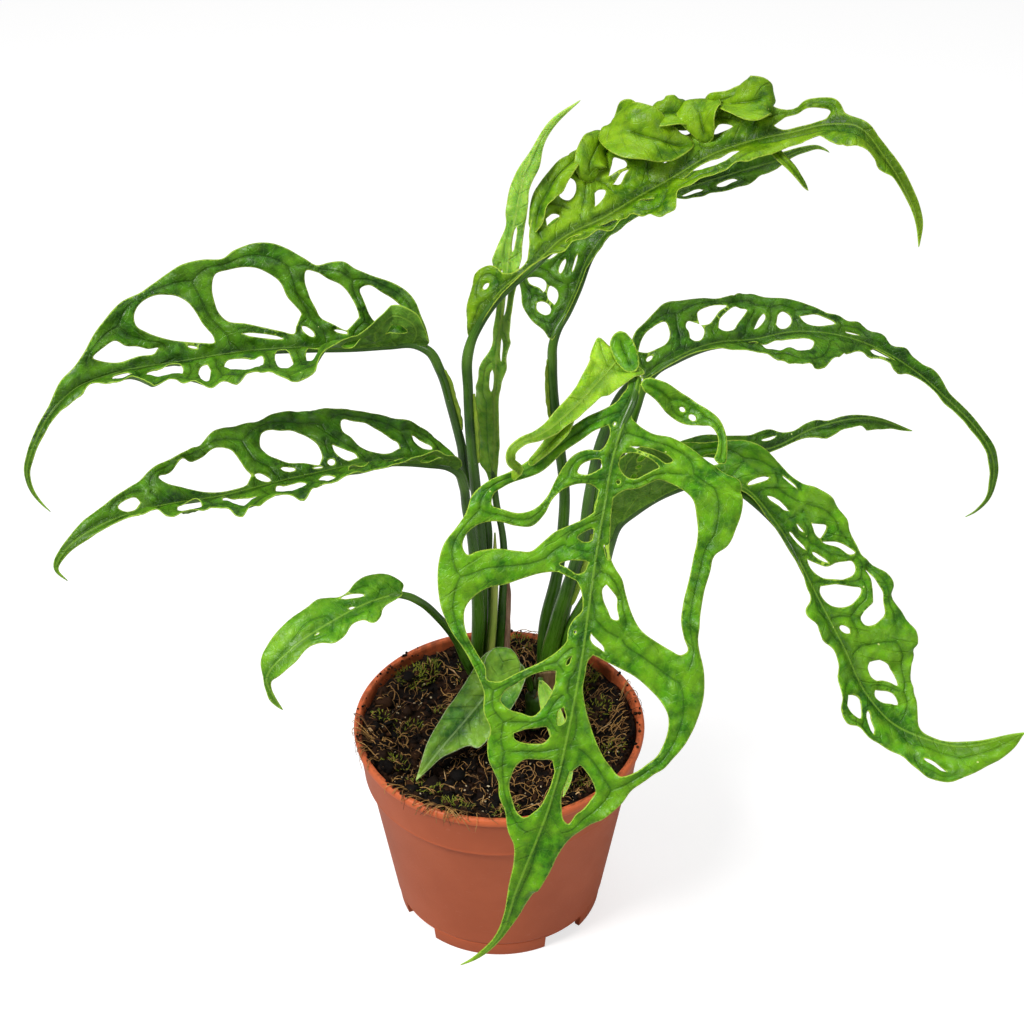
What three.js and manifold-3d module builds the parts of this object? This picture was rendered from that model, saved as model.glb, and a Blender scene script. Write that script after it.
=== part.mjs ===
// A potted monstera obliqua: lacy arching leaves on long petioles, in a terracotta-coloured nursery pot.
// Millimetres, +Z up, front towards -Y. The plant is laid out from the pot's axis at floor height,
// and the whole group is shifted at the end so that its origin is the bottom centre of its box.
import * as THREE from "three";
import { mergeVertices } from "three/addons/utils/BufferGeometryUtils.js";
import Module from "manifold-3d";

const wasm = await Module();
wasm.setup();

// Driving dimensions of the pot
const RIM_RADIUS = 60;
const POT_HEIGHT = 92.8;
const COLLAR_FOOT = 70.2;
const COLLAR_RADIUS = 56.4;
const BODY_TOP_RADIUS = 54.9;
const BODY_FOOT_RADIUS = 44.6;
const FOOT_HEIGHT = 7.4;
const FOOT_RADIUS = 43.4;
const FOOT_INNER_RADIUS = 40.8;
const FLOOR_UNDERSIDE = 5.8;
const FLOOR_THICKNESS = 2.2;
const WALL = 1.7;
const ROUND_SIDES = 48;
const FOOT_NOTCHES = 4;
const FIRST_NOTCH_DEGREES = -51.5;
const NOTCH_WIDTH = 19;
const NOTCH_HEIGHT = 5.6;
const NOTCH_DEPTH = 9;
const DRAIN_HOLES = 6;
const DRAIN_RADIUS = 3.5;
const DRAIN_RING = 30;

// Driving dimensions of the soil and the stems
const SOIL_LEVEL = 84;
const FIT_GAP = 0.4;
const CRUMBS = 26;
const SOIL_RINGS = 9;
const BANK_HEIGHT = 3;
const BANK_START = 40;
const BANK_END = 54;
const MOST_HEIGHT = 5.2;
const SOIL_BELOW_LIP = 5.5;
const MOUND_X = 8;
const MOUND_Y = 48;
const MOUND_HEIGHT = 4.5;
const MOUND_SPREAD = 160;
const GOLDEN_TURN = 2.39996;
const STEM_HOLE_FLOOR = 68;
const STEM_TOP = 97;
const STEM_WAIST = 0.86;
const STEM_RINGS = 3;
const STEM_SIDES = 16;

// Driving dimensions of the leaves
const BLADE = 0.7;
const MIDRIB_DEPTH = 1.3;
const MIDRIB_STEP = 6;
const OVAL_POINTS = 6;
const RIPPLE_LAG = 0.9;

// Driving dimensions of the petioles
const PETIOLE_SIDES = 8;
const PETIOLE_STEP = 13;
const WING_THICKNESS = 0.7;
const WING_STEPS = 10;

const TERRACOTTA = { color: 0xb4593a, roughness: 0.55, metalness: 0 };
const PEAT = { color: 0x2c1d15, roughness: 0.95, metalness: 0 };
const STEM_GREEN = { color: 0x3c5a26, roughness: 0.5, metalness: 0 };
const PETIOLE_GREEN = { color: 0x47682c, roughness: 0.42, metalness: 0 };
const PALE_GREEN = { color: 0xa9bd4d, roughness: 0.5, metalness: 0 };
const DRY_BROWN = { color: 0x8f6850, roughness: 0.8, metalness: 0 };
const LEAF_MID = { color: 0x4f9a33, roughness: 0.38, metalness: 0 };
const LEAF_DARK = { color: 0x3a7a2a, roughness: 0.4, metalness: 0 };
const LEAF_YELLOW = { color: 0x7fae3a, roughness: 0.42, metalness: 0 };
const LEAF_YOUNG = { color: 0x86b04c, roughness: 0.45, metalness: 0 };
const LEAF_BLUISH = { color: 0x44784a, roughness: 0.42, metalness: 0 };

const plant = new THREE.Group();

function addPiece(name, geometry, finish) {
  const mesh = new THREE.Mesh(geometry, new THREE.MeshStandardMaterial(finish));
  mesh.name = name;
  plant.add(mesh);
  return mesh;
}

// Small helpers: tables read between their rows, and conversion to and from solids

function between(rows, s, column) {
  if (s <= rows[0][0]) return rows[0][column];
  for (let i = 1; i < rows.length; i++) {
    if (s > rows[i][0]) continue;
    const [low, high] = [rows[i - 1], rows[i]];
    const share = (s - low[0]) / (high[0] - low[0]);
    return low[column] + share * (high[column] - low[column]);
  }
  return rows[rows.length - 1][column];
}

function toSolid(geometry) {
  const bare = geometry.index ? geometry.clone() : geometry;
  bare.deleteAttribute("normal");
  bare.deleteAttribute("uv");
  const merged = mergeVertices(bare, 1e-4);
  return new wasm.Manifold(
    new wasm.Mesh({
      numProp: 3,
      vertProperties: new Float32Array(merged.attributes.position.array),
      triVerts: new Uint32Array(merged.index.array),
    }),
  );
}

function toGeometry(solid) {
  const mesh = solid.getMesh();
  const geometry = new THREE.BufferGeometry();
  geometry.setAttribute("position", new THREE.BufferAttribute(mesh.vertProperties, 3));
  geometry.setIndex(new THREE.BufferAttribute(mesh.triVerts, 1));
  geometry.computeVertexNormals();
  return geometry;
}

function fromRows(positions, faces) {
  const geometry = new THREE.BufferGeometry();
  geometry.setAttribute("position", new THREE.Float32BufferAttribute(positions.flat(), 3));
  geometry.setIndex(faces.flat());
  geometry.computeVertexNormals();
  return geometry;
}

function turned(profile) {
  const points = profile.map(([r, z]) => new THREE.Vector2(r, z));
  return new THREE.LatheGeometry(points, ROUND_SIDES).rotateX(Math.PI / 2);
}

// The pot: a thin-walled cone with a collar, a rounded lip, a notched foot ring and drain holes

function potProfile() {
  const lip = RIM_RADIUS;
  const top = POT_HEIGHT;
  return [
    [0, FLOOR_UNDERSIDE],
    [FOOT_INNER_RADIUS, FLOOR_UNDERSIDE],
    [FOOT_INNER_RADIUS + 0.4, 0],
    [FOOT_RADIUS - 0.3, 0],
    [FOOT_RADIUS, 0.4],
    [FOOT_RADIUS + 0.6, FOOT_HEIGHT - 0.3],
    [BODY_FOOT_RADIUS, FOOT_HEIGHT + 0.3],
    [BODY_TOP_RADIUS, COLLAR_FOOT],
    [COLLAR_RADIUS, COLLAR_FOOT + 1],
    [lip - 1.4, top - 4.2],
    [lip - 0.2, top - 3.2],
    [lip, top - 1.8],
    [lip - 0.3, top - 0.5],
    [lip - 1.1, top],
    [lip - 2.4, top - 0.2],
    [lip - 2.9, top - 1.2],
    [lip - 3.1, top - 3.8],
    [COLLAR_RADIUS - 1.8, COLLAR_FOOT + 1.6],
    [BODY_TOP_RADIUS - WALL, COLLAR_FOOT - 0.2],
    [BODY_FOOT_RADIUS - WALL + 0.1, FOOT_HEIGHT + 1.4],
    [FOOT_INNER_RADIUS - 0.3, FLOOR_UNDERSIDE + FLOOR_THICKNESS],
    [0, FLOOR_UNDERSIDE + FLOOR_THICKNESS],
  ];
}

function makePot() {
  let pot = toSolid(turned(potProfile()));
  for (let i = 0; i < FOOT_NOTCHES; i++) {
    const angle = THREE.MathUtils.degToRad(FIRST_NOTCH_DEGREES) + (i * 2 * Math.PI) / FOOT_NOTCHES;
    const notch = new THREE.BoxGeometry(NOTCH_WIDTH, NOTCH_DEPTH, 2 * NOTCH_HEIGHT);
    notch.translate(0, -FOOT_RADIUS, 0);
    notch.rotateZ(angle);
    pot = pot.subtract(toSolid(notch));
  }
  for (let i = 0; i < DRAIN_HOLES; i++) {
    const hole = new THREE.CylinderGeometry(DRAIN_RADIUS, DRAIN_RADIUS, 12, 12).rotateX(Math.PI / 2);
    const angle = (i * 2 * Math.PI) / DRAIN_HOLES;
    hole.translate(DRAIN_RING * Math.cos(angle), DRAIN_RING * Math.sin(angle), FLOOR_UNDERSIDE);
    pot = pot.subtract(toSolid(hole));
  }
  return toGeometry(pot);
}

addPiece("pot", makePot(), TERRACOTTA);

// The stems: short stubs that stand in plain holes in the soil and carry the petioles
// Each row: name, centre x and y, radius at the top, height of the top.

const STEMS = [
  ["stem_left", -5.5, 15.6, 8, STEM_TOP],
  ["stem_right", 23, 21.5, 8.4, STEM_TOP],
  ["stem_front", 14.5, 8.5, 3.7, 100],
];

function makeStem(x, y, radius, top) {
  const waist = STEM_WAIST * radius;
  const profile = [
    [0, STEM_HOLE_FLOOR + FIT_GAP],
    [waist - 1, STEM_HOLE_FLOOR + FIT_GAP],
  ];
  for (let i = 0; i < STEM_RINGS; i++) {
    const z = STEM_HOLE_FLOOR + 2 + ((top - STEM_HOLE_FLOOR - 4) * i) / STEM_RINGS;
    profile.push([waist, z], [waist + 0.3, z + 5], [waist - 0.2, z + 6]);
  }
  profile.push([radius, top - 1], [radius - 0.8, top], [0, top]);
  const points = profile.map(([r, z]) => new THREE.Vector2(r, z));
  return new THREE.LatheGeometry(points, STEM_SIDES).rotateX(Math.PI / 2).translate(x, y, 0);
}

for (const [name, ...sizes] of STEMS) addPiece(name, makeStem(...sizes), STEM_GREEN);

// The soil: a filled cone with a bumpy top that rises toward the wall, a mound at the back and
// crumbs half sunk into it

function soilHeight(x, y) {
  const ripple = 0.9 * Math.sin(x * 0.21 + 1) * Math.cos(y * 0.17) + 0.6 * Math.sin(x * 0.47 - y * 0.39);
  const mound = MOUND_HEIGHT * Math.exp(-((x - MOUND_X) ** 2 + (y - MOUND_Y) ** 2) / MOUND_SPREAD);
  const bank = BANK_HEIGHT * THREE.MathUtils.smoothstep(Math.hypot(x, y), BANK_START, BANK_END);
  return SOIL_LEVEL + ripple + mound + bank;
}

function makeSoilBody() {
  const wallTop = RIM_RADIUS - 3.1 - FIT_GAP;
  const slope = (wallTop - COLLAR_RADIUS + 1.8 + FIT_GAP) / (POT_HEIGHT - 3.8 - COLLAR_FOOT - 1.6);
  const edge = wallTop - SOIL_BELOW_LIP * slope - 0.2;
  const sides = [
    [edge, null],
    [COLLAR_RADIUS - 1.8 - FIT_GAP - 0.2, COLLAR_FOOT + 1.6],
    [BODY_TOP_RADIUS - WALL - FIT_GAP - 0.1, COLLAR_FOOT - 0.4],
    [BODY_FOOT_RADIUS - WALL - FIT_GAP, FOOT_HEIGHT + 1.8],
    [FOOT_INNER_RADIUS - 1, FLOOR_UNDERSIDE + FLOOR_THICKNESS + FIT_GAP],
  ];
  const positions = [[0, 0, soilHeight(0, 0)]];
  const faces = [];
  const ring = (radius, height) => {
    for (let i = 0; i < ROUND_SIDES; i++) {
      const angle = (i * 2 * Math.PI) / ROUND_SIDES;
      const [x, y] = [radius * Math.cos(angle), radius * Math.sin(angle)];
      positions.push([x, y, height === null ? Math.min(soilHeight(x, y), SOIL_LEVEL + MOST_HEIGHT) : height]);
    }
  };
  for (let k = 1; k < SOIL_RINGS; k++) ring((edge * k) / SOIL_RINGS, null);
  for (const [radius, height] of sides) ring(radius, height);
  const count = SOIL_RINGS - 1 + sides.length;
  positions.push([0, 0, FLOOR_UNDERSIDE + FLOOR_THICKNESS + FIT_GAP]);
  const last = positions.length - 1;
  for (let i = 0; i < ROUND_SIDES; i++) {
    const next = (i + 1) % ROUND_SIDES;
    faces.push([0, 1 + i, 1 + next]);
    for (let k = 0; k < count - 1; k++) {
      const [a, b] = [1 + k * ROUND_SIDES + i, 1 + k * ROUND_SIDES + next];
      faces.push([a, a + ROUND_SIDES, b + ROUND_SIDES], [a, b + ROUND_SIDES, b]);
    }
    const outer = 1 + (count - 1) * ROUND_SIDES;
    faces.push([outer + i, last, outer + next]);
  }
  return fromRows(positions, faces);
}

function makeSoil() {
  let soil = toSolid(makeSoilBody());
  for (let i = 0; i < CRUMBS; i++) {
    const angle = i * GOLDEN_TURN;
    const reach = 14 + 37 * Math.sqrt((i + 0.5) / CRUMBS);
    const [x, y] = [reach * Math.cos(angle), reach * Math.sin(angle)];
    const size = 1.3 + 0.9 * Math.abs(Math.sin(i * 1.7));
    const crumb = new THREE.IcosahedronGeometry(size, 0);
    crumb.scale(1.5, 1, 0.7).rotateZ(i * 1.1);
    crumb.translate(x, y, soilHeight(x, y) + 0.2 * size);
    soil = soil.add(toSolid(crumb));
  }
  for (const [, x, y, radius, top] of STEMS) {
    const depth = top - STEM_HOLE_FLOOR;
    const width = radius + FIT_GAP;
    const hole = new THREE.CylinderGeometry(width, width, depth, STEM_SIDES).rotateX(Math.PI / 2);
    hole.translate(x, y, STEM_HOLE_FLOOR + depth / 2);
    soil = soil.subtract(toSolid(hole));
  }
  return toGeometry(soil);
}

addPiece("soil", makeSoil(), PEAT);

// Leaf surfaces. A blade is drawn flat as points [s, d]: s runs along the midrib and d sideways,
// positive on its right. The two halves then lift and curl about the midrib's own curve in space.

function smoothLine(points, per) {
  const p = points.map((q) => new THREE.Vector3(...q));
  const u = [0];
  for (let i = 1; i < p.length; i++) u.push(u[i - 1] + p[i].distanceTo(p[i - 1]));
  const slope = (i, j) => p[j].clone().sub(p[i]).divideScalar(u[j] - u[i]);
  const tangents = p.map((_, i) => {
    if (i === 0) return slope(0, 1);
    if (i === p.length - 1) return slope(i - 1, i);
    const [before, after] = [u[i] - u[i - 1], u[i + 1] - u[i]];
    const sum = slope(i - 1, i).multiplyScalar(after).add(slope(i, i + 1).multiplyScalar(before));
    return sum.divideScalar(before + after);
  });
  const line = [];
  for (let i = 0; i < p.length - 1; i++) {
    const h = u[i + 1] - u[i];
    for (let k = 0; k < per; k++) {
      const t = k / per;
      const at = p[i].clone().multiplyScalar(2 * t ** 3 - 3 * t ** 2 + 1);
      at.addScaledVector(tangents[i], h * (t ** 3 - 2 * t ** 2 + t));
      at.addScaledVector(p[i + 1], 3 * t ** 2 - 2 * t ** 3);
      at.addScaledVector(tangents[i + 1], h * (t ** 3 - t ** 2));
      line.push(at);
    }
  }
  line.push(p[p.length - 1]);
  return line;
}

class LeafSurface {
  constructor(shape) {
    this.shape = shape;
    this.line = smoothLine(shape.midrib, 16);
    this.arc = [0];
    for (let i = 1; i < this.line.length; i++) {
      this.arc.push(this.arc[i - 1] + this.line[i].distanceTo(this.line[i - 1]));
    }
    this.length = this.arc[this.arc.length - 1];
  }

  onMidrib(s) {
    const at = Math.min(Math.max(s, 0), this.length);
    let i = 1;
    while (i < this.arc.length - 1 && this.arc[i] < at) i++;
    const share = (at - this.arc[i - 1]) / (this.arc[i] - this.arc[i - 1]);
    return this.line[i - 1].clone().lerp(this.line[i], share);
  }

  point(s, d) {
    const { face, left, right, wave } = this.shape;
    const at = Math.min(Math.max(s, 0), this.length);
    const along = this.onMidrib(at + 1.5).sub(this.onMidrib(at - 1.5)).normalize();
    const up = new THREE.Vector3(between(face, at, 1), between(face, at, 2), between(face, at, 3));
    up.addScaledVector(along, -up.dot(along)).normalize();
    const across = along.clone().cross(up);
    const side = d > 0 ? right : left;
    const lift = THREE.MathUtils.degToRad(between(side, at, 1));
    const curl = THREE.MathUtils.degToRad(between(side, at, 2)) / 10;
    const reach = Math.abs(d);
    const straight = Math.abs(curl) < 1e-6;
    const out = straight ? reach * Math.cos(lift) : (Math.sin(lift + curl * reach) - Math.sin(lift)) / curl;
    let rise = straight ? reach * Math.sin(lift) : (Math.cos(lift) - Math.cos(lift + curl * reach)) / curl;
    const [height, period, phase, width] = wave;
    const turn = (2 * Math.PI * s) / period + phase + (d > 0 ? RIPPLE_LAG : 0);
    rise += height * Math.min(1.5, (reach / width) ** 2) * Math.sin(turn);
    return this.onMidrib(at)
      .addScaledVector(along, s - at)
      .addScaledVector(across, Math.sign(d) * out)
      .addScaledVector(up, rise);
  }
}

function ovalHole([s, d, length, width, degrees]) {
  const angle = THREE.MathUtils.degToRad(degrees);
  const points = [];
  for (let k = 0; k < OVAL_POINTS; k++) {
    const turn = (2 * Math.PI * k) / OVAL_POINTS;
    const [x, y] = [(length / 2) * Math.cos(turn), (width / 2) * Math.sin(turn)];
    const spot = new THREE.Vector2(x, y).rotateAround(new THREE.Vector2(), angle);
    points.push([s + spot.x, d + spot.y]);
  }
  return points;
}

function turnOf(a, b, c) {
  return (b[0] - a[0]) * (c[1] - a[1]) - (b[1] - a[1]) * (c[0] - a[0]);
}

function inCircle(a, b, c, d) {
  const rows = [a, b, c].map((p) => {
    const [x, y] = [p[0] - d[0], p[1] - d[1]];
    return [x, y, x * x + y * y];
  });
  const [[ax, ay, aq], [bx, by, bq], [cx, cy, cq]] = rows;
  return ax * (by * cq - bq * cy) - ay * (bx * cq - bq * cx) + aq * (bx * cy - by * cx) > 1e-6;
}

// Swaps shared edges between neighbouring triangles until none is needlessly thin.
function evenOut(points, faces) {
  let swaps = 1;
  for (let pass = 0; pass < 30 && swaps; pass++) {
    swaps = 0;
    const owners = new Map();
    faces.forEach((f, i) => f.forEach((a, k) => owners.set(a + " " + f[(k + 1) % 3], i)));
    const touched = new Set();
    for (const [edge, i] of owners) {
      const [a, b] = edge.split(" ").map(Number);
      const j = owners.get(b + " " + a);
      if (j === undefined || touched.has(i) || touched.has(j)) continue;
      const c = faces[i].find((v) => v !== a && v !== b);
      const d = faces[j].find((v) => v !== a && v !== b);
      if (!inCircle(points[a], points[b], points[c], points[d])) continue;
      faces[i] = [a, d, c];
      faces[j] = [d, b, c];
      touched.add(i).add(j);
      swaps++;
    }
  }
}

// One half of a flat blade: midrib, margin and holes, cut into triangles that turn counterclockwise.
function halfFaces(points, contour, holes) {
  const flat = (list) => list.map((i) => new THREE.Vector2(...points[i]));
  const order = [...contour, ...holes.flat()];
  const faces = THREE.ShapeUtils.triangulateShape(flat(contour), holes.map(flat)).map((f) => {
    const [a, b, c] = f.map((i) => order[i]);
    return turnOf(points[a], points[b], points[c]) > 0 ? [a, b, c] : [a, c, b];
  });
  evenOut(points, faces);
  return faces;
}

// A blade: the same triangles on both faces, closed by a wall along every edge used only once.
function bladeGeometry(shape) {
  const surface = new LeafSurface(shape);
  const tip = shape.right_edge[shape.right_edge.length - 1][0];
  const steps = Math.ceil(tip / MIDRIB_STEP);
  const points = [];
  const midrib = [];
  for (let i = 0; i <= steps; i++) midrib.push(points.push([(tip * i) / steps, 0]) - 1);
  const openings = [...(shape.cuts || []), ...(shape.ovals || []).map(ovalHole)];
  const faces = [];
  for (const side of [1, -1]) {
    const margin = (side > 0 ? shape.right_edge : shape.left_edge).slice(0, -1);
    const edge = margin.map((q) => points.push(q) - 1).reverse();
    const holes = openings
      .filter((hole) => Math.sign(hole[0][1]) === side)
      .map((hole) => hole.map((q) => points.push(q) - 1));
    // The midrib bows a hair into the half, so that its points aren't taken for one straight line.
    for (const i of midrib) points[i][1] = side * 1e-3 * Math.sin((Math.PI * points[i][0]) / tip);
    faces.push(...halfFaces(points, [...midrib, ...edge], holes));
  }
  for (const i of midrib) points[i][1] = 0;
  return thicken(surface, points, faces, tip);
}

function thicken(surface, points, faces, tip) {
  const places = points.map(([s, d]) => surface.point(s, d));
  const normals = places.map(() => new THREE.Vector3());
  for (const [a, b, c] of faces) {
    const ab = places[b].clone().sub(places[a]);
    const normal = places[c].clone().sub(places[a]).cross(ab);
    for (const i of [a, b, c]) normals[i].add(normal);
  }
  const count = places.length;
  const rib = ([s, d]) => (d === 0 ? MIDRIB_DEPTH * Math.min(1, s / 8) * (1 - s / tip) : 0);
  const upper = places.map((p, i) => p.clone().addScaledVector(normals[i].normalize(), BLADE / 2));
  const lower = places.map((p, i) => p.clone().addScaledVector(normals[i], -BLADE / 2 - rib(points[i])));
  const skin = [];
  const open = new Map();
  for (const [a, b, c] of faces) {
    skin.push([a, c, b], [a + count, b + count, c + count]);
    for (const [from, to] of [[a, b], [b, c], [c, a]]) {
      if (!open.delete(to + " " + from)) open.set(from + " " + to, [from, to]);
    }
  }
  for (const [from, to] of open.values()) {
    skin.push([from, to, to + count], [from, to + count, from + count]);
  }
  return fromRows([...upper, ...lower].map((p) => p.toArray()), skin);
}

// The leaves. midrib: x, y, z. face: s and the way the upper face looks. left, right: s, lift and curl in
// degrees (curl per 10 mm). Edges and cuts: outlines as [s, d]. ovals: s, d, length, width, turn.
// wave: height, period, phase and the width at which it is full.

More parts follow.
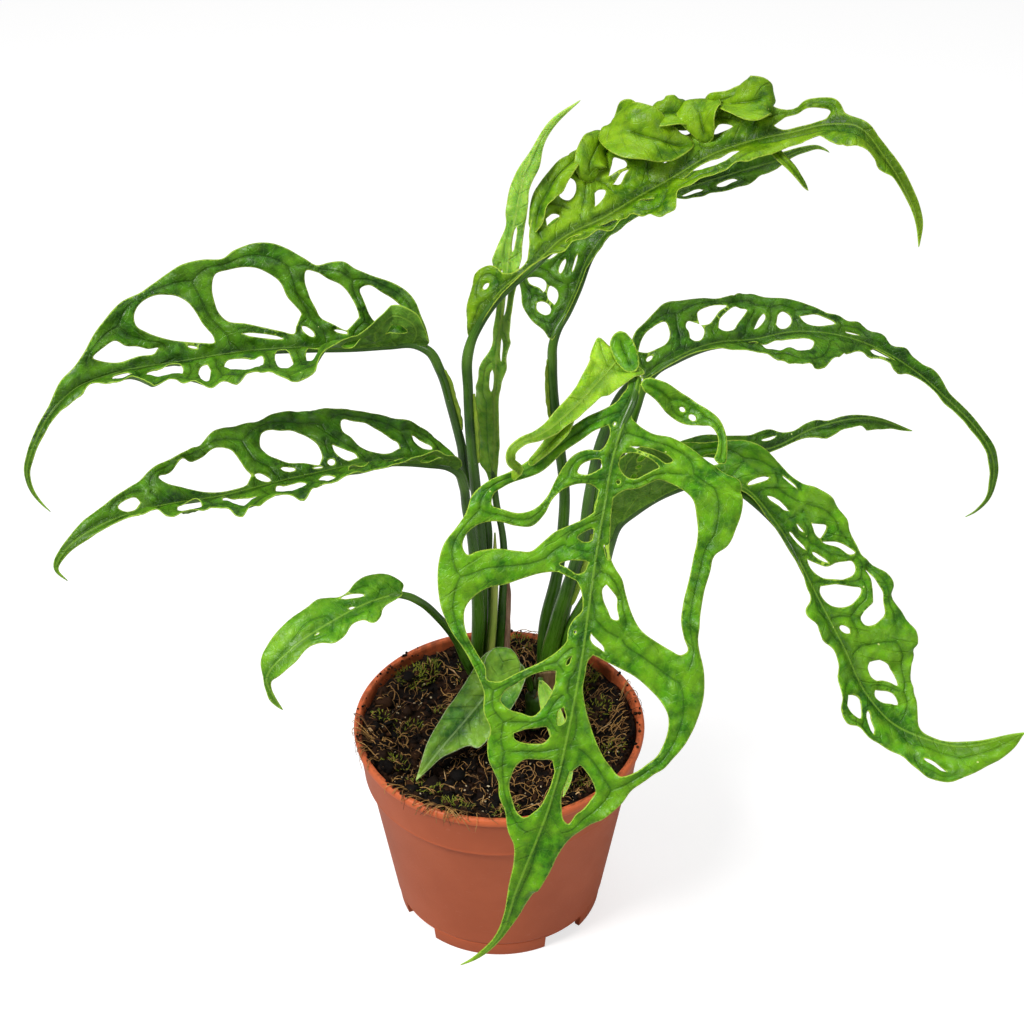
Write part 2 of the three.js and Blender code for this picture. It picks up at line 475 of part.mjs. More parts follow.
const LEAVES = {
  // The top leaf on the left, arched, with its front half folded up and its back half turned to the front
  top_left: {
    finish: LEAF_DARK,
    midrib: [
      [-25, 8, 267], [-39, 6, 268], [-52, 3, 269], [-89, -4, 271], [-112, -11, 271],
      [-136, -22, 272], [-148, -29, 270], [-155, -35, 265], [-160, -39, 258], [-163, -42, 252],
      [-165, -43, 245], [-164, -44, 238], [-161, -45, 233], [-158, -46, 230],
    ],
    face: [
      [0, 0, -0.36, 0.93], [128, 0, -0.36, 0.93], [140, -0.1, -0.45, 0.85], [150, -0.3, -0.7, 0.5],
      [160, -0.4, -0.9, 0.1], [182, -0.2, -0.95, 0.1],
    ],
    left: [
      [0, 75, 15], [15, 80, 20], [28, 60, 5], [37, 55, 0], [44, 34, 0], [53, 28, 0], [66, 34, 0],
      [84, 27, 0], [97, 33, 0], [106, 26, 0], [116, 45, 0], [126, 40, 0], [140, 10, 0], [182, 0, 0],
    ],
    right: [[0, 42, -2], [135, 42, -2], [145, 20, 0], [160, 0, 0], [182, 0, 0]],
    right_edge: [
      [0, 1], [1, 5], [3, 10], [5, 15], [8, 19], [14, 23], [20, 25], [25, 27], [30, 30], [35, 30.6],
      [40, 29.8], [45, 32.5], [50, 35.3], [55, 37.2], [61, 38], [66, 36.8], [70, 34], [76, 34],
      [83, 33.4], [90, 31.5], [96, 28.5], [100, 26], [107, 23.3], [114, 17.5], [120, 12],
      [126, 6.8], [133, 4.5], [139, 2.2], [148, 1.6], [160, 1.3], [172, 0.8], [182, 0],
    ],
    left_edge: [
      [0, -1], [2, -9], [6, -16], [12, -19], [20, -17], [27, -14], [33, -16], [40, -23], [47, -29],
      [53, -31], [58, -28], [64, -26], [72, -27], [80, -27], [86, -26], [91, -22], [98, -20],
      [105, -20], [111, -15], [117, -10], [124, -6.5], [132, -4.5], [140, -3], [150, -1.8],
      [160, -1.4], [172, -0.8], [182, 0],
    ],
    cuts: [
      [
        [9, 12], [12, 16], [17, 19.5], [21.5, 21.7], [24, 20.5], [23.5, 17], [22, 12.5], [19, 8],
        [14, 7], [10, 8.5],
      ],
      [
        [25, 10], [26, 14], [28.5, 19], [31, 22], [36, 25], [40, 27.5], [44, 28], [44.5, 24],
        [43.5, 19], [41.5, 14.5], [39.5, 10.8], [35, 8], [29, 5.5],
      ],
      [
        [46, 12], [48, 15], [50.5, 18], [53, 24], [57, 27.5], [60, 29.5], [64, 30.7], [69, 30.2],
        [73, 29], [75, 24], [75, 19], [74, 15], [71.5, 11.5], [66, 10], [60, 8], [54, 6.2],
        [48.5, 5.2], [48, 8],
      ],
      [
        [80, 12], [81.5, 16], [84, 20.5], [87, 23.3], [92, 24.7], [97, 24.5], [101, 22.5],
        [104, 18.5], [104, 14.5], [101, 12], [95, 9], [87, 6.5], [82, 5.3], [77, 4.8], [77.5, 8.3],
      ],
      [
        [97, 6], [101, 6.3], [104.5, 7.8], [108, 8.6], [111, 11.3], [115, 10.2], [120, 7.6],
        [117, 5.4], [112, 3.3], [105, 4], [98, 4.6],
      ],
    ],
    ovals: [
      [44, 5.8, 6, 2.6, 40], [32, 5.3, 5.5, 1.5, 15], [60, 5, 15, 1.8, 12], [85, 4.4, 4, 1.2, 20],
      [23.7, 4.9, 3, 1.2, -30], [13, -9, 9, 6, 0], [29, -7.5, 8, 5, 0], [43, -9, 6, 10, 15],
      [54, -12, 7, 15, 0], [69, -12, 15, 14, 0], [84, -13, 5, 14, 10], [98, -8, 14, 8, 0],
      [113, -5.5, 8, 5, 0],
    ],
    wave: [0.5, 26, 0.4, 24],
  },
  // The leaf below it, flatter and reaching forward
  middle_left: {
    finish: LEAF_DARK,
    midrib: [
      [-14, -2, 219], [-34, -9, 227], [-70, -25, 231], [-99, -41, 233], [-120, -52, 236],
      [-136, -60, 235], [-145, -65, 232], [-150, -67, 228], [-153, -69, 222], [-149, -70, 217],
    ],
    face: [
      [0, 0, -0.36, 0.93], [125, 0, -0.36, 0.93], [140, -0.1, -0.45, 0.85], [150, -0.3, -0.7, 0.5],
      [156, -0.4, -0.9, 0.1], [168, -0.2, -0.95, 0.1],
    ],
    left: [
      [0, 70, 15], [15, 65, 10], [30, 44, 0], [50, 43, 0], [60, 38, 0], [72, 31, 0], [80, 40, 0],
      [95, 29, 0], [104, 42, 0], [117, 32, 0], [126, 55, 0], [140, 10, 0], [168, 0, 0],
    ],
    right: [[0, 20, -2], [125, 20, -2], [140, 15, 0], [155, 0, 0], [168, 0, 0]],
    right_edge: [
      [0, 1], [2, 4], [4.5, 6.5], [7.5, 8.5], [12, 12.2], [18, 14.5], [24, 16], [30, 18.3],
      [35, 19.5], [40, 21], [45, 22.5], [50, 24.2], [55, 25], [60, 25.3], [67, 25.2], [73, 24.3],
      [83, 25.3], [89, 24.2], [95, 21.5], [103, 19], [107, 17.2], [114, 15], [121, 11.3],
      [127, 8.7], [135, 6], [143, 4.5], [152, 2], [160, 1.2], [168, 0],
    ],
    left_edge: [
      [0, -1], [3, -6], [8, -10], [15, -12], [24, -11], [30, -12], [37, -13], [44, -15], [50, -17],
      [56, -16], [62, -15], [67, -18], [72, -19], [77, -16], [82, -16], [89, -18], [95, -20],
      [99, -15], [105, -13], [112, -12], [117, -13], [122, -9], [127, -5], [135, -3], [145, -2.2],
      [156, -1.3], [168, 0],
    ],
    cuts: [
      [
        [24, 5], [24.3, 7], [27, 9], [30, 12], [34, 14.8], [39, 16.5], [43.3, 17.8], [44, 14.5],
        [42, 10.5], [39.5, 7], [35, 4], [31, 2.7], [27, 3.2],
      ],
      [
        [53.5, 5.5], [54.2, 11], [57, 15.5], [60, 17.3], [65, 19], [68, 20.3], [72, 19.7], [74, 15],
        [73.5, 11], [70, 8], [65, 5.7], [59, 3.7], [55, 2.9],
      ],
      [
        [81, 5], [82.5, 8], [84, 12], [86, 15.5], [90, 17.5], [93, 17.7], [97, 16.3], [102, 15.5],
        [106, 15.8], [110, 12.4], [115.5, 10.2], [113, 7], [108, 5], [103, 3.3], [97, 1.8],
        [90, 1.3], [83, 2.4],
      ],
      [[41, 2.4], [41.5, 4.2], [45, 6.3], [49, 9.3], [49, 6.5], [47, 3.2], [44, 1.8]],
      [[123.5, 3], [124.5, 5], [128, 5.2], [131.7, 3.3], [130, 1.5], [125, 1.4]],
    ],
    ovals: [
      [51, 3, 3.2, 2.8, 0], [56.5, 2, 4, 0.9, 5], [67.5, 3.8, 6, 2.2, 12],
      [77.5, 3.1, 6.5, 2.8, 38], [16, 7.4, 9, 2.6, 30], [15, -6, 9, 4, 0], [30, -6.5, 9, 5, 0],
      [44, -8, 8, 6, 0], [57, -8.5, 8, 8, 0], [71, -8, 12, 8, 0], [91, -8, 13, 8, 0],
      [109, -6.5, 9, 6, 0],
    ],
    wave: [0.4, 22, 0, 20],
  },
  // The small lobed leaf low on the left
  low_left: {
    finish: LEAF_MID,
    midrib: [
      [-36, -28, 180], [-48, -34, 180], [-62, -42, 177], [-77, -50, 170], [-86, -54, 159],
      [-83, -55, 151], [-81, -55, 146],
    ],
    face: [[0, -0.2, -0.6, 0.75], [78, -0.2, -0.6, 0.75]],
    left: [[0, 20, 0], [78, 0, 0]],
    right: [[0, 5, -6], [78, 0, 0]],
    right_edge: [
      [0, 0.8], [-1.5, 3], [0.5, 6], [4, 9], [10, 10.3], [15, 9], [19, 7], [22, 7], [26, 9],
      [29, 10.2], [34, 9.6], [41, 9.8], [48, 8.6], [54, 7.5], [59, 5], [63, 1.3], [67, 1.4],
      [71, 2.2], [75, 1.4], [78, 0],
    ],
    left_edge: [
      [0, -0.8], [4, -2.4], [10, -4.5], [13, -8], [17, -9.5], [19, -6.5], [24, -5.5], [29, -8],
      [33, -8.8], [37, -5.5], [41, -4], [50, -5], [58, -4.2], [63, -2], [68, -0.4], [78, 0],
    ],
    ovals: [[18, 4.9, 9, 1.9, 20], [20.5, 0.9, 2.6, 1.3, 15], [36.5, -1.3, 2, 0.8, 0]],
    wave: [0.6, 17, 1, 9],
  },
  // The long yellow-green leaf that arches over the top to the right
  arching: {
    finish: LEAF_YELLOW,
    midrib: [
      [-10, 13, 266], [-5, 14, 275], [1, 15, 284], [8, 15, 291], [16, 19, 296], [23, 25, 300],
      [40, 34, 305], [52, 40, 310], [65, 44, 316], [78, 47, 323], [92, 48, 328], [107, 47, 332],
      [120, 43, 337], [129, 39, 338], [139, 32, 329], [147, 27, 318], [152, 24, 307],
      [153, 21, 298],
    ],
    face: [
      [0, -0.5, -0.5, 0.7], [20, -0.5, -0.5, 0.7], [40, -0.2, -0.5, 0.85], [150, -0.2, -0.5, 0.85],
      [170, 0.3, -0.6, 0.7], [185, 0.5, -0.7, 0.3], [200, 0.4, -0.9, 0.1], [222, 0.3, -0.9, 0.1],
    ],
    left: [[0, 20, 0], [222, 20, 0]],
    right: [[0, 20, 0], [222, 20, 0]],
    right_edge: [
      [0, 1], [20, 1.4], [44, 1.6], [50, 5.5], [56, 6.8], [66, 7], [74, 7.3], [79, 6], [82, 10],
      [84, 14], [88, 16.6], [92, 16.3], [96, 13.5], [99, 10], [104, 10], [112, 11.4], [120, 12.2],
      [130, 11.8], [138, 11], [144, 8], [152, 8], [162, 10], [168, 11.5], [173, 12], [178, 10],
      [183, 7], [190, 4.3], [197, 1.8], [205, 1], [214, 0.8], [222, 0],
    ],
    left_edge: [
      [0, -1], [5, -5], [10, -7.5], [16, -10], [20, -12.3], [24, -10.5], [27, -4], [31, -2],
      [36, -2], [40, -5], [44, -8], [48, -11.5], [54, -17.5], [60, -19.5], [66, -23.5], [72, -25.5],
      [80, -26.5], [86, -28], [91, -31], [97, -33], [101.5, -31], [104, -25], [112, -23],
      [117, -20.5], [122, -22], [128, -20], [135, -19.7], [139.5, -17], [141, -11], [145, -9],
      [152, -10], [159, -10], [163, -8.5], [166, -4], [172, -3], [185, -3], [200, -2.7], [212, -2],
      [222, 0],
    ],
    cuts: [
      [[51, -7], [54, -6.5], [57, -8.5], [56, -11], [52.5, -10]],
      [[59.5, -14.5], [62, -12.3], [66, -13.5], [67.5, -16.5], [65.5, -19.5], [62, -18]],
      [[70, -5.5], [74, -6], [77, -8.5], [75, -10], [72, -9.3]],
      [[80.5, -12.3], [84, -12], [88, -12.3], [88.8, -16], [86, -18.3], [83.5, -15.5]],
      [[80.5, -9], [82.5, -7.8], [86, -9.6], [88, -10.6], [84, -10.8]],
      [[106.5, -15], [108, -12.8], [112, -11.5], [115.5, -13], [112, -14], [109, -16]],
      [[119.5, -8], [123, -6.3], [127, -7], [125, -9], [122, -10]],
      [[125, -15.5], [127, -12.5], [130, -11.7], [129, -14.5]],
      [
        [140.5, -4], [143, -1.9], [149, -1.5], [156, -1.5], [160, -2.5], [161, -4.8], [157, -6.8],
        [150, -6.6], [144, -6],
      ],
      [
        [103, 3], [110, 5.3], [114, 7], [118, 9.3], [123, 9.2], [127, 6.5], [126, 3.5], [118, 2.6],
        [110, 2.4],
      ],
    ],
    ovals: [
      [19, -6, 3, 2, 0], [104, -6.2, 9, 1.3, 0], [87, 4.5, 6, 1.6, 10], [55, 3.6, 7, 1.6, 5],
      [70, 3.6, 8, 1.6, 0],
    ],
    wave: [2.4, 30, -1.1, 20],
    ribbons: [
      {
        midrib: [[98.7, 45, 328.6], [102, 41, 326.5], [107.3, 37, 322.4], [113.2, 35, 314.7]],
        half_widths: [1.2, 1.8, 1.4, 0.5],
        facing: [0, -0.6, 0.8],
      },
    ],
  },
  // The leaf behind it
  back: {
    finish: LEAF_MID,
    midrib: [
      [21, 52, 243], [25, 56, 249], [30, 60, 259], [36, 65, 273], [46, 70, 284], [60, 75, 291],
      [79, 80, 296], [97, 83, 300.5], [108, 84, 303.5], [118, 84, 308], [124, 82, 310],
      [128, 80, 308.5], [129.5, 78, 305.5],
    ],
    face: [
      [0, -0.5, -0.5, 0.7], [60, -0.4, -0.5, 0.75], [100, -0.2, -0.6, 0.8], [150, 0, -0.7, 0.7],
    ],
    left: [[0, 10, 0], [60, 25, 0], [150, 20, 0]],
    right: [[0, 20, 0], [150, 20, 0]],
    right_edge: [
      [0, 1], [12, 1.4], [30, 2], [44, 3], [56, 5], [66, 4.4], [78, 5.5], [88, 7.6], [98, 8.6],
      [108, 7.5], [116, 4.5], [124, 1.6], [132, 1.2], [141, 0],
    ],
    left_edge: [
      [0, -1], [2, -5], [3, -10], [5, -15], [9, -20], [14, -24], [20, -23], [27, -22], [34, -22],
      [40, -19], [46, -12.5], [52, -7.5], [60, -6], [68, -7.5], [76, -8], [84, -6.5], [92, -4.5],
      [100, -3.6], [108, -4.2], [116, -3.8], [124, -2], [134, -1], [141, 0],
    ],
    cuts: [
      [[12.3, -6], [15, -5.7], [18.5, -7.5], [18.8, -10.5], [15.5, -11.2], [12.6, -9.3]],
      [[14.6, -12.8], [19.3, -12.4], [19.8, -17], [18, -20.3], [15.7, -18], [15.2, -15]],
    ],
    ovals: [
      [9.4, -9.5, 8, 4.6, -80], [28, -8.8, 6, 2.4, -10], [31, -4, 7, 1.2, -5],
      [32, -14.5, 8, 4.5, 20], [84, 3.8, 9, 2.2, 10], [98, 4.4, 9, 3, 0],
    ],
    wave: [0.8, 18, 0, 16],
  },
  // The young leaf still unrolling, upright in the middle
  unfurling: {
    finish: LEAF_YOUNG,
    midrib: [
      [-2, 23, 191.5], [-1, 23, 215], [-1, 23, 238], [1, 24, 263.5], [3, 25, 280], [6.6, 31, 305],
      [12, 37, 326], [19.3, 41, 338], [31, 45, 346.5],
    ],
    face: [[0, -0.5, -0.8, 0.2], [166, -0.2, -0.95, 0.2]],
    left: [[0, 10, 0], [166, 0, 0]],
    right: [[0, 10, 0], [166, 0, 0]],
    right_edge: [
      [0, 0.8], [10, 1.5], [20, 2], [33, 1.8], [44, 1.8], [50, 2.8], [56, 4], [64, 4], [70, 5],
      [78, 4], [88, 3.8], [100, 5], [110, 4], [120, 3.6], [130, 3.2], [136, 4], [145, 2],
      [155, 1.2], [166, 0],
    ],
    left_edge: [
      [0, -0.8], [8, -3], [14, -7], [20, -8.5], [30, -8.5], [40, -8.5], [45, -8], [50, -6.5],
      [56, -6], [64, -2.5], [70, -2.5], [80, -2.2], [90, -3.5], [98, -6], [104, -4.8], [112, -3],
      [120, -4], [130, -3.4], [140, -1.2], [155, -0.9], [166, 0],
    ],
    ovals: [
      [50, -1.5, 10, 2, 0], [64, 1.5, 10, 1.4, -5], [84, 1, 12, 1.4, 0], [93, -2.6, 6, 1.4, 10],
      [108, 1, 10, 1.6, 0],
    ],
    wave: [1, 24, 0, 6],
  },
  // The upper leaf on the right, hooked down at its tip
  right_upper: {
    finish: LEAF_DARK,
    midrib: [
      [55, 20, 244], [65, 26, 248], [81, 34, 251], [99, 41, 249], [115, 45, 250], [135, 46, 247],
      [151, 44, 241], [164, 39, 234], [175, 33, 226], [185, 26, 218], [191, 19, 210],
      [192, 15, 202], [190, 12, 194], [186, 10, 190], [181, 7, 189],
    ],
    face: [
      [0, 0, -0.36, 0.93], [70, 0, -0.36, 0.93], [90, 0.2, -0.36, 0.9], [110, 0.3, -0.5, 0.8],
      [130, 0.4, -0.7, 0.6], [155, 0.5, -0.85, 0.3], [170, 0.3, -0.95, 0.1],
      [191, 0.2, -0.95, -0.2],
    ],
    left: [[0, 20, -2], [191, 10, 0]],
    right: [[0, 25, 0], [191, 10, 0]],
    right_edge: [
      [0, 1], [10, 1.6], [24, 2], [30, 3.2], [36, 6], [42, 7.4], [48, 10], [53, 14], [55.5, 18.5],
      [56, 22.5], [59, 24.7], [64, 25.2], [69, 25], [74, 23], [79, 19.5], [83, 15], [87, 10],
      [91, 7], [96, 6.8], [102, 5.4], [106, 5.5], [109, 7.5], [112, 6.2], [116, 3], [122, 1.6],
      [132, 2], [142, 2.6], [151, 2.4], [160, 1.9], [170, 2], [178, 1.1], [185, 0.8], [191, 0],
    ],
    left_edge: [
      [0, -1], [2, -7], [4, -12], [7, -15.5], [12, -17.8], [18, -19.8], [22, -21.3], [27, -20.2],
      [34, -19.2], [40, -18], [45, -18.6], [49, -20.2], [54, -20], [58, -17.6], [62, -15.2],
      [68, -12.8], [74, -11], [79, -8.8], [83, -8.6], [87, -7], [91, -8.2], [96, -6.2], [101, -6.4],
      [105, -4], [111, -5.4], [118, -3.8], [123, -4.9], [130, -3], [140, -2.3], [150, -2],
      [160, -2.3], [170, -1.6], [181, -0.8], [191, 0],
    ],
    cuts: [
      [
        [5, -9.8], [7, -8], [11, -6.8], [15, -6.7], [18, -8.5], [19.3, -11.5], [19.3, -14.5],
        [16, -15.4], [12, -14.8], [8, -12.5],
      ],
      [
        [24.3, -5], [25.5, -3.2], [28, -2.8], [30.5, -5], [30.8, -7], [29, -10.8], [27, -12],
        [25, -10], [25, -7],
      ],
      [
        [30, -8.8], [32.5, -7.6], [35, -9.4], [38, -12.4], [41.3, -14.4], [39, -15.2], [34, -14.8],
        [30, -13.4],
      ],
      [
        [35.5, -5.8], [38, -4.6], [42, -4.6], [45, -7.5], [49, -11], [50.8, -12.7], [48, -13.8],
        [44, -13.8], [39.5, -11.4], [36.8, -9],
      ],
      [[51, -4.5], [54, -5.3], [57, -8], [56.8, -9.6], [54, -8.2]],
      [[59.7, -4], [61, -2.1], [63.5, -1.9], [66, -4.5], [65.5, -7.5], [63.2, -9], [61, -7.3]],
      [[68.8, -6.3], [71, -3.6], [75, -2.6], [78, -2.9], [82.3, -5], [78, -7.2], [73, -7.7]],
      [
        [51, 4], [52, 7.5], [55.5, 9.8], [60, 12.5], [66, 13.6], [70.5, 11.8], [71.8, 9], [69, 6],
        [62, 4], [56, 2.6],
      ],
      [[97, 3.3], [99.5, 4.4], [104, 3.8], [108.5, 1.9], [104, 1.2], [98, 1.5]],
    ],
    ovals: [[7, -5.3, 4, 1.8, -10], [48, 2.8, 4, 2.6, 0], [89, -2.6, 6, 1, -5]],
    wave: [0.4, 20, 0, 20],
  },
  // The longest leaf, out to the right
  right_long: {
    finish: LEAF_MID,
    midrib: [
      [44, 8, 178], [46, 8, 184], [52, 6, 193], [59, 4, 200], [68, 1, 208], [80, -4, 214],
      [91, -8, 214], [104, -14, 202], [114, -20, 187], [121, -26, 175], [131, -34, 158],
      [141, -42, 140], [151, -48, 131], [161, -52, 128], [173, -56, 127], [197, -62, 139],
    ],
    face: [
      [0, 0.1, -0.3, 0.9], [50, 0.2, -0.5, 0.85], [66, 0.4, -0.65, 0.6], [229, 0.4, -0.65, 0.6],
    ],
    left: [[0, 30, 0], [50, 20, 0], [66, 10, 0], [229, 10, 0]],
    right: [[0, 95, 5], [45, 90, 5], [66, 30, 0], [80, 10, 0], [229, 10, 0]],
    right_edge: [
      [0, 1], [3, 3.5], [9, 8.5], [17, 15], [26, 22], [34, 28], [41, 28], [48, 23], [54, 15],
      [60, 6], [68, 2], [80, 1.6], [95, 1.6], [109, 1.5], [114, 3], [117, 3.6], [120, 7.6],
      [123, 9], [127, 7], [133, 7], [137, 5], [144, 5.5], [150, 8], [155, 12], [160, 13.5],
      [164, 14.8], [168, 12.3], [172, 12.5], [177, 10.3], [184, 10.3], [190, 12.5], [196, 14.5],
      [200.5, 14.5], [205, 11.5], [211, 8.5], [217, 7], [223, 4.5], [229, 0],
    ],
    left_edge: [
      [0, -1], [4, -8], [10, -13], [20, -16], [32, -17], [44, -16], [54, -14.5], [60, -16.5],
      [66, -17.3], [72, -16.2], [78, -16.6], [84, -19.8], [89, -23], [94, -24.5], [100, -24.7],
      [107, -23.5], [113, -23.5], [118, -26], [124, -28.6], [129, -29.8], [134, -28], [139, -27.4],
      [144, -29.2], [149, -29.8], [156, -28], [162, -25.7], [165, -20.5], [170, -17.8], [176, -15],
      [181, -12.5], [184, -8], [187.5, -2.6], [194, -1.2], [206, -1.8], [214, -1.3], [222, -0.8],
      [229, 0],
    ],
    cuts: [
      [[93.5, -11.5], [97, -10.3], [100.2, -11.5], [100.2, -15.5], [98, -17.2], [96, -15]],
      [
        [101.6, -11.8], [103.2, -12.8], [107, -17], [111.5, -20], [111.8, -21.8], [108, -20.3],
        [104, -16.5],
      ],
      [
        [104, -3.2], [106, -2.6], [110, -3], [113, -4.8], [116, -9], [118.8, -14], [119.2, -17.8],
        [117, -20], [114.3, -20], [112, -16], [110.7, -12], [110, -8.5], [107, -5.5],
      ],
      [
        [115.6, -3.2], [117.3, -1.8], [121, -1.8], [125, -3.8], [127.5, -7], [128.4, -12],
        [127.5, -15.8], [125, -17.8], [123, -15.5], [119.5, -11], [117, -7.5],
      ],
      [
        [133, -14], [134.5, -12], [138, -11.8], [140.3, -17], [139.8, -21.5], [136, -22.8],
        [133, -24.2], [126, -24.2], [119.5, -23.8], [124, -22.8], [129, -20.6], [132.5, -18],
      ],
      [
        [151.6, -8], [152.8, -5.6], [156, -4.8], [159, -5.7], [162, -9], [167.5, -12.4],
        [164, -14.2], [160, -14.6], [155, -13.3], [152.4, -11.4],
      ],
      [
        [162.5, -4], [164.3, -2.4], [168, -2.8], [171, -5], [174, -7.4], [171, -8.4], [168, -8.5],
        [165, -6.8],
      ],
      [[156.7, 8], [159, 10.6], [163, 10.8], [166.6, 9], [164, 5.2], [161, 3.4], [158, 5]],
    ],
    ovals: [
      [70, -5.8, 9.5, 1.9, -62], [80.5, -5.4, 11, 2, -20], [77.5, -14.2, 6.5, 1, -8],
      [96, -3.4, 10, 1.4, -12], [92.5, -6.6, 5, 1, -15], [106, -8, 7.5, 1.8, -30],
      [135, -3.6, 5, 2.6, -25], [170, 6.4, 9, 2, 38], [196, 9, 9, 1.6, 12], [33.5, 17.5, 2.5, 3, 0],
      [37.5, 20.5, 2, 2, 0], [40.5, 24, 4, 3, 20], [20, -9, 10, 6, 0], [38, -9, 10, 6, 0],
      [54, -8, 8, 5, 0],
    ],
    wave: [0.5, 21, 0, 25],
  },
  // The small leaf between them
  right_small: {
    finish: LEAF_DARK,
    midrib: [
      [62, 30, 200], [77, 34, 203], [93, 38, 200], [108, 42, 198], [127, 48, 204], [147, 52, 206],
      [170, 54, 198],
    ],
    face: [[0, 0, -0.5, 0.85], [113, 0, -0.5, 0.85]],
    left: [[0, 10, 0], [113, 10, 0]],
    right: [[0, 10, 0], [113, 10, 0]],
    right_edge: [
      [0, 1], [10, 3], [22, 4], [36, 3.5], [50, 1.5], [60, 1.5], [66, 2.8], [71, 5], [75, 5.8],
      [79, 4.5], [87, 5], [95, 4.2], [105, 2], [112, 0],
    ],
    left_edge: [
      [0, -1], [8, -3], [16, -5], [24, -6], [34, -6], [41, -6.2], [47, -7.8], [53, -7], [57, -4],
      [61, -2.5], [67, -3], [71, -2.8], [75, -1.4], [81, -1.8], [90, -1.3], [100, -0.9], [112, 0],
    ],
    ovals: [[50, -4, 8, 1.4, 0]],
    wave: [0.5, 17, 0, 7],
  },
  // The big leaf that hangs down the front, the most open of all
  hanging: {
    finish: LEAF_MID,
    midrib: [
      [51, -8, 263], [49, -14, 257], [44, -22, 247], [41, -28, 238], [39, -34, 228], [36, -44, 214],
      [33, -56, 198], [30, -68, 180], [26, -80, 162], [18.4, -93.8, 133], [14.6, -97.4, 122.3],
      [10.2, -100.6, 110.4], [5.5, -103.2, 96.2], [2, -104.7, 82.3], [-3.5, -104.8, 71.6],
      [-10.3, -104.3, 63.8], [-16.3, -103.8, 59.5],
    ],
    face: [[0, 0, -0.85, 0.5], [243, 0, -0.85, 0.5]],
    left: [[0, 0, 0], [243, 0, 0]],
    right: [[0, 0, 0], [243, 0, 0]],
    right_edge: [
      [0, 1.2], [2, 3], [6, 3], [9, 4.2], [12, 5], [17, 8.5], [22, 14], [28, 19.5], [34, 25],
      [39, 31], [44, 38], [48, 43], [54, 47.5], [60, 48.5], [65, 51], [71, 54.5], [77, 55.5],
      [84, 55], [90, 53.5], [96, 51], [102, 47.5], [107, 43.5], [112, 39.5], [118, 35.5],
      [124, 32.3], [130, 31.3], [136, 27.6], [142, 27.5], [148, 26], [153, 22.8], [157, 20.3],
      [162, 18.5], [168, 14.2], [174, 11.5], [179, 7], [187, 4.5], [196, 3.2], [204, 2], [212, 1.7],
      [222, 1], [232, 0.9], [243, 0],
    ],
    left_edge: [
      [0, -1.2], [5, -1.4], [11, -1.3], [15.5, -1.6], [17.3, -5], [18, -11], [16.7, -18],
      [17.2, -25], [19.5, -31], [23, -36], [26, -41], [27, -45.5], [30, -47.3], [36, -47.8],
      [42, -49], [50, -48], [56, -46], [60, -42.2], [66, -41.5], [76, -40.2], [86, -40], [95, -41],
      [102, -43.6], [109, -45.4], [116, -45.2], [123, -43.7], [131, -40.5], [137, -36.7],
      [142, -32], [147, -27.4], [153, -24], [159, -19.5], [165, -14.5], [171, -10.8], [178, -9.2],
      [187, -8.6], [197, -6.4], [206, -4.2], [214, -2], [222, -1.2], [232, -0.8], [243, 0],
    ],
    cuts: [
      [
        [21, 5], [22.5, 3.6], [27, 3.4], [30.3, 5], [31, 9], [33.5, 13.5], [38, 16.8], [44, 19],
        [50, 21], [55, 24.8], [57.2, 30], [56.8, 36], [56, 40], [52, 40.2], [48.5, 37], [44, 30.5],
        [40, 24], [34, 18.5], [28, 12.5], [23.5, 8.5],
      ],
      [[33.2, 4], [34, 7.5], [36.5, 11], [39, 11.6], [39.3, 8.5], [37.5, 5], [35.2, 2.8]],
      [
        [44, 2.8], [42.3, 6], [42.8, 11], [45, 15], [50, 19], [56, 21], [60.5, 24.5], [61.3, 30],
        [60.8, 37], [63, 44], [67, 47.6], [71, 48.2], [73.8, 46], [72, 42], [70.3, 36], [70, 28],
        [69.5, 23.5], [65.5, 19.5], [62, 16.5], [58, 10.5], [54.5, 5.5], [51.5, 2.8],
      ],
      [[58, 2.2], [59.5, 5.5], [62, 7.7], [63.3, 5.5], [62.5, 2.5], [60, 1.9]],
      [[70.2, 2.2], [69.9, 6], [71, 11], [72.3, 12.8], [73.3, 10], [75, 5.5], [73, 2.6]],
      [
        [75, 12.5], [76, 18], [79, 25], [82, 31], [84, 37], [87, 41], [92, 44.2], [97, 44],
        [103, 41.8], [109, 37.8], [114, 33.8], [118.5, 32.3], [118.5, 28.5], [114.5, 22.5],
        [110.5, 17], [107, 12.5], [103, 8.5], [99.5, 6.3], [95, 6.2], [91, 4.6], [88, 2.2],
        [84, 2.4], [79.5, 4], [76.8, 6],
      ],
      [[104.3, 3.6], [106, 5.2], [108.3, 5.2], [107, 3.8]],
      [
        [110.8, 8.3], [111.2, 12.5], [114, 17.3], [118, 21.7], [122, 25.7], [125.5, 26.2],
        [127.6, 23], [128.6, 18], [128.8, 13.5], [125, 10.7], [119, 8.7], [114, 7.8],
      ],
      [[123, 3.4], [124.3, 5], [127.5, 5], [130, 4], [128.8, 2.2], [125.5, 1.9]],
      [
        [136, 19.2], [138, 18.8], [139.4, 15], [139, 11], [137.5, 7.5], [134, 6], [131.7, 7.5],
        [132.6, 12], [134.2, 16.5],
      ],
      [
        [143.3, 3.2], [144.2, 8], [144.8, 13.5], [147.5, 15.4], [152, 16.6], [157, 16.4], [162, 14],
        [166.5, 10.5], [167.2, 7], [163, 3.4], [157, 2.1], [151, 1.6], [146, 1.8],
      ],
      [
        [26, -4.8], [25, -8], [24.5, -14], [25, -19], [26.7, -21.4], [28.6, -19.5], [27.2, -15],
        [26.6, -9],
      ],
      [
        [29, -3.2], [33, -2.5], [36, -4], [38, -7], [37.8, -9.8], [35.8, -12.2], [33, -15],
        [31, -17], [29, -14.5], [27.9, -10], [27.9, -6],
      ],
      [
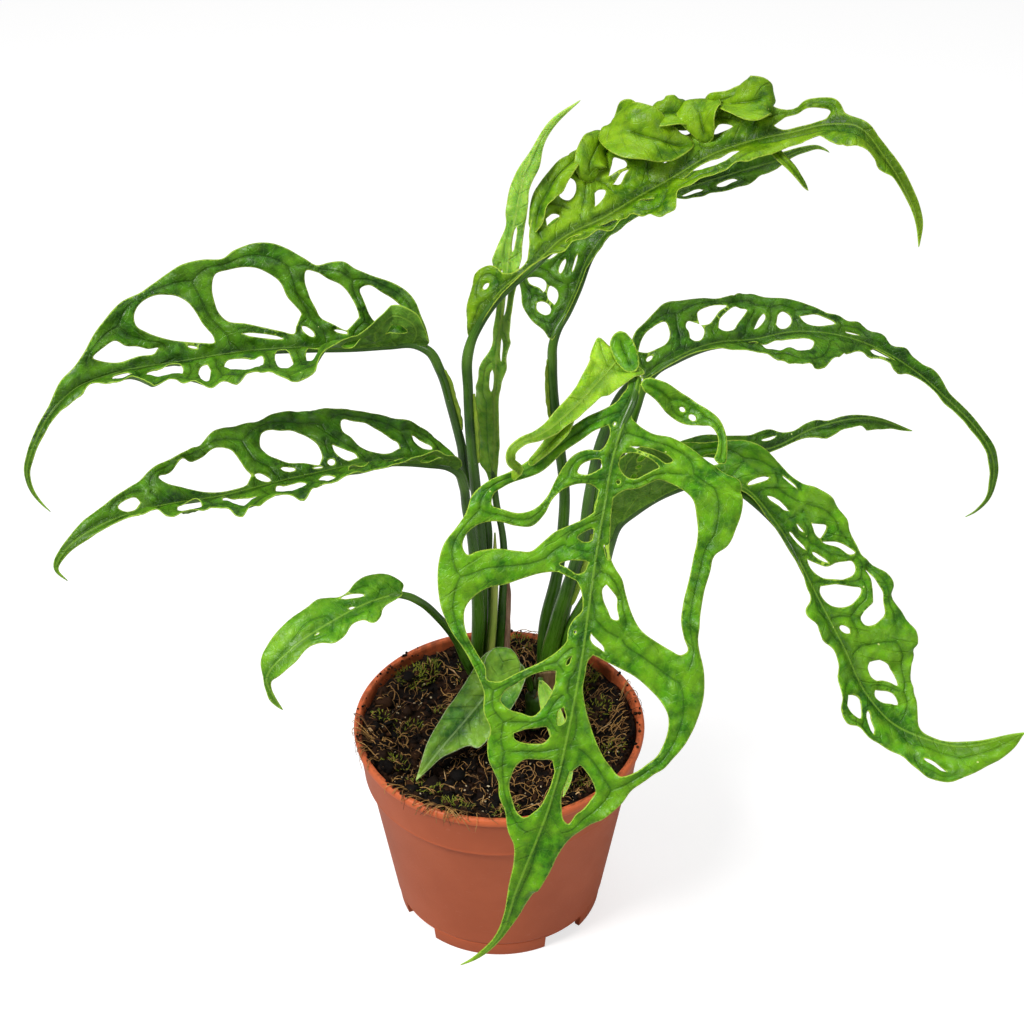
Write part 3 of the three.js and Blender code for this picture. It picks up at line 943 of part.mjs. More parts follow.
        [46, -2.6], [42.5, -6], [41, -11], [38.5, -14.5], [36.3, -18], [37, -22], [39, -27],
        [42, -31], [47, -33.5], [54, -35], [62, -35], [71, -34.5], [80, -33.6], [88, -34],
        [93, -35.8], [97.5, -37.6], [99, -35.5], [97.8, -31], [95, -24.5], [92, -19.5], [87, -15.8],
        [80, -12.6], [75, -10.5], [71, -7.3], [66, -4.6], [58, -3.6], [51, -2.6],
      ],
      [
        [77, -5.2], [78.7, -3.9], [82, -4.4], [86, -6.5], [89.5, -9], [89.5, -11], [85, -10.2],
        [81.5, -9.8], [79, -7.4],
      ],
      [
        [95.3, -2], [97.3, -1.8], [99, -3], [100.3, -5.3], [101.4, -7.8], [99.8, -7.4],
        [97.8, -5.2],
      ],
      [
        [102.7, -3.8], [105, -2.2], [110, -1.9], [115, -1.9], [121, -3.8], [127, -6.7],
        [133, -10.2], [138, -14], [141.3, -17.5], [143.7, -21.5], [142.5, -25], [139.5, -28.5],
        [136.5, -31.8], [131, -34.4], [125, -35.2], [119.5, -34.3], [115, -30.8], [111.5, -26],
        [108.3, -20.5], [106, -14], [104.3, -8.5],
      ],
      [
        [143.3, -6.8], [145, -10], [148, -13], [151, -14.8], [155, -13.4], [160, -10.5],
        [164.8, -8.6], [163.5, -6.2], [160, -4.3], [156, -3], [150, -3.2], [145, -4.2],
      ],
    ],
    ovals: [
      [20, 2.9, 1.6, 1.2, 0], [95.5, 3.8, 1.6, 1.2, 0], [40, -3.5, 1.8, 1.8, 0],
      [65.5, -3.2, 6, 0.9, -22],
    ],
    wave: [0, 30, 0, 40],
    // A broad sheet folded up from the leaf's left half, its fork, a lobe behind it and a twisted strip
    ribbons: [
      {
        midrib: [
          [45.2, -0.5, 266.7], [42.6, -3.4, 265.1], [39.2, -8.1, 263.8], [34.7, -13.2, 261.5],
          [29.5, -19.3, 258.6], [23.7, -24.5, 255.6], [17.9, -29, 253], [13.3, -32, 252],
          [8.6, -35, 251.8], [5.1, -37.5, 249.7], [4.8, -37, 245.1], [7.3, -35, 240.4], [5.1, -31.5, 234.2],
        ],
        half_widths: [11, 10, 7.6, 5.6, 4.2, 3.6, 2.5, 1.9, 1.6, 1.6, 1.6, 1.7, 1.7],
        facing: [0, -0.6, 0.8],
      },
      {
        midrib: [
          [26.2, -23.6, 255.8], [23.7, -25.5, 252], [19.8, -27.5, 247.8], [15.2, -29, 242.8],
          [11.2, -30, 238.8],
        ],
        half_widths: [1.8, 2.8, 2.5, 1.7, 1.2],
        facing: [0, -0.6, 0.8],
      },
      {
        midrib: [[49.2, -8, 264.2], [46.6, -1.6, 267.1], [44.8, 1.5, 271.1], [44.4, 3, 274.8]],
        half_widths: [2.2, 4.2, 4, 1.4],
        facing: [0, -0.7, 0.6],
      },
      {
        midrib: [
          [52, -10.3, 261.4], [59.5, -9.8, 256.8], [63.7, -9.4, 252.3], [69.3, -10.6, 248.7],
          [74.6, -13, 248.1], [78.7, -16, 247.4], [81.1, -20, 243.9], [80.9, -24, 240.5], [79.5, -28.6, 238],
        ],
        half_widths: [2.2, 3.6, 4.4, 4.5, 3.2, 1.9, 1.4, 1.7, 2.4],
        facing: [0, -0.85, 0.5],
      },
    ],
  },
  // The low uncut leaf over the soil
  low_front: {
    finish: LEAF_BLUISH,
    midrib: [
      [2.5, 1, 121], [-3.6, -5, 113], [-13.7, -13, 103.4], [-23.8, -21.7, 95.5], [-31.7, -30, 89.5],
    ],
    face: [[0, 0, -0.5, 0.85], [60, 0, -0.5, 0.85]],
    left: [[0, 5, -3], [60, 0, 0]],
    right: [[0, 5, -6], [60, 0, 0]],
    right_edge: [
      [0, 0.8], [-2.5, 2.6], [-5, 5], [-2, 8], [4, 10], [12, 10.2], [20, 9.4], [28, 9], [35, 7.8],
      [42, 6.3], [49, 4], [55, 1.5], [59, 0],
    ],
    left_edge: [
      [0, -0.8], [-2.5, -3], [-3.5, -6], [-1, -9.3], [4, -11], [12, -11.5], [20, -12], [28, -12],
      [33, -11.3], [34, -8.5], [40, -5], [45, -2.5], [52, -1.2], [59, 0],
    ],
    wave: [0.5, 15, 0, 11],
  },
  // The pale bract in front of the stems
  bract: {
    finish: LEAF_YOUNG,
    midrib: [
      [17, 2, 112], [20, -7, 109.5], [23.3, -18, 105], [26.3, -27.7, 99], [27.4, -36, 93.5],
      [24.8, -45, 89.5],
    ],
    face: [[0, -0.3, -0.8, 0.6], [60, -0.3, -0.8, 0.6]],
    left: [[0, 25, 0], [60, 10, 0]],
    right: [[0, 25, 0], [60, 10, 0]],
    right_edge: [[0, 0.5], [6, 3], [14, 4.2], [24, 4], [34, 3], [42, 2], [50, 0.5], [53, 0]],
    left_edge: [
      [0, -0.5], [6, -3], [14, -4], [24, -4.2], [34, -3.2], [42, -2.2], [50, -0.6], [53, 0],
    ],
    wave: [0.4, 14, 0, 4],
  },
};

// A ribbon is a narrow blade with its widths given along its midrib.
function ribbonShape({ midrib, half_widths, facing }) {
  const length = new LeafSurface({ midrib }).length;
  const stations = half_widths.map((w, i) => [(length * i) / (half_widths.length - 1), w]);
  const end = [length, 0];
  return {
    midrib,
    face: [[0, ...facing]],
    left: [[0, 5, 0]],
    right: [[0, 5, 0]],
    right_edge: [...stations.slice(0, -1), [length - 0.3, half_widths.at(-1)], end],
    left_edge: [...stations.slice(0, -1), [length - 0.3, half_widths.at(-1)], end].map(([s, d]) => [s, -d]),
    wave: [0, 1, 0, 1],
  };
}

// Blades, with the ribbons that grow from them fused on
for (const [name, leaf] of Object.entries(LEAVES)) {
  let blade = toSolid(bladeGeometry(leaf));
  for (const ribbon of leaf.ribbons || []) blade = blade.add(toSolid(bladeGeometry(ribbonShape(ribbon))));
  addPiece("blade_" + name, toGeometry(blade), leaf.finish);
}

// Petioles: tapering stalks from the stems to the blades, with the sheath wings that edge them
// Each row of a route is x, y, z and the radius there.

const PETIOLES = {
  top_left: {
    route: [
      [-4.2, 22.8, 97.5, 2.3],
      [-4.3, 22.6, 104, 2.3],
      [-4.8, 22, 132.8, 2.2],
      [-4.4, 21.5, 158.7, 2],
      [-4.8, 21, 178.7, 1.9],
      [-9, 20, 193.8, 1.85],
      [-12.4, 19, 202.5, 1.8],
      [-14.1, 17, 216.8, 1.8],
      [-17.6, 14, 236.3, 1.75],
      [-21.3, 10.5, 254.2, 1.8],
      [-24.4, 8.3, 266, 1.5],
    ],
    wing: { from: 0.74, to: 0.9, side: 1, width: 1.6, finish: PALE_GREEN },
  },
  middle_left: {
    route: [
      [-9.6, 12.4, 97.5, 2.6],
      [-9.5, 12.3, 104, 2.6],
      [-8.3, 11.5, 141, 2.5],
      [-9.2, 8, 166.2, 2.2],
      [-10.4, 5.5, 183, 2],
      [-12.1, 3, 197.1, 1.9],
      [-13, 0, 209.5, 1.8],
      [-13.9, -1.7, 218.2, 1.4],
    ],
  },
  low_left: {
    route: [
      [-5.6, 7.4, 97.5, 1.9],
      [-6, 7.2, 101, 1.9],
      [-11.8, 5, 115.3, 1.85],
      [-17, -3, 137.2, 1.7],
      [-23.5, -14, 157.4, 1.6],
      [-29.8, -22, 170.9, 1.5],
      [-35.6, -27.6, 179.5, 1.2],
    ],
  },
  arching: {
    route: [
      [-8.2, 18.4, 97.5, 2.6],
      [-8.2, 18.3, 104, 2.6],
      [-6.8, 17.5, 136.3, 2.5],
      [-7.2, 15.5, 177.3, 2.2],
      [-8.9, 14.3, 201.9, 2.1],
      [-10.2, 13.8, 220.2, 2],
      [-11, 13.3, 244.2, 1.9],
      [-11, 13, 258.7, 1.9],
      [-10.2, 13, 265.2, 1.4],
    ],
    wing: { from: 0.56, to: 0.74, side: 1, width: 1.6, finish: PALE_GREEN },
  },
  back: {
    route: [
      [18.4, 24.4, 97.5, 2.6],
      [18.4, 24.6, 104, 2.6],
      [19.3, 28, 120.2, 2.6],
      [24.1, 33, 142.4, 2.5],
      [26.4, 37, 164.3, 2.3],
      [26.9, 40, 177, 2.2],
      [24.9, 44, 196.7, 2.1],
      [22.5, 48, 215.4, 2],
      [21.6, 51, 232.1, 1.9],
      [21, 51.9, 242.2, 1.4],
    ],
    wing: { from: 0.72, to: 0.92, side: -1, width: 1.6, finish: PALE_GREEN },
  },
  unfurling: {
    route: [
      [-0.4, 17.2, 97.5, 2.1],
      [-0.3, 17.4, 104, 2.1],
      [1.4, 20, 134.4, 1.8],
      [1.7, 22, 171.1, 1.4],
      [-1.9, 23, 190.8, 1.1],
    ],
    wing: { from: 0.06, to: 0.6, side: 1, width: 2.4, finish: DRY_BROWN },
  },
  right_upper: {
    route: [
      [25.4, 22.8, 97.5, 2.5],
      [25.4, 22.8, 104, 2.5],
      [26.5, 22, 127.5, 2.4],
      [31.7, 21, 153.8, 2.3],
      [35, 20.5, 169.1, 2.2],
      [38.9, 20, 188.8, 2.1],
      [44.4, 20, 203, 2],
      [49.4, 20, 216.9, 1.9],
      [52.8, 20, 231.4, 1.8],
      [54.8, 20, 243.1, 1.4],
    ],
    wing: { from: 0.48, to: 0.66, side: 1, width: 3, finish: PALE_GREEN },
  },
  right_long: {
    route: [
      [27.4, 15.6, 97.5, 2.5],
      [27.4, 15.5, 104, 2.5],
      [29.1, 13.5, 129, 2.4],
      [35.9, 11, 148.3, 2.2],
      [41.8, 9.3, 163.5, 2],
      [43.8, 8.4, 176.9, 1.5],
    ],
  },
  right_small: {
    route: [
      [23.6, 28.6, 97.5, 1.7],
      [23.6, 28.7, 102, 1.7],
      [25.5, 30, 121.2, 1.6],
      [37.3, 30, 152.2, 1.5],
      [48.1, 30, 174.6, 1.4],
      [61.3, 30, 199.3, 1.1],
    ],
  },
  hanging: {
    route: [
      [19.6, 16.4, 97.5, 3.7],
      [19.7, 16.3, 104, 3.7],
      [23.8, 14, 131.7, 3.3],
      [30, 9, 162.8, 2.7],
      [33.1, 6.5, 179.2, 2.5],
      [35.1, 2, 204.5, 2.3],
      [39.4, -3.5, 234.4, 2.1],
      [46.5, -5.6, 254.5, 1.9],
      [50.5, -6.9, 262, 1.4],
    ],
    wing: { from: 0.3, to: 0.52, side: 1, width: 2.6, finish: PALE_GREEN },
  },
  low_front: {
    route: [
      [13.2, 9, 100.5, 1.6],
      [13, 8.9, 103, 1.6],
      [10, 7, 113, 1.5],
      [5.5, 3.4, 119.4, 1.4],
      [3.2, 1.8, 120.4, 1],
    ],
  },
  bract: {
    route: [
      [16.6, 8, 100.5, 1.3],
      [16.6, 7.9, 103, 1.3],
      [17, 5.5, 109.5, 1.2],
      [17, 2.8, 111.6, 0.8],
    ],
  },
};

const SPEAR = [
  [-4.2, 13.8, 97.5, 1.7],
  [-4.1, 13.9, 104, 1.7],
  [-1.9, 15.8, 137.9, 1.5],
  [-1.4, 16.8, 157.3, 1.3],
  [-1.3, 17.4, 175, 0.4],
];

class Stalk {
  constructor(route) {
    this.curve = new THREE.CatmullRomCurve3(route.map(([x, y, z]) => new THREE.Vector3(x, y, z)));
    const stations = route.map((row, i) => i / (route.length - 1));
    this.radii = route.map((row, i) => [stations[i], row[3]]);
    this.length = this.curve.getLength();
  }

  radius(t) {
    return between(this.radii, t, 1);
  }

  geometry() {
    const steps = Math.max(6, Math.ceil(this.length / PETIOLE_STEP));
    const positions = [];
    const faces = [];
    let side = new THREE.Vector3(1, 0, 0);
    for (let i = 0; i <= steps; i++) {
      const u = i / steps;
      const t = this.curve.getUtoTmapping(u);
      const centre = this.curve.getPoint(t);
      const along = i === 0 ? new THREE.Vector3(0, 0, 1) : this.curve.getTangent(t);
      side = side.addScaledVector(along, -side.dot(along)).normalize();
      const front = along.clone().cross(side);
      for (let k = 0; k < PETIOLE_SIDES; k++) {
        const angle = (k * 2 * Math.PI) / PETIOLE_SIDES;
        const at = centre.clone().addScaledVector(side, this.radius(t) * Math.cos(angle));
        positions.push(at.addScaledVector(front, this.radius(t) * Math.sin(angle)).toArray());
      }
    }
    const ends = [positions.push(this.curve.getPoint(0).toArray()) - 1];
    ends.push(positions.push(this.curve.getPoint(1).toArray()) - 1);
    for (let k = 0; k < PETIOLE_SIDES; k++) {
      const next = (k + 1) % PETIOLE_SIDES;
      faces.push([ends[0], next, k]);
      for (let i = 0; i < steps; i++) {
        const [a, b] = [i * PETIOLE_SIDES + k, i * PETIOLE_SIDES + next];
        faces.push([a, b, b + PETIOLE_SIDES], [a, b + PETIOLE_SIDES, a + PETIOLE_SIDES]);
      }
      faces.push([ends[1], steps * PETIOLE_SIDES + k, steps * PETIOLE_SIDES + next]);
    }
    return fromRows(positions, faces);
  }

  // A thin strip that stands off the stalk's side and runs along it, widest at its middle.
  wingGeometry({ from, to, side, width }) {
    const positions = [];
    const faces = [];
    for (let i = 0; i <= WING_STEPS; i++) {
      const t = from + ((to - from) * i) / WING_STEPS;
      const along = this.curve.getTangent(t);
      const out = new THREE.Vector3(side, -0.35, 0);
      out.addScaledVector(along, -out.dot(along)).normalize();
      const thick = along.clone().cross(out).multiplyScalar(WING_THICKNESS / 2);
      const inner = this.radius(t) + FIT_GAP + 0.2;
      const reach = inner + 0.5 + width * Math.sin((Math.PI * (i + 0.6)) / (WING_STEPS + 1.2));
      for (const [far, sign] of [[inner, 1], [reach, 1], [reach, -1], [inner, -1]]) {
        const at = this.curve.getPoint(t).addScaledVector(out, far).addScaledVector(thick, sign);
        positions.push(at.toArray());
      }
    }
    for (let k = 0; k < 4; k++) {
      const next = (k + 1) % 4;
      for (let i = 0; i < WING_STEPS; i++) {
        const [a, b] = [i * 4 + k, i * 4 + next];
        faces.push([a, a + 4, b + 4], [a, b + 4, b]);
      }
    }
    const last = WING_STEPS * 4;
    faces.push([0, 1, 2], [0, 2, 3], [last, last + 2, last + 1], [last, last + 3, last + 2]);
    return fromRows(positions, faces);
  }
}

for (const [name, { route, wing }] of Object.entries(PETIOLES)) {
  const stalk = new Stalk(route);
  addPiece("petiole_" + name, stalk.geometry(), PETIOLE_GREEN);
  if (wing) addPiece("sheath_" + name, stalk.wingGeometry(wing), wing.finish);
}
addPiece("young_spear", new Stalk(SPEAR).geometry(), PALE_GREEN);

// The origin goes to the bottom centre of the whole plant's box.
const root = new THREE.Group();
const box = new THREE.Box3().setFromObject(plant, true);
const middle = box.getCenter(new THREE.Vector3());
plant.position.set(-middle.x, -middle.y, 0);
root.add(plant);

export default root;
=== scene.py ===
# %% [markdown]
# # A potted monstera obliqua
# This lesson dresses a measured model of a house plant: lacy leaves on long stalks in a
# terracotta-coloured nursery pot. The measured solids give every place and size. Here each of them
# gets a finer mesh and a finish of its own, made in code, so that nothing is painted from a picture.

# %% Tools, and the measured model
import itertools
import math
import bmesh
import bpy
import numpy as np
from mathutils import Matrix, Vector, kdtree
from mathutils.geometry import delaunay_2d_cdt


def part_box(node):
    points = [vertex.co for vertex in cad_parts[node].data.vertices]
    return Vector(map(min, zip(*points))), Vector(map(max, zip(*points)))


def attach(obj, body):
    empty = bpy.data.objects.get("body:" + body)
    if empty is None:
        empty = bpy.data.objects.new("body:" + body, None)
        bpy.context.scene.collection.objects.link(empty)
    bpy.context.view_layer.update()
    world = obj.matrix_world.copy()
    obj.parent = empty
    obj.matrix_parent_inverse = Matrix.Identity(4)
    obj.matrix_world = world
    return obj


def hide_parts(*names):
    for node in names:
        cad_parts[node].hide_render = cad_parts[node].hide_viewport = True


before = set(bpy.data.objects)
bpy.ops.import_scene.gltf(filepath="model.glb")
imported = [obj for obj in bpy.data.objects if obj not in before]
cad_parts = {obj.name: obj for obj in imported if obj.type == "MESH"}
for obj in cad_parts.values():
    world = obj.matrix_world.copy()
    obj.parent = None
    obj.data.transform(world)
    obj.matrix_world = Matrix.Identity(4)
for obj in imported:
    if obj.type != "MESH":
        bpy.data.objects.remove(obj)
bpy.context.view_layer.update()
print("measured nodes:", len(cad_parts))

# %% [markdown]
# Every number below is in millimetres from the pot's own axis at floor height, because that is how
# a plant is measured. The model's origin is the middle of the whole plant's box, so one small
# helper moves the points over and turns them into metres.

# %% From the pot's axis to the model
POT_LOW, POT_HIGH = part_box("pot")
AXIS = np.array([(POT_LOW[0] + POT_HIGH[0]) / 2, (POT_LOW[1] + POT_HIGH[1]) / 2, 0.0])


def in_model(points):
    """Points in mm from the pot's axis, as metres in the model."""
    return np.asarray(points, float).reshape(-1, 3) / 1000 + AXIS


print("pot axis at", np.round(AXIS * 1000, 2), "mm")

# %% [markdown]
# A leaf, a stalk and a soil crumb are all made the same way: a list of points, a list of faces and
# some marks that a finish can read later, such as how far a point is from the leaf's edge. Writing
# meshes from numbers keeps each piece exactly where it was measured.

# %% Make a piece from points and faces
def make_piece(name, points, faces, finish, slot, nodes=(), marks=None, sharp=None):
    mesh = bpy.data.meshes.new(name)
    mesh.from_pydata(in_model(points).tolist(), [], faces)
    mesh.validate()
    mesh.shade_smooth()
    if sharp:
        mesh.set_sharp_from_angle(angle=math.radians(sharp))
    for mark, values in (marks or {}).items():
        values = np.asarray(values, np.float32)
        kind, key = ("FLOAT", "value") if values.ndim == 1 else ("FLOAT_VECTOR", "vector")
        mesh.attributes.new(mark, kind, "POINT").data.foreach_set(key, values.ravel())
    mesh.materials.append(finish)
    piece = bpy.data.objects.new(name, mesh)
    bpy.context.scene.collection.objects.link(piece)
    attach(piece, "root")
    if nodes:
        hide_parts(*nodes)
    print(name, len(mesh.vertices), "points", len(mesh.polygons), "faces")
    return piece


# %% [markdown]
# Nothing on a plant is quite even. Smooth random numbers on a lattice give swells and dents of a
# chosen size, and they come out the same on every run because they depend only on the place.

# %% Smooth random swells
def swells(points, size, seed=0):
    """Smooth random numbers from -1 to 1, one a point, that change over about `size`."""
    q = np.asarray(points, float) / size + 13.7 * seed
    whole = np.floor(q).astype(np.int64)
    part = q - whole
    part = part * part * (3 - 2 * part)
    total = np.zeros(len(q))
    for corner in itertools.product((0, 1), repeat=q.shape[1]):
        at = (whole + corner).astype(np.uint64)
        mixed = at[:, 0] * np.uint64(374761393) + at[:, 1] * np.uint64(668265263)
        if q.shape[1] == 3:
            mixed += at[:, 2] * np.uint64(2246822519)
        mixed = (mixed ^ (mixed >> np.uint64(13))) * np.uint64(1274126177)
        mixed = (mixed ^ (mixed >> np.uint64(16))) & np.uint64(0xFFFF)
        weight = np.prod(np.where(corner, part, 1 - part), axis=1)
        total += weight * (mixed.astype(float) / 32767.5 - 1)
    return total


print("swells:", np.round(swells([[0.0, 0], [3, 4], [9, 2]], 5), 2))

# %% [markdown]
# A stalk, a midrib and a root are each a few measured points with a smooth line through them. The
# line leaves every point in the direction between its neighbours, weighted by how near they are.

# %% A smooth line through points
def smooth_line(points, per=16):
    p = np.asarray(points, float)
    u = np.concatenate([[0], np.cumsum(np.linalg.norm(np.diff(p, axis=0), axis=1).clip(1e-6))])
    slope = np.diff(p, axis=0) / np.diff(u)[:, None]
    turn = [slope[0]]
    for i in range(1, len(p) - 1):
        before, after = u[i] - u[i - 1], u[i + 1] - u[i]
        turn.append((slope[i - 1] * after + slope[i] * before) / (before + after))
    turn.append(slope[-1])
    line = []
    for i in range(len(p) - 1):
        h = u[i + 1] - u[i]
        for t in np.arange(per) / per:
            line.append(p[i] * (2 * t**3 - 3 * t**2 + 1) + turn[i] * h * (t**3 - 2 * t**2 + t)
                        + p[i + 1] * (3 * t**2 - 2 * t**3) + turn[i + 1] * h * (t**3 - t**2))
    return np.array(line + [p[-1]])


def smooth_loop(points, per=6):
    """The same through points that close into a ring, such as the rim of a hole in a leaf."""
    p = np.asarray(points, float)
    around = np.vstack([p[-2:], p, p[:2]])
    return smooth_line(around, per)[2 * per:-2 * per - 1][:len(p) * per]


def arc_length(line):
    """How far along a line of points each of them lies."""
    return np.concatenate([[0], np.cumsum(np.linalg.norm(np.diff(line, axis=0), axis=1))])


def spaced(line, step):
    """Points at even steps along a line of points."""
    arc = arc_length(line)
    at = np.linspace(0, arc[-1], max(2, int(round(arc[-1] / step)) + 1))
    return np.stack([np.interp(at, arc, line[:, k]) for k in range(line.shape[1])], axis=1)


def from_table(rows, s, column):
    """A column of a table, read at s, which is its first column."""
    rows = np.asarray(rows, float)
    return np.interp(s, rows[:, 0], rows[:, column])


print("a line through 3 points, 16 steps each:", len(smooth_line([(0, 0), (5, 2), (9, 0)])), "points")

# %% [markdown]
# Measured points come in long tables. To keep them short they are written as text: the table's name,
# a colon, and rows of numbers between commas, with a semicolon before the next table.

# %% Read measured tables
def read_tables(text):
    for table in text.split(";"):
        name, numbers = table.split(":")
        yield name.strip(), [tuple(float(v) for v in row.split()) for row in numbers.split(",")]


print("a table reads as", dict(read_tables("edge: 0 1, 2.5 3")))

# %% [markdown]
# The camera stands where the photographer stood: in front, a little under 90 cm away and looking
# down by 35 degrees, with a lens long enough to keep the pot's sides nearly parallel.

# %% Camera
PITCH = math.radians(34.99)
YAW = math.radians(0.37)
CAMERA_AT = (1.3, -626.7, 635.9)
FOCAL_LENGTH = 70.3125
level = math.cos(PITCH)
looking = Vector((math.sin(YAW) * level, math.cos(YAW) * level, -math.sin(PITCH)))
rightward = Vector((math.cos(YAW), -math.sin(YAW), 0))
upward = rightward.cross(looking)
lens = bpy.data.cameras.new("studio camera")
lens.lens = FOCAL_LENGTH
lens.sensor_width = 36
lens.clip_end = 20
camera = bpy.data.objects.new("studio camera", lens)
camera.matrix_world = Matrix.Translation(in_model(CAMERA_AT)[0]) @ Matrix(
    (rightward, upward, -looking)).transposed().to_4x4()
bpy.context.scene.collection.objects.link(camera)
bpy.context.scene.camera = camera
print("camera at", [round(v, 3) for v in camera.location])

# %% [markdown]
# White sweep, soft light. A weak white world lights everything evenly. A soft lamp over the left
# shoulder gives the gloss on the leaves and the lighter left side of the pot, one from the top
# lights their backs, and a weak one from the right keeps the shadows open. The floor is matt. To the
# camera alone it also glows, as a lit sweep does, so that it comes out white and still holds the
# pot's soft grey shadow.

# %% Light and floor
WORLD_STRENGTH = 0.25
FLOOR_REACH = 6
FLOOR_GLOW = 0.67
scene = bpy.context.scene
scene.view_settings.view_transform = "Standard"
world = bpy.data.worlds.new("white studio")
world.use_nodes = True
sky = world.node_tree.nodes["Background"]
sky.inputs["Color"].default_value = (1, 1, 1, 1)
sky.inputs["Strength"].default_value = WORLD_STRENGTH
scene.world = world


def soft_lamp(name, at, towards, width, watts, tint=(1, 1, 1)):
    data = bpy.data.lights.new(name, "AREA")
    data.shape = "DISK"
    data.size = width
    data.energy = watts
    data.color = tint
    lamp = bpy.data.objects.new(name, data)
    turn = (Vector(towards) - Vector(at)).to_track_quat("-Z", "Y").to_matrix().to_4x4()
    lamp.matrix_world = Matrix.Translation(Vector(at)) @ turn
    scene.collection.objects.link(lamp)


soft_lamp("key over the left shoulder", (-0.75, -0.55, 1.25), (0, 0, 0.15), 0.5, 19, (1, 0.99, 0.97))
soft_lamp("top", (0.25, 0.35, 1.5), (0, 0, 0.1), 0.8, 6)
soft_lamp("weak from the right", (1.1, -0.9, 0.7), (0, 0, 0.12), 0.5, 4.5)

floor_mesh = bpy.data.meshes.new("white floor")
floor_corners = [(x * FLOOR_REACH, y * FLOOR_REACH, 0) for x, y in ((-1, -1), (1, -1), (1, 1), (-1, 1))]
floor_mesh.from_pydata(floor_corners, [], [(0, 1, 2, 3)])
floor = bpy.data.objects.new("white floor", floor_mesh)
scene.collection.objects.link(floor)
floor_paint = bpy.data.materials.new("matt white floor")
floor_paint.use_nodes = True
floor_nodes = floor_paint.node_tree
sweep = floor_nodes.nodes["Principled BSDF"]
sweep.inputs["Base Color"].default_value = (0.5, 0.5, 0.503, 1)
sweep.inputs["Roughness"].default_value = 0.9
sweep.inputs["Specular IOR Level"].default_value = 0.1
sweep.inputs["Emission Color"].default_value = (1, 1, 1, 1)
seen = floor_nodes.nodes.new("ShaderNodeLightPath")
glow = floor_nodes.nodes.new("ShaderNodeMath")
glow.operation = "MULTIPLY"
glow.inputs[1].default_value = FLOOR_GLOW
floor_nodes.links.new(seen.outputs["Is Camera Ray"], glow.inputs[0])
floor_nodes.links.new(glow.outputs[0], sweep.inputs["Emission Strength"])
floor_mesh.materials.append(floor_paint)
# %% [markdown]
# ## Finishes
# Three effects come back in many of the finishes: cloudy change of colour, small pale specks, and
# the marks of a leaf, which are its veins, its light margin, its creases and its swells, where the leaf
# finish also paints shade and highlight. Each is a node group with named inputs, built once, so that
# every finish can use it with values of its own.

# %% Helpers for node trees
def new_group(name, inputs, outputs):
    """An empty node group, what comes into it and what leaves it."""
    group = bpy.data.node_groups.new(name, "ShaderNodeTree")
    for title, kind, value in inputs:
        socket = group.interface.new_socket(title, in_out="INPUT", socket_type="NodeSocket" + kind)
        if value is not None:
            socket.default_value = value
    for title in outputs:
        group.interface.new_socket(title, in_out="OUTPUT", socket_type="NodeSocketFloat")
    entry, leave = group.nodes.new("NodeGroupInput"), group.nodes.new("NodeGroupOutput")
    return group, entry.outputs, leave.inputs


def add(tree, kind, values=None, **settings):
    """A new node; a value is a number to hold, or another node's output to join."""
    node = tree.nodes.new("ShaderNode" + kind)
    for key, value in settings.items():
        setattr(node, key, value)
    for key, value in (values or {}).items():
        if isinstance(value, bpy.types.NodeSocket):
            tree.links.new(value, node.inputs[key])
        else:
            node.inputs[key].default_value = value
    return node


def blend_colours(tree, share, low, high):
    return add(tree, "Mix", {0: share, 6: low, 7: high}, data_type="RGBA").outputs[2]


def ramp_between(tree, value, low, high, start=0.0, end=1.0):
    """value from low..high to start..end, held at both ends."""
    values = {"Value": value, "From Min": low, "From Max": high, "To Min": start, "To Max": end}
    return add(tree, "MapRange", values, clamp=True, interpolation_type="SMOOTHSTEP").outputs["Result"]


def calc(tree, operation, a, b=0.0):
    return add(tree, "Math", {0: a, 1: b}, operation=operation).outputs[0]


def times(tree, a, b):
    return calc(tree, "MULTIPLY", a, b)


def noise(tree, where, scale, detail=2.0, rough=0.5):
    values = {"Vector": where, "Scale": scale, "Detail": detail, "Roughness": rough}
    return add(tree, "TexNoise", values).outputs


print("a new group comes back with its way in and its way out")

# %% [markdown]
# Clouds are plain noise with its contrast raised about the middle, which gives soft patches with
# clear ground between them.

# %% Cloudy change of colour
clouds, entry, leave = new_group(
    "clouds", [("Place", "Vector", None), ("Size", "Float", 10.0), ("Contrast", "Float", 1.0)], ["Mask"])
cloud = noise(clouds, entry["Place"], calc(clouds, "DIVIDE", 1.0, entry["Size"]), 4.0, 0.55)["Fac"]
strong = times(clouds, calc(clouds, "SUBTRACT", cloud, 0.5), times(clouds, entry["Contrast"], 2.2))
clouds.links.new(ramp_between(clouds, calc(clouds, "ADD", strong, 0.5), 0.0, 1.0), leave["Mask"])
print("clouds:", len(clouds.nodes), "nodes")

# %% [markdown]
# Specks are the middles of Voronoi cells. Each cell's random colour decides how large its speck is,
# so that some cells have none.

# %% Small specks
specks, entry, leave = new_group(
    "specks", [("Place", "Vector", None), ("Spacing", "Float", 4.0), ("Width", "Float", 0.12)], ["Mask"])
cells = add(specks, "TexVoronoi", {"Vector": entry["Place"],
                                   "Scale": calc(specks, "DIVIDE", 1.0, entry["Spacing"])}).outputs
chance = add(specks, "SeparateColor", {"Color": cells["Color"]}).outputs[0]
reach = times(specks, entry["Width"], ramp_between(specks, chance, 0.35, 1.0))
specks.links.new(calc(specks, "LESS_THAN", cells["Distance"], reach), leave["Mask"])
print("specks:", len(specks.nodes), "nodes")
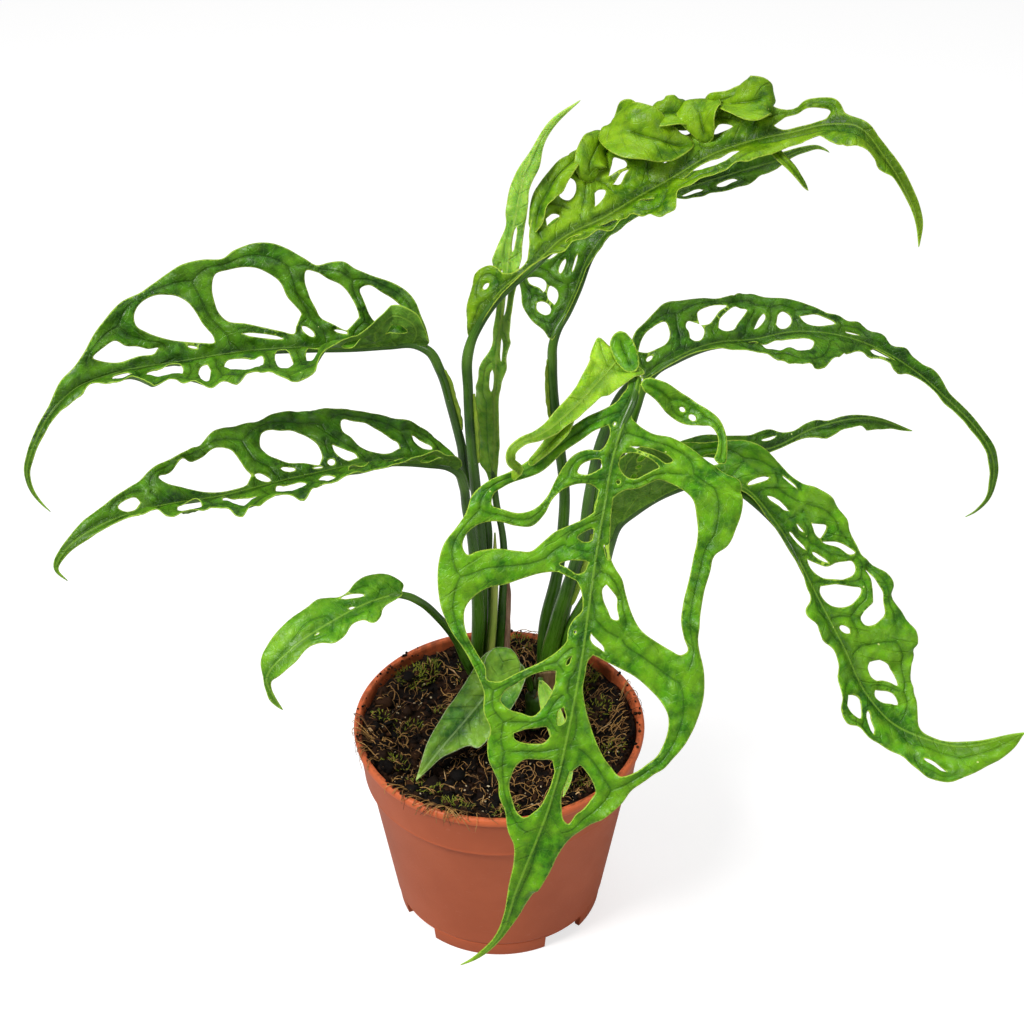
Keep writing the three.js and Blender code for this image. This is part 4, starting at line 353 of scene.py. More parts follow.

# %% [markdown]
# On a monstera's leaf the side vein of every strip runs down its middle, halfway between two holes,
# and the margin is a thin light line. The leaf's mesh will carry three distances in millimetres: to
# the nearest edge, to the middle of the strip and to the midrib. The group turns them into masks.
# Some of these masks place painted light in the leaf finish: painted shade in the furrows, along the
# strip middles and side veins and beside the midrib, a painted highlight on the quilted swells, and a
# light margin that is partly the leaf's own paler edge and partly a painted highlight.

# %% Marks of a leaf
leaf_marks, entry, leave = new_group(
    "leaf_marks",
    [("Edge", "Float", None), ("Middle", "Float", None), ("Midrib", "Float", None),
     ("Flat", "Vector", None), ("Margin Width", "Float", 0.4), ("Vein Width", "Float", 0.55)],
    ["Margin", "Vein", "Furrow Shade", "Rib", "Midrib Shade", "Net", "Quilt", "Side Vein", "Height"])


def near_to(distance, full, none):
    """1 where a distance is under `full`, 0 where it is over `none`."""
    return ramp_between(leaf_marks, distance, full, none, 1.0, 0.0)


wobble = noise(leaf_marks, entry["Flat"], 0.35)
uneven = ramp_between(leaf_marks, wobble["Fac"], 0.3, 0.7, 0.55, 1.35)
warped = add(leaf_marks, "VectorMath", {0: entry["Flat"], 1: wobble["Color"]}, operation="ADD").outputs[0]
net = add(leaf_marks, "TexVoronoi", {"Vector": warped, "Scale": 0.42}, feature="DISTANCE_TO_EDGE").outputs
quilt = add(leaf_marks, "TexVoronoi", {"Vector": warped, "Scale": 0.27, "Smoothness": 0.6},
            feature="SMOOTH_F1").outputs
page = add(leaf_marks, "SeparateXYZ", {"Vector": warped}).outputs
sideways = calc(leaf_marks, "ABSOLUTE", page["Y"])
slant = calc(leaf_marks, "SUBTRACT", page["X"], times(leaf_marks, sideways, 0.85))
patchy = ramp_between(leaf_marks, noise(leaf_marks, entry["Flat"], 0.12)["Fac"], 0.4, 0.65)
# The furrow and midrib-flank masks only place painted shade. The vein and side-vein masks are grooves in the
# relief and painted shade on the upper face, the quilt mask raises the swells and places a painted highlight
# on them, and the margin mask is partly a painted highlight.
masks = {
    "Margin": near_to(entry["Edge"], times(leaf_marks, entry["Margin Width"], 0.35),
                      times(leaf_marks, entry["Margin Width"], uneven)),
    "Vein": near_to(entry["Middle"], 0.05, entry["Vein Width"]),
    "Furrow Shade": near_to(entry["Middle"], 0.2, times(leaf_marks, entry["Vein Width"], 4.0)),
    "Rib": near_to(entry["Midrib"], 0.25, 0.6),
    "Midrib Shade": near_to(entry["Midrib"], 0.9, 4.5),
    "Net": near_to(net["Distance"], 0.0, 0.09),
    "Quilt": near_to(quilt["Distance"], 0.05, 0.6),
    "Side Vein": times(leaf_marks, near_to(calc(leaf_marks, "PINGPONG", slant, 3.1), 0.05, 0.6), patchy),
}
height = times(leaf_marks, noise(leaf_marks, entry["Flat"], 1.6, 3.0)["Fac"], 0.2)
for title, weight in (("Quilt", 0.6), ("Vein", -0.5), ("Side Vein", -0.6), ("Net", -0.16), ("Rib", 0.3)):
    height = calc(leaf_marks, "ADD", height, times(leaf_marks, masks[title], weight))
for title, mask in {**masks, "Height": height}.items():
    leaf_marks.links.new(mask, leave[title])
print("node groups:", [g.name for g in bpy.data.node_groups])

# %% [markdown]
# Every finish is put together in the same way. It starts from a plain colour, lays others over it
# through masks, and ends with a roughness and a relief. Four small helpers do this, so that what is
# left to write for a finish is only what makes it that finish.

# %% Helpers for finishes
def new_finish(name):
    paint = bpy.data.materials.new(name)
    paint.use_nodes = True
    return paint, paint.node_tree, paint.node_tree.nodes["Principled BSDF"]


def named(tree, name, output="Fac"):
    return add(tree, "Attribute", attribute_name=name).outputs[output]


def rgb(code):
    """A colour as a screen shows it, such as 3A7A2A, in the linear numbers a shader works in."""
    parts = [int(code[i:i + 2], 16) / 255 for i in (0, 2, 4)]
    return tuple(c / 12.92 if c <= 0.04045 else ((c + 0.055) / 1.055) ** 2.4 for c in parts) + (1.0,)


def place(tree, group, **values):
    values = {k.replace("_", " "): v for k, v in values.items()}
    return add(tree, "Group", values, node_tree=group).outputs


def cloudy(tree, where, size, contrast):
    return place(tree, clouds, Place=where, Size=size, Contrast=contrast)["Mask"]


def dotted(tree, where, spacing, width):
    return place(tree, specks, Place=where, Spacing=spacing, Width=width)["Mask"]


def lay_over(tree, colour, *layers):
    """Each layer is a mask, the share of it that shows, and its colour."""
    for mask, share, over in layers:
        colour = blend_colours(tree, times(tree, mask, share), colour, over)
    return colour


def put_on(tree, skin, colour, rough, height, strength, distance):
    """Join a finish's colour, roughness and relief to its shader."""
    dent = add(tree, "Bump", {"Strength": strength, "Distance": distance, "Height": height})
    tree.links.new(colour, skin.inputs["Base Color"])
    tree.links.new(rough, skin.inputs["Roughness"])
    tree.links.new(dent.outputs["Normal"], skin.inputs["Normal"])


def let_light_in(skin, weight, radius, scale):
    skin.inputs["Subsurface Weight"].default_value = weight
    skin.inputs["Subsurface Radius"].default_value = radius
    skin.inputs["Subsurface Scale"].default_value = scale


print("a leaf green in linear numbers:", [round(c, 3) for c in rgb("52980F")])

# %% [markdown]
# A leaf's two faces differ: the upper one is deep green and has a soft wax gloss, the lower one is
# paler, greyer and more matt. The finish reads from the mesh which face it is on, and mixes two
# greens in clouds. On the upper face it lays painted shade into the furrows, along the middle of each
# strip and the side veins and beside the midrib, and a painted highlight on the quilted swells. The
# rib is paler on both faces and the veins on the lower one, and the light margin is partly the leaf's
# own colour and partly a painted highlight. A little light goes into the blade and comes out again,
# which a weak subsurface value gives.

# %% Leaf finish
def leaf_finish(name, codes, gloss=0.38, fresh_share=0.5, midrib_shade_share=0.5, side_vein_shade_share=0.12, glow=0.12):
    """Codes are the light, deep and fresh green, the under side, the veins and the margin."""
    light, deep, fresh, under, vein, margin = [rgb(code) for code in codes.split()]
    # dark: the deep green at less than half its brightness, used only as painted shade in the creases and
    # beside the midrib.
    dark = tuple(c * 0.45 for c in deep[:3]) + (1,)
    paint, tree, skin = new_finish(name)
    flat = named(tree, "flat", "Vector")
    marks = place(tree, leaf_marks, Edge=named(tree, "edge"), Middle=named(tree, "middle"),
                  Midrib=named(tree, "midrib"), Flat=flat)
    broad = cloudy(tree, flat, 14.0, 1.6)
    small = cloudy(tree, flat, 4.0, 1.5)
    # Upper face: a painted highlight on the quilted swells, and painted shade in the furrows, beside the
    # midrib, along the side veins and along each strip's middle.
    upper = lay_over(
        tree, blend_colours(tree, small, light, deep), (broad, fresh_share, fresh),
        (marks["Quilt"], 0.35, fresh), (marks["Furrow Shade"], 0.35, deep), (marks["Midrib Shade"], midrib_shade_share, dark),
        (marks["Net"], 0.12, fresh), (marks["Side Vein"], side_vein_shade_share, dark), (marks["Vein"], 0.4, dark),
        (marks["Rib"], 0.4, vein))
    lower = lay_over(
        tree, blend_colours(tree, small, under, blend_colours(tree, 0.5, under, deep)),
        (marks["Net"], 0.3, vein), (marks["Vein"], 0.6, vein), (marks["Rib"], 0.75, vein))
    below = ramp_between(tree, named(tree, "side"), 0.3, 0.7)
    # The margin is partly the leaf's own paler edge and partly a painted highlight where the edge catches
    # light.
    colour = lay_over(
        tree, blend_colours(tree, below, upper, lower), (marks["Margin"], 0.75, margin),
        (named(tree, "tip"), 0.55, fresh), (dotted(tree, flat, 7.0, 0.055), 0.75, rgb("D9E68A")))
    rough = calc(tree, "ADD", times(tree, small, 0.1), times(tree, below, 0.1))
    put_on(tree, skin, colour, calc(tree, "ADD", rough, gloss - 0.04), marks["Height"], 0.7, 0.0006)
    skin.inputs["Specular IOR Level"].default_value = 0.24
    let_light_in(skin, glow, (0.5, 1.0, 0.05), 0.001)
    return paint


LEAF_FINISHES = {
    "mid": leaf_finish("hanging leaf green", "52980F 246006 86BE1C 6A9A2A 90C03C B4D848"),
    "fresh": leaf_finish("light leaf green", "62A41C 36780E 90C42C 86A83A 98C848 B8DC54"),
    "dark": leaf_finish("old leaf green", "3F780C 163F03 689C16 5C8C22 7CA832 A4C644", fresh_share=0.45),
    "yellow": leaf_finish("arching leaf green", "5C900A 285A04 96C018 6C9A26 8DB434 B2D044",
                          fresh_share=0.55, midrib_shade_share=0.7),
    "young": leaf_finish("young leaf green", "A2CE4C 62A22C AAD452 B8DE60 B2D060 C6DE6C",
                         midrib_shade_share=0.1, glow=0.5),
    "bluish": leaf_finish("low leaf green", "5C9A34 2C641C 9CC83A 8AAA5A A4C67C CCE0A4",
                          gloss=0.34, side_vein_shade_share=0.4),
    "sheet": leaf_finish("turned-over sheet green", "92C41E 649A18 B0D838 84B428 9CC23C C4E060",
                         gloss=0.36, glow=0.3),
}
print("leaf finishes:", sorted(LEAF_FINISHES))
# %% [markdown]
# ## Leaves
# A leaf is drawn flat first, as on paper: s runs along its midrib and d sideways, positive on its
# right. Then the paper is bent: the midrib follows a measured line in space, the two halves lift
# and curl about it, and a ripple runs along the margin. Drawing flat keeps the holes easy to place.

# %% Bend a flat leaf into space
LOOK_AROUND = 1.5
RIGHT_SIDE_LAG = 0.9


def unit(vectors):
    return vectors / np.linalg.norm(vectors, axis=1, keepdims=True).clip(1e-9)


class LeafSurface:
    def __init__(self, shape):
        self.shape = shape
        self.line = smooth_line(shape["midrib"], 16)
        self.arc = arc_length(self.line)
        self.length = self.arc[-1]

    def on_midrib(self, s):
        s = np.clip(s, 0, self.length)
        return np.stack([np.interp(s, self.arc, self.line[:, k]) for k in range(3)], axis=1)

    def frame(self, s):
        """Directions along the midrib, up from the blade and across it."""
        at = np.clip(s, 0, self.length)
        along = unit(self.on_midrib(at + LOOK_AROUND) - self.on_midrib(at - LOOK_AROUND))
        up = np.stack([from_table(self.shape["face"], at, k) for k in (1, 2, 3)], axis=1)
        up = unit(up - along * np.sum(up * along, axis=1, keepdims=True))
        return along, up, np.cross(along, up)

    def point(self, s, d):
        """Where a point of the flat leaf goes in space."""
        s, d = np.asarray(s, float), np.asarray(d, float)
        at = np.clip(s, 0, self.length)
        along, up, across = self.frame(s)
        right = d > 0
        lift, curl = [np.radians(np.where(right, from_table(self.shape["right"], at, k),
                                          from_table(self.shape["left"], at, k))) for k in (1, 2)]
        curl = np.where(np.abs(curl) < 1e-5, 1e-5, curl) / 10
        reach = np.abs(d)
        out = (np.sin(lift + curl * reach) - np.sin(lift)) / curl
        rise = -(np.cos(lift + curl * reach) - np.cos(lift)) / curl
        height, wavelength, phase, full = self.shape["wave"]
        lag = np.where(right, RIGHT_SIDE_LAG, 0)
        rise = rise + height * np.minimum(1.5, (reach / full) ** 2) * np.sin(
            2 * math.pi * s / wavelength + phase + lag)
        base = self.on_midrib(s) + along * (s - at)[:, None]
        return base + across * np.where(right, out, -out)[:, None] + up * rise[:, None]

    def upper_side(self, s, d, e=0.4):
        ds = self.point(s + e, d) - self.point(s - e, d)
        dd = self.point(s, d + e) - self.point(s, d - e)
        return unit(np.cross(dd, ds))


print("the direction of a midrib is taken over", 2 * LOOK_AROUND, "mm")

# %% [markdown]
# The outline and the holes come from tables of measured points. An oval hole needs only its middle,
# its two lengths and its turn. A point is on the sheet when it lies inside the outline and outside
# every hole. Delaunay triangulation fills the sheet, with all these rings as lines it must keep.

# %% Outline and holes of a flat leaf
OVAL_CORNERS = 10


def oval(s, d, long, wide, turn):
    a, t = math.radians(turn), np.arange(OVAL_CORNERS) * 2 * math.pi / OVAL_CORNERS
    x, y = long / 2 * np.cos(t), wide / 2 * np.sin(t)
    return np.stack([s + x * math.cos(a) - y * math.sin(a), d + x * math.sin(a) + y * math.cos(a)], axis=1)


def spaced_ring(ring, step):
    return spaced(np.vstack([ring, ring[:1]]), step)[:-1]


def flat_rings(shape, step):
    right = smooth_line(shape["right_edge"], 6)
    left = smooth_line(shape["left_edge"], 6)
    rings = [np.vstack([right, left[::-1][1:-1]])]
    rings += [smooth_loop(oval(*hole), 4) for hole in shape.get("ovals", [])]
    rings += [smooth_loop(cut, 6) for cut in shape.get("cuts", [])]
    return [spaced_ring(ring, step) for ring in rings]


def inside(ring, points):
    x, y = points[:, 0], points[:, 1]
    odd = np.zeros(len(points), bool)
    for (x0, y0), (x1, y1) in zip(ring, np.roll(ring, -1, axis=0)):
        crosses = (y0 > y) != (y1 > y)
        odd ^= crosses & (x < (x1 - x0) * (y - y0) / (y1 - y0 + 1e-12) + x0)
    return odd


def on_sheet(rings, points):
    ok = inside(rings[0], points)
    for hole in rings[1:]:
        ok &= ~inside(hole, points)
    return ok


def triangulate(rings, points=(), same_point=1e-5):
    """A sheet's points and triangles."""
    corners, lines = [], []
    for ring in rings:
        first = len(corners)
        corners += [Vector(p) for p in ring]
        lines += [(first + i, first + (i + 1) % len(ring)) for i in range(len(ring))]
    corners += [Vector(p) for p in points]
    made = delaunay_2d_cdt(corners, lines, [], 0, same_point, False)
    flat = np.array([tuple(v) for v in made[0]])
    faces = np.array([tuple(f) for f in made[2]])
    return flat, faces[on_sheet(rings, flat[faces].mean(axis=1))]


print("an oval hole has", len(smooth_loop(oval(0, 0, 4, 3, 0), 4)), "points before it is evened out")

# %% [markdown]
# The side veins need the middle of every strip. For a point on the leaf, take the nearest point of
# any edge, and the nearest edge point on the opposite side: the strip's middle is where the two are
# equally far. This works for any hole, so no vein has to be drawn by hand.

# %% Distances to the nearest edge and to the strip's middle
OPPOSITE = -0.45
NO_OTHER_SIDE = 60.0
AT_ONCE = 400


def strip_distances(points, edges):
    """How far each point is from the edge and from the middle, and which way the edge lies."""
    near, middle, towards = [np.empty((0,)), np.empty((0,)), np.empty((0, 2))]
    for start in range(0, len(points), AT_ONCE):
        gap = edges[None] - points[start:start + AT_ONCE, None]
        far = np.sqrt(np.sum(gap * gap, axis=2)).clip(1e-6)
        first = np.argmin(far, axis=1)
        row = np.arange(len(first))
        direction = gap[row, first] / far[row, first][:, None]
        facing = np.einsum("ijk,ik->ij", gap, direction) / far
        across = np.where(facing < OPPOSITE, far, NO_OTHER_SIDE).min(axis=1)
        near = np.concatenate([near, far[row, first]])
        middle = np.concatenate([middle, (across - far[row, first]) / 2])
        towards = np.vstack([towards, direction])
    return near, middle, towards


print("in a strip 4 mm wide, 0.5 mm from its middle:",
      [value.tolist() for value in strip_distances(np.array([[0, 0.5]]), np.array([[0, 2.0], [0, -2.0]]))])

# %% [markdown]
# The flat leaf is filled with an even grid of points, with extra rows along the midrib. Points near
# a strip's middle are pulled onto it, so that its crease comes out as one clean line. Where that
# brings two points too close together, the first of them is left out.

# %% Fill a flat leaf with triangles
GRID = 0.95
RIB_ROWS = (0.0, 0.45, 0.95, 1.6)
CREASE_FROM_EDGE = (0.9, 11)
CREASE_FROM_RIB = 2.6


def grid_points(low, high, grid):
    """Points in even triangles over a box, apart from the rows beside the midrib."""
    s, d = np.meshgrid(np.arange(low[0], high[0], grid), np.arange(low[1], high[1], grid * 0.866))
    s = s + (np.arange(len(s)) % 2)[:, None] * grid / 2
    field = np.stack([s.ravel(), d.ravel()], axis=1)
    return field[np.abs(field[:, 1]) > RIB_ROWS[-1] + 0.35]


def not_crowded(points, count, apart):
    """Without those of the first `count` points that have a later one close by."""
    tree = kdtree.KDTree(len(points))
    for i, (a, b) in enumerate(points):
        tree.insert((a, b, 0), i)
    tree.balance()
    alone = [all(j <= i for _, j, _ in tree.find_range((a, b, 0), apart))
             for i, (a, b) in enumerate(points[:count])]
    return points[np.array(alone + [True] * (len(points) - count))]


def fill_flat(shape, surface, grid=GRID):
    rings = flat_rings(shape, 0.85 * grid)
    edges = np.vstack([spaced_ring(ring, 0.5) for ring in rings])

    def keep(points, margin):
        points = points[on_sheet(rings, points)]
        near, middle, towards = strip_distances(points, edges)
        ok = near > margin
        return points[ok], near[ok], middle[ok], towards[ok]

    field, near, middle, towards = keep(grid_points(edges.min(axis=0), edges.max(axis=0), grid), 0.5 * grid)
    pull = (middle < 0.55 * grid) & (np.abs(field[:, 1]) > CREASE_FROM_RIB)
    pull &= (near > CREASE_FROM_EDGE[0]) & (near < CREASE_FROM_EDGE[1])
    field[pull] -= towards[pull] * middle[pull][:, None]
    along = np.arange(grid / 2, surface.length, grid)
    rows = [np.stack([along, np.full(len(along), v)], axis=1) for row in RIB_ROWS for v in ({row, -row})]
    points = np.vstack([field, keep(np.vstack(rows), 0.4 * grid)[0]])
    flat, faces = triangulate(rings, not_crowded(points, len(field), 0.42 * grid))
    a, b, c = [flat[faces[:, k]] for k in range(3)]
    area = (b - a)[:, 0] * (c - a)[:, 1] - (b - a)[:, 1] * (c - a)[:, 0]
    faces = np.where((area > 0)[:, None], faces, faces[:, ::-1])[np.abs(area) > 1e-6]
    used = np.unique(faces)
    new = np.full(len(flat), -1)
    new[used] = np.arange(len(used))
    return flat[used], new[faces], edges


print("extra rows beside the midrib at", RIB_ROWS, "mm")

# %% [markdown]
# A real blade isn't smooth. It swells a little between its veins, sinks along them, its margins are
# gently ruffled, and the midrib is a low ridge above and a strong one below. These lifts are a few
# tenths of a millimetre, up to two at the margin, but they are what catches the light.

# %% Relief of a blade
SHEET = 0.55
DOME, CREASE, CREASE_WIDE = 0.38, 0.34, 0.55
SWELL, SWELL_SIZE = 0.85, 7.5
FINE_SWELL, FINE_SIZE = 0.14, 3.0
RUFFLE, RUFFLE_SIZE, RUFFLE_REACH = 2.2, 5.0, 2.0
RIDGE, RIDGE_WIDE = 0.30, 0.55
GROOVE, GROOVE_AT, GROOVE_WIDE = 0.16, 1.15, 0.4
KEEL, KEEL_WIDE = 1.25, 0.75


def bell(distance, wide):
    return np.exp(-(distance / wide) ** 2)


def relief(flat, near, middle, ruffle, seed, is_blade):
    """How far the sheet's middle layer lifts off the smooth surface."""
    beside = np.abs(flat[:, 1])
    strip = (near + np.maximum(middle, 0)).clip(0.3)
    off_rib = np.clip((beside - 1.0) / 2.5, 0, 1) if is_blade else np.ones(len(flat))
    lift = DOME * np.sin(math.pi * (near / strip).clip(0, 1)) * np.clip(strip / 4, 0.2, 1) * off_rib
    lift -= CREASE * bell(middle, CREASE_WIDE) * np.clip(strip / 3, 0, 1) * off_rib
    lift += SWELL * swells(flat, SWELL_SIZE, seed + 1) * np.clip(near / 2, 0, 1) * off_rib
    lift += FINE_SWELL * swells(flat, FINE_SIZE, seed + 2) * off_rib
    ruffles = ruffle * swells(flat, RUFFLE_SIZE, seed + 3) * np.exp(-near / RUFFLE_REACH)
    return lift + ruffles * np.clip((beside - 1) / 4, 0, 1)


def midrib_form(s, d, length):
    """The ridge above and the keel below, which both fade towards the tip."""
    fading = np.clip(1 - s / length, 0.15, 1)
    ridge = fading * (RIDGE * bell(d, RIDGE_WIDE) - GROOVE * bell(np.abs(d) - GROOVE_AT, GROOVE_WIDE))
    return ridge, KEEL * np.clip(1 - s / length, 0, 1) ** 0.6 * bell(d, KEEL_WIDE)


print("ridge and keel at a leaf's foot:", [round(float(h), 2) for h in midrib_form(0.0, 0.0, 100.0)], "mm")

# %% [markdown]
# The sheet gets its two faces, and a rim between them that stands out a little, so that the margin
# is round and not a knife cut. A leaf with ribbons is several such sheets in one mesh. Every point
# carries what the finish reads: edge, middle, midrib, side, tip and its place on the flat leaf.

# %% Make a leaf
RIM_OUT = 0.2
RIBBON_GRID = 0.8
FAR_FROM_RIB = 9.0


def loose_edges(faces):
    """The edges that only one triangle has, in the order in which they are met."""
    edges = dict.fromkeys(edge for a, b, c in faces for edge in ((a, b), (b, c), (c, a)))
    return [(a, b) for a, b in edges if (b, a) not in edges]


def make_leaf(name, shape, finish, slot, nodes=(), ruffle=RUFFLE, seed=0, extra=()):
    points, faces, marks = [], [], {k: [] for k in ("flat", "edge", "middle", "midrib", "side", "tip")}
    for part, form in enumerate((shape,) + tuple(extra)):
        is_blade = part == 0
        surface = LeafSurface(form)
        flat, tops, edges = fill_flat(form, surface, GRID if is_blade else RIBBON_GRID)
        s, d, count = flat[:, 0], flat[:, 1], len(flat)
        near, middle, _ = strip_distances(flat, edges)
        up = surface.upper_side(s, d)
        rise = up * relief(flat, near, middle, ruffle, seed, is_blade)[:, None]
        ridge, keel = midrib_form(s, d, surface.length) if is_blade else (0, 0)
        thick = SHEET / 2 * np.clip(0.55 + near / 2, 0.6, 1)
        base = surface.point(s, d) + rise
        upper = base + up * (thick + ridge)[:, None]
        lower = base - up * (thick + keel * np.clip(near / 0.8, 0, 1))[:, None]
        tops = tops[:, ::-1].tolist()
        rim_edges = loose_edges(tops)
        rim = sorted({v for edge in rim_edges for v in edge})
        at_rim = {v: i for i, v in enumerate(rim)}
        outward = np.zeros((len(rim), 2))
        for a, b in rim_edges:
            run = flat[b] - flat[a]
            side = np.array([-run[1], run[0]]) / max(1e-9, np.linalg.norm(run))
            outward[at_rim[a]] += side
            outward[at_rim[b]] += side
        outward = RIM_OUT * unit(outward)
        mid = surface.point(s[rim] + outward[:, 0], d[rim] + outward[:, 1]) + rise[rim]
        first = sum(len(p) for p in points)
        points += [upper, lower, mid]
        new = tops + [(a + count, c + count, b + count) for a, b, c in tops]
        to_rim = {v: 2 * count + i for v, i in at_rim.items()}
        new += [(b, a, to_rim[a], to_rim[b]) for a, b in rim_edges]
        new += [(to_rim[b], to_rim[a], a + count, b + count) for a, b in rim_edges]
        faces += [tuple(first + v for v in face) for face in new]
        tip = np.clip(s / surface.length * 4 - 3, 0, 1) ** 2 * is_blade
        beside = np.abs(d) if is_blade else np.full(count, FAR_FROM_RIB)
        page = np.stack([s + (400.0 * part + 37.0 * seed), d, np.full(count, 3.0 * seed)], axis=1)
        middle = np.maximum(middle, 0)
        for key, value in (("middle", middle), ("midrib", beside), ("tip", tip), ("flat", page)):
            marks[key] += [value, value, value[rim]]
        marks["edge"] += [near, near, np.zeros(len(rim))]
        marks["side"] += [np.zeros(count), np.ones(count), np.full(len(rim), 0.5)]
    marks = {key: np.concatenate(value) for key, value in marks.items()}
    return make_piece(name, np.vstack(points), faces, finish, slot, nodes, marks)


print("a leaf is", SHEET, "mm thick, on a grid of", GRID, "mm")

# %% [markdown]
# The twelve leaves follow, each as its tables. A row of `midrib` is x, y, z. A row of `face` is s and
# the direction the upper face looks there. Rows of `left` and `right` are s, the lift of that half
# and its curl in degrees per centimetre. The edges are rows of s and d, a cut is a closed line of
# them, and a row of `ovals` is a hole's middle, its two lengths and its turn. `wave` is the ripple's
# height, its wavelength, its phase and the reach at which it is full.

# %% A measured leaf
LEAVES = {}


def measured_leaf(leaf, text):
    shape = dict(read_tables(text))
    shape["cuts"] = [rows for name, rows in read_tables(text) if name == "cut"]
    shape["wave"] = shape["wave"][0]
    LEAVES[leaf] = shape
    print(leaf, "leaf:", len(shape["cuts"]) + len(shape.get("ovals", [])), "holes")


# %% Top left leaf
# arched, its front half folded up, its back half turned to the front.
measured_leaf("top_left", """
midrib: -25 8 267, -39 6 268, -52 3 269, -89 -4 271, -112 -11 271, -136 -22 272, -148 -29 270,
  -155 -35 265, -160 -39 258, -163 -42 252, -165 -43 245, -164 -44 238, -161 -45 233, -158 -46 230;
face: 0 0 -0.36 0.93, 128 0 -0.36 0.93, 140 -0.1 -0.45 0.85, 150 -0.3 -0.7 0.5, 160 -0.4 -0.9 0.1,
  182 -0.2 -0.95 0.1;
left: 0 75 15, 15 80 20, 28 60 5, 37 55 0, 44 34 0, 53 28 0, 66 34 0, 84 27 0, 97 33 0, 106 26 0,
  116 45 0, 126 40 0, 140 10 0, 182 0 0;
right: 0 42 -2, 135 42 -2, 145 20 0, 160 0 0, 182 0 0;
right_edge: 0 1, 1 5, 3 10, 5 15, 8 19, 14 23, 20 25, 25 27, 30 30, 35 30.6, 40 29.8, 45 32.5, 50 35.3,
  55 37.2, 61 38, 66 36.8, 70 34, 76 34, 83 33.4, 90 31.5, 96 28.5, 100 26, 107 23.3, 114 17.5, 120 12,
  126 6.8, 133 4.5, 139 2.2, 148 1.6, 160 1.3, 172 0.8, 182 0;
left_edge: 0 -1, 2 -9, 6 -16, 12 -19, 20 -17, 27 -14, 33 -16, 40 -23, 47 -29, 53 -31, 58 -28, 64 -26,
  72 -27, 80 -27, 86 -26, 91 -22, 98 -20, 105 -20, 111 -15, 117 -10, 124 -6.5, 132 -4.5, 140 -3, 150 -1.8,
  160 -1.4, 172 -0.8, 182 0;
cut: 9 12, 12 16, 17 19.5, 21.5 21.7, 24 20.5, 23.5 17, 22 12.5, 19 8, 14 7, 10 8.5;
cut: 25 10, 26 14, 28.5 19, 31 22, 36 25, 40 27.5, 44 28, 44.5 24, 43.5 19, 41.5 14.5, 39.5 10.8, 35 8,
  29 5.5;
cut: 46 12, 48 15, 50.5 18, 53 24, 57 27.5, 60 29.5, 64 30.7, 69 30.2, 73 29, 75 24, 75 19, 74 15,
  71.5 11.5, 66 10, 60 8, 54 6.2, 48.5 5.2, 48 8;
cut: 80 12, 81.5 16, 84 20.5, 87 23.3, 92 24.7, 97 24.5, 101 22.5, 104 18.5, 104 14.5, 101 12, 95 9,
  87 6.5, 82 5.3, 77 4.8, 77.5 8.3;
cut: 97 6, 101 6.3, 104.5 7.8, 108 8.6, 111 11.3, 115 10.2, 120 7.6, 117 5.4, 112 3.3, 105 4, 98 4.6;
ovals: 44 5.8 6 2.6 40, 32 5.3 5.5 1.5 15, 60 5 15 1.8 12, 85 4.4 4 1.2 20, 23.7 4.9 3 1.2 -30,
  13 -9 9 6 0, 29 -7.5 8 5 0, 43 -9 6 10 15, 54 -12 7 15 0, 69 -12 15 14 0, 84 -13 5 14 10, 98 -8 14 8 0,
  113 -5.5 8 5 0;
wave: 0.5 26 0.4 24""")

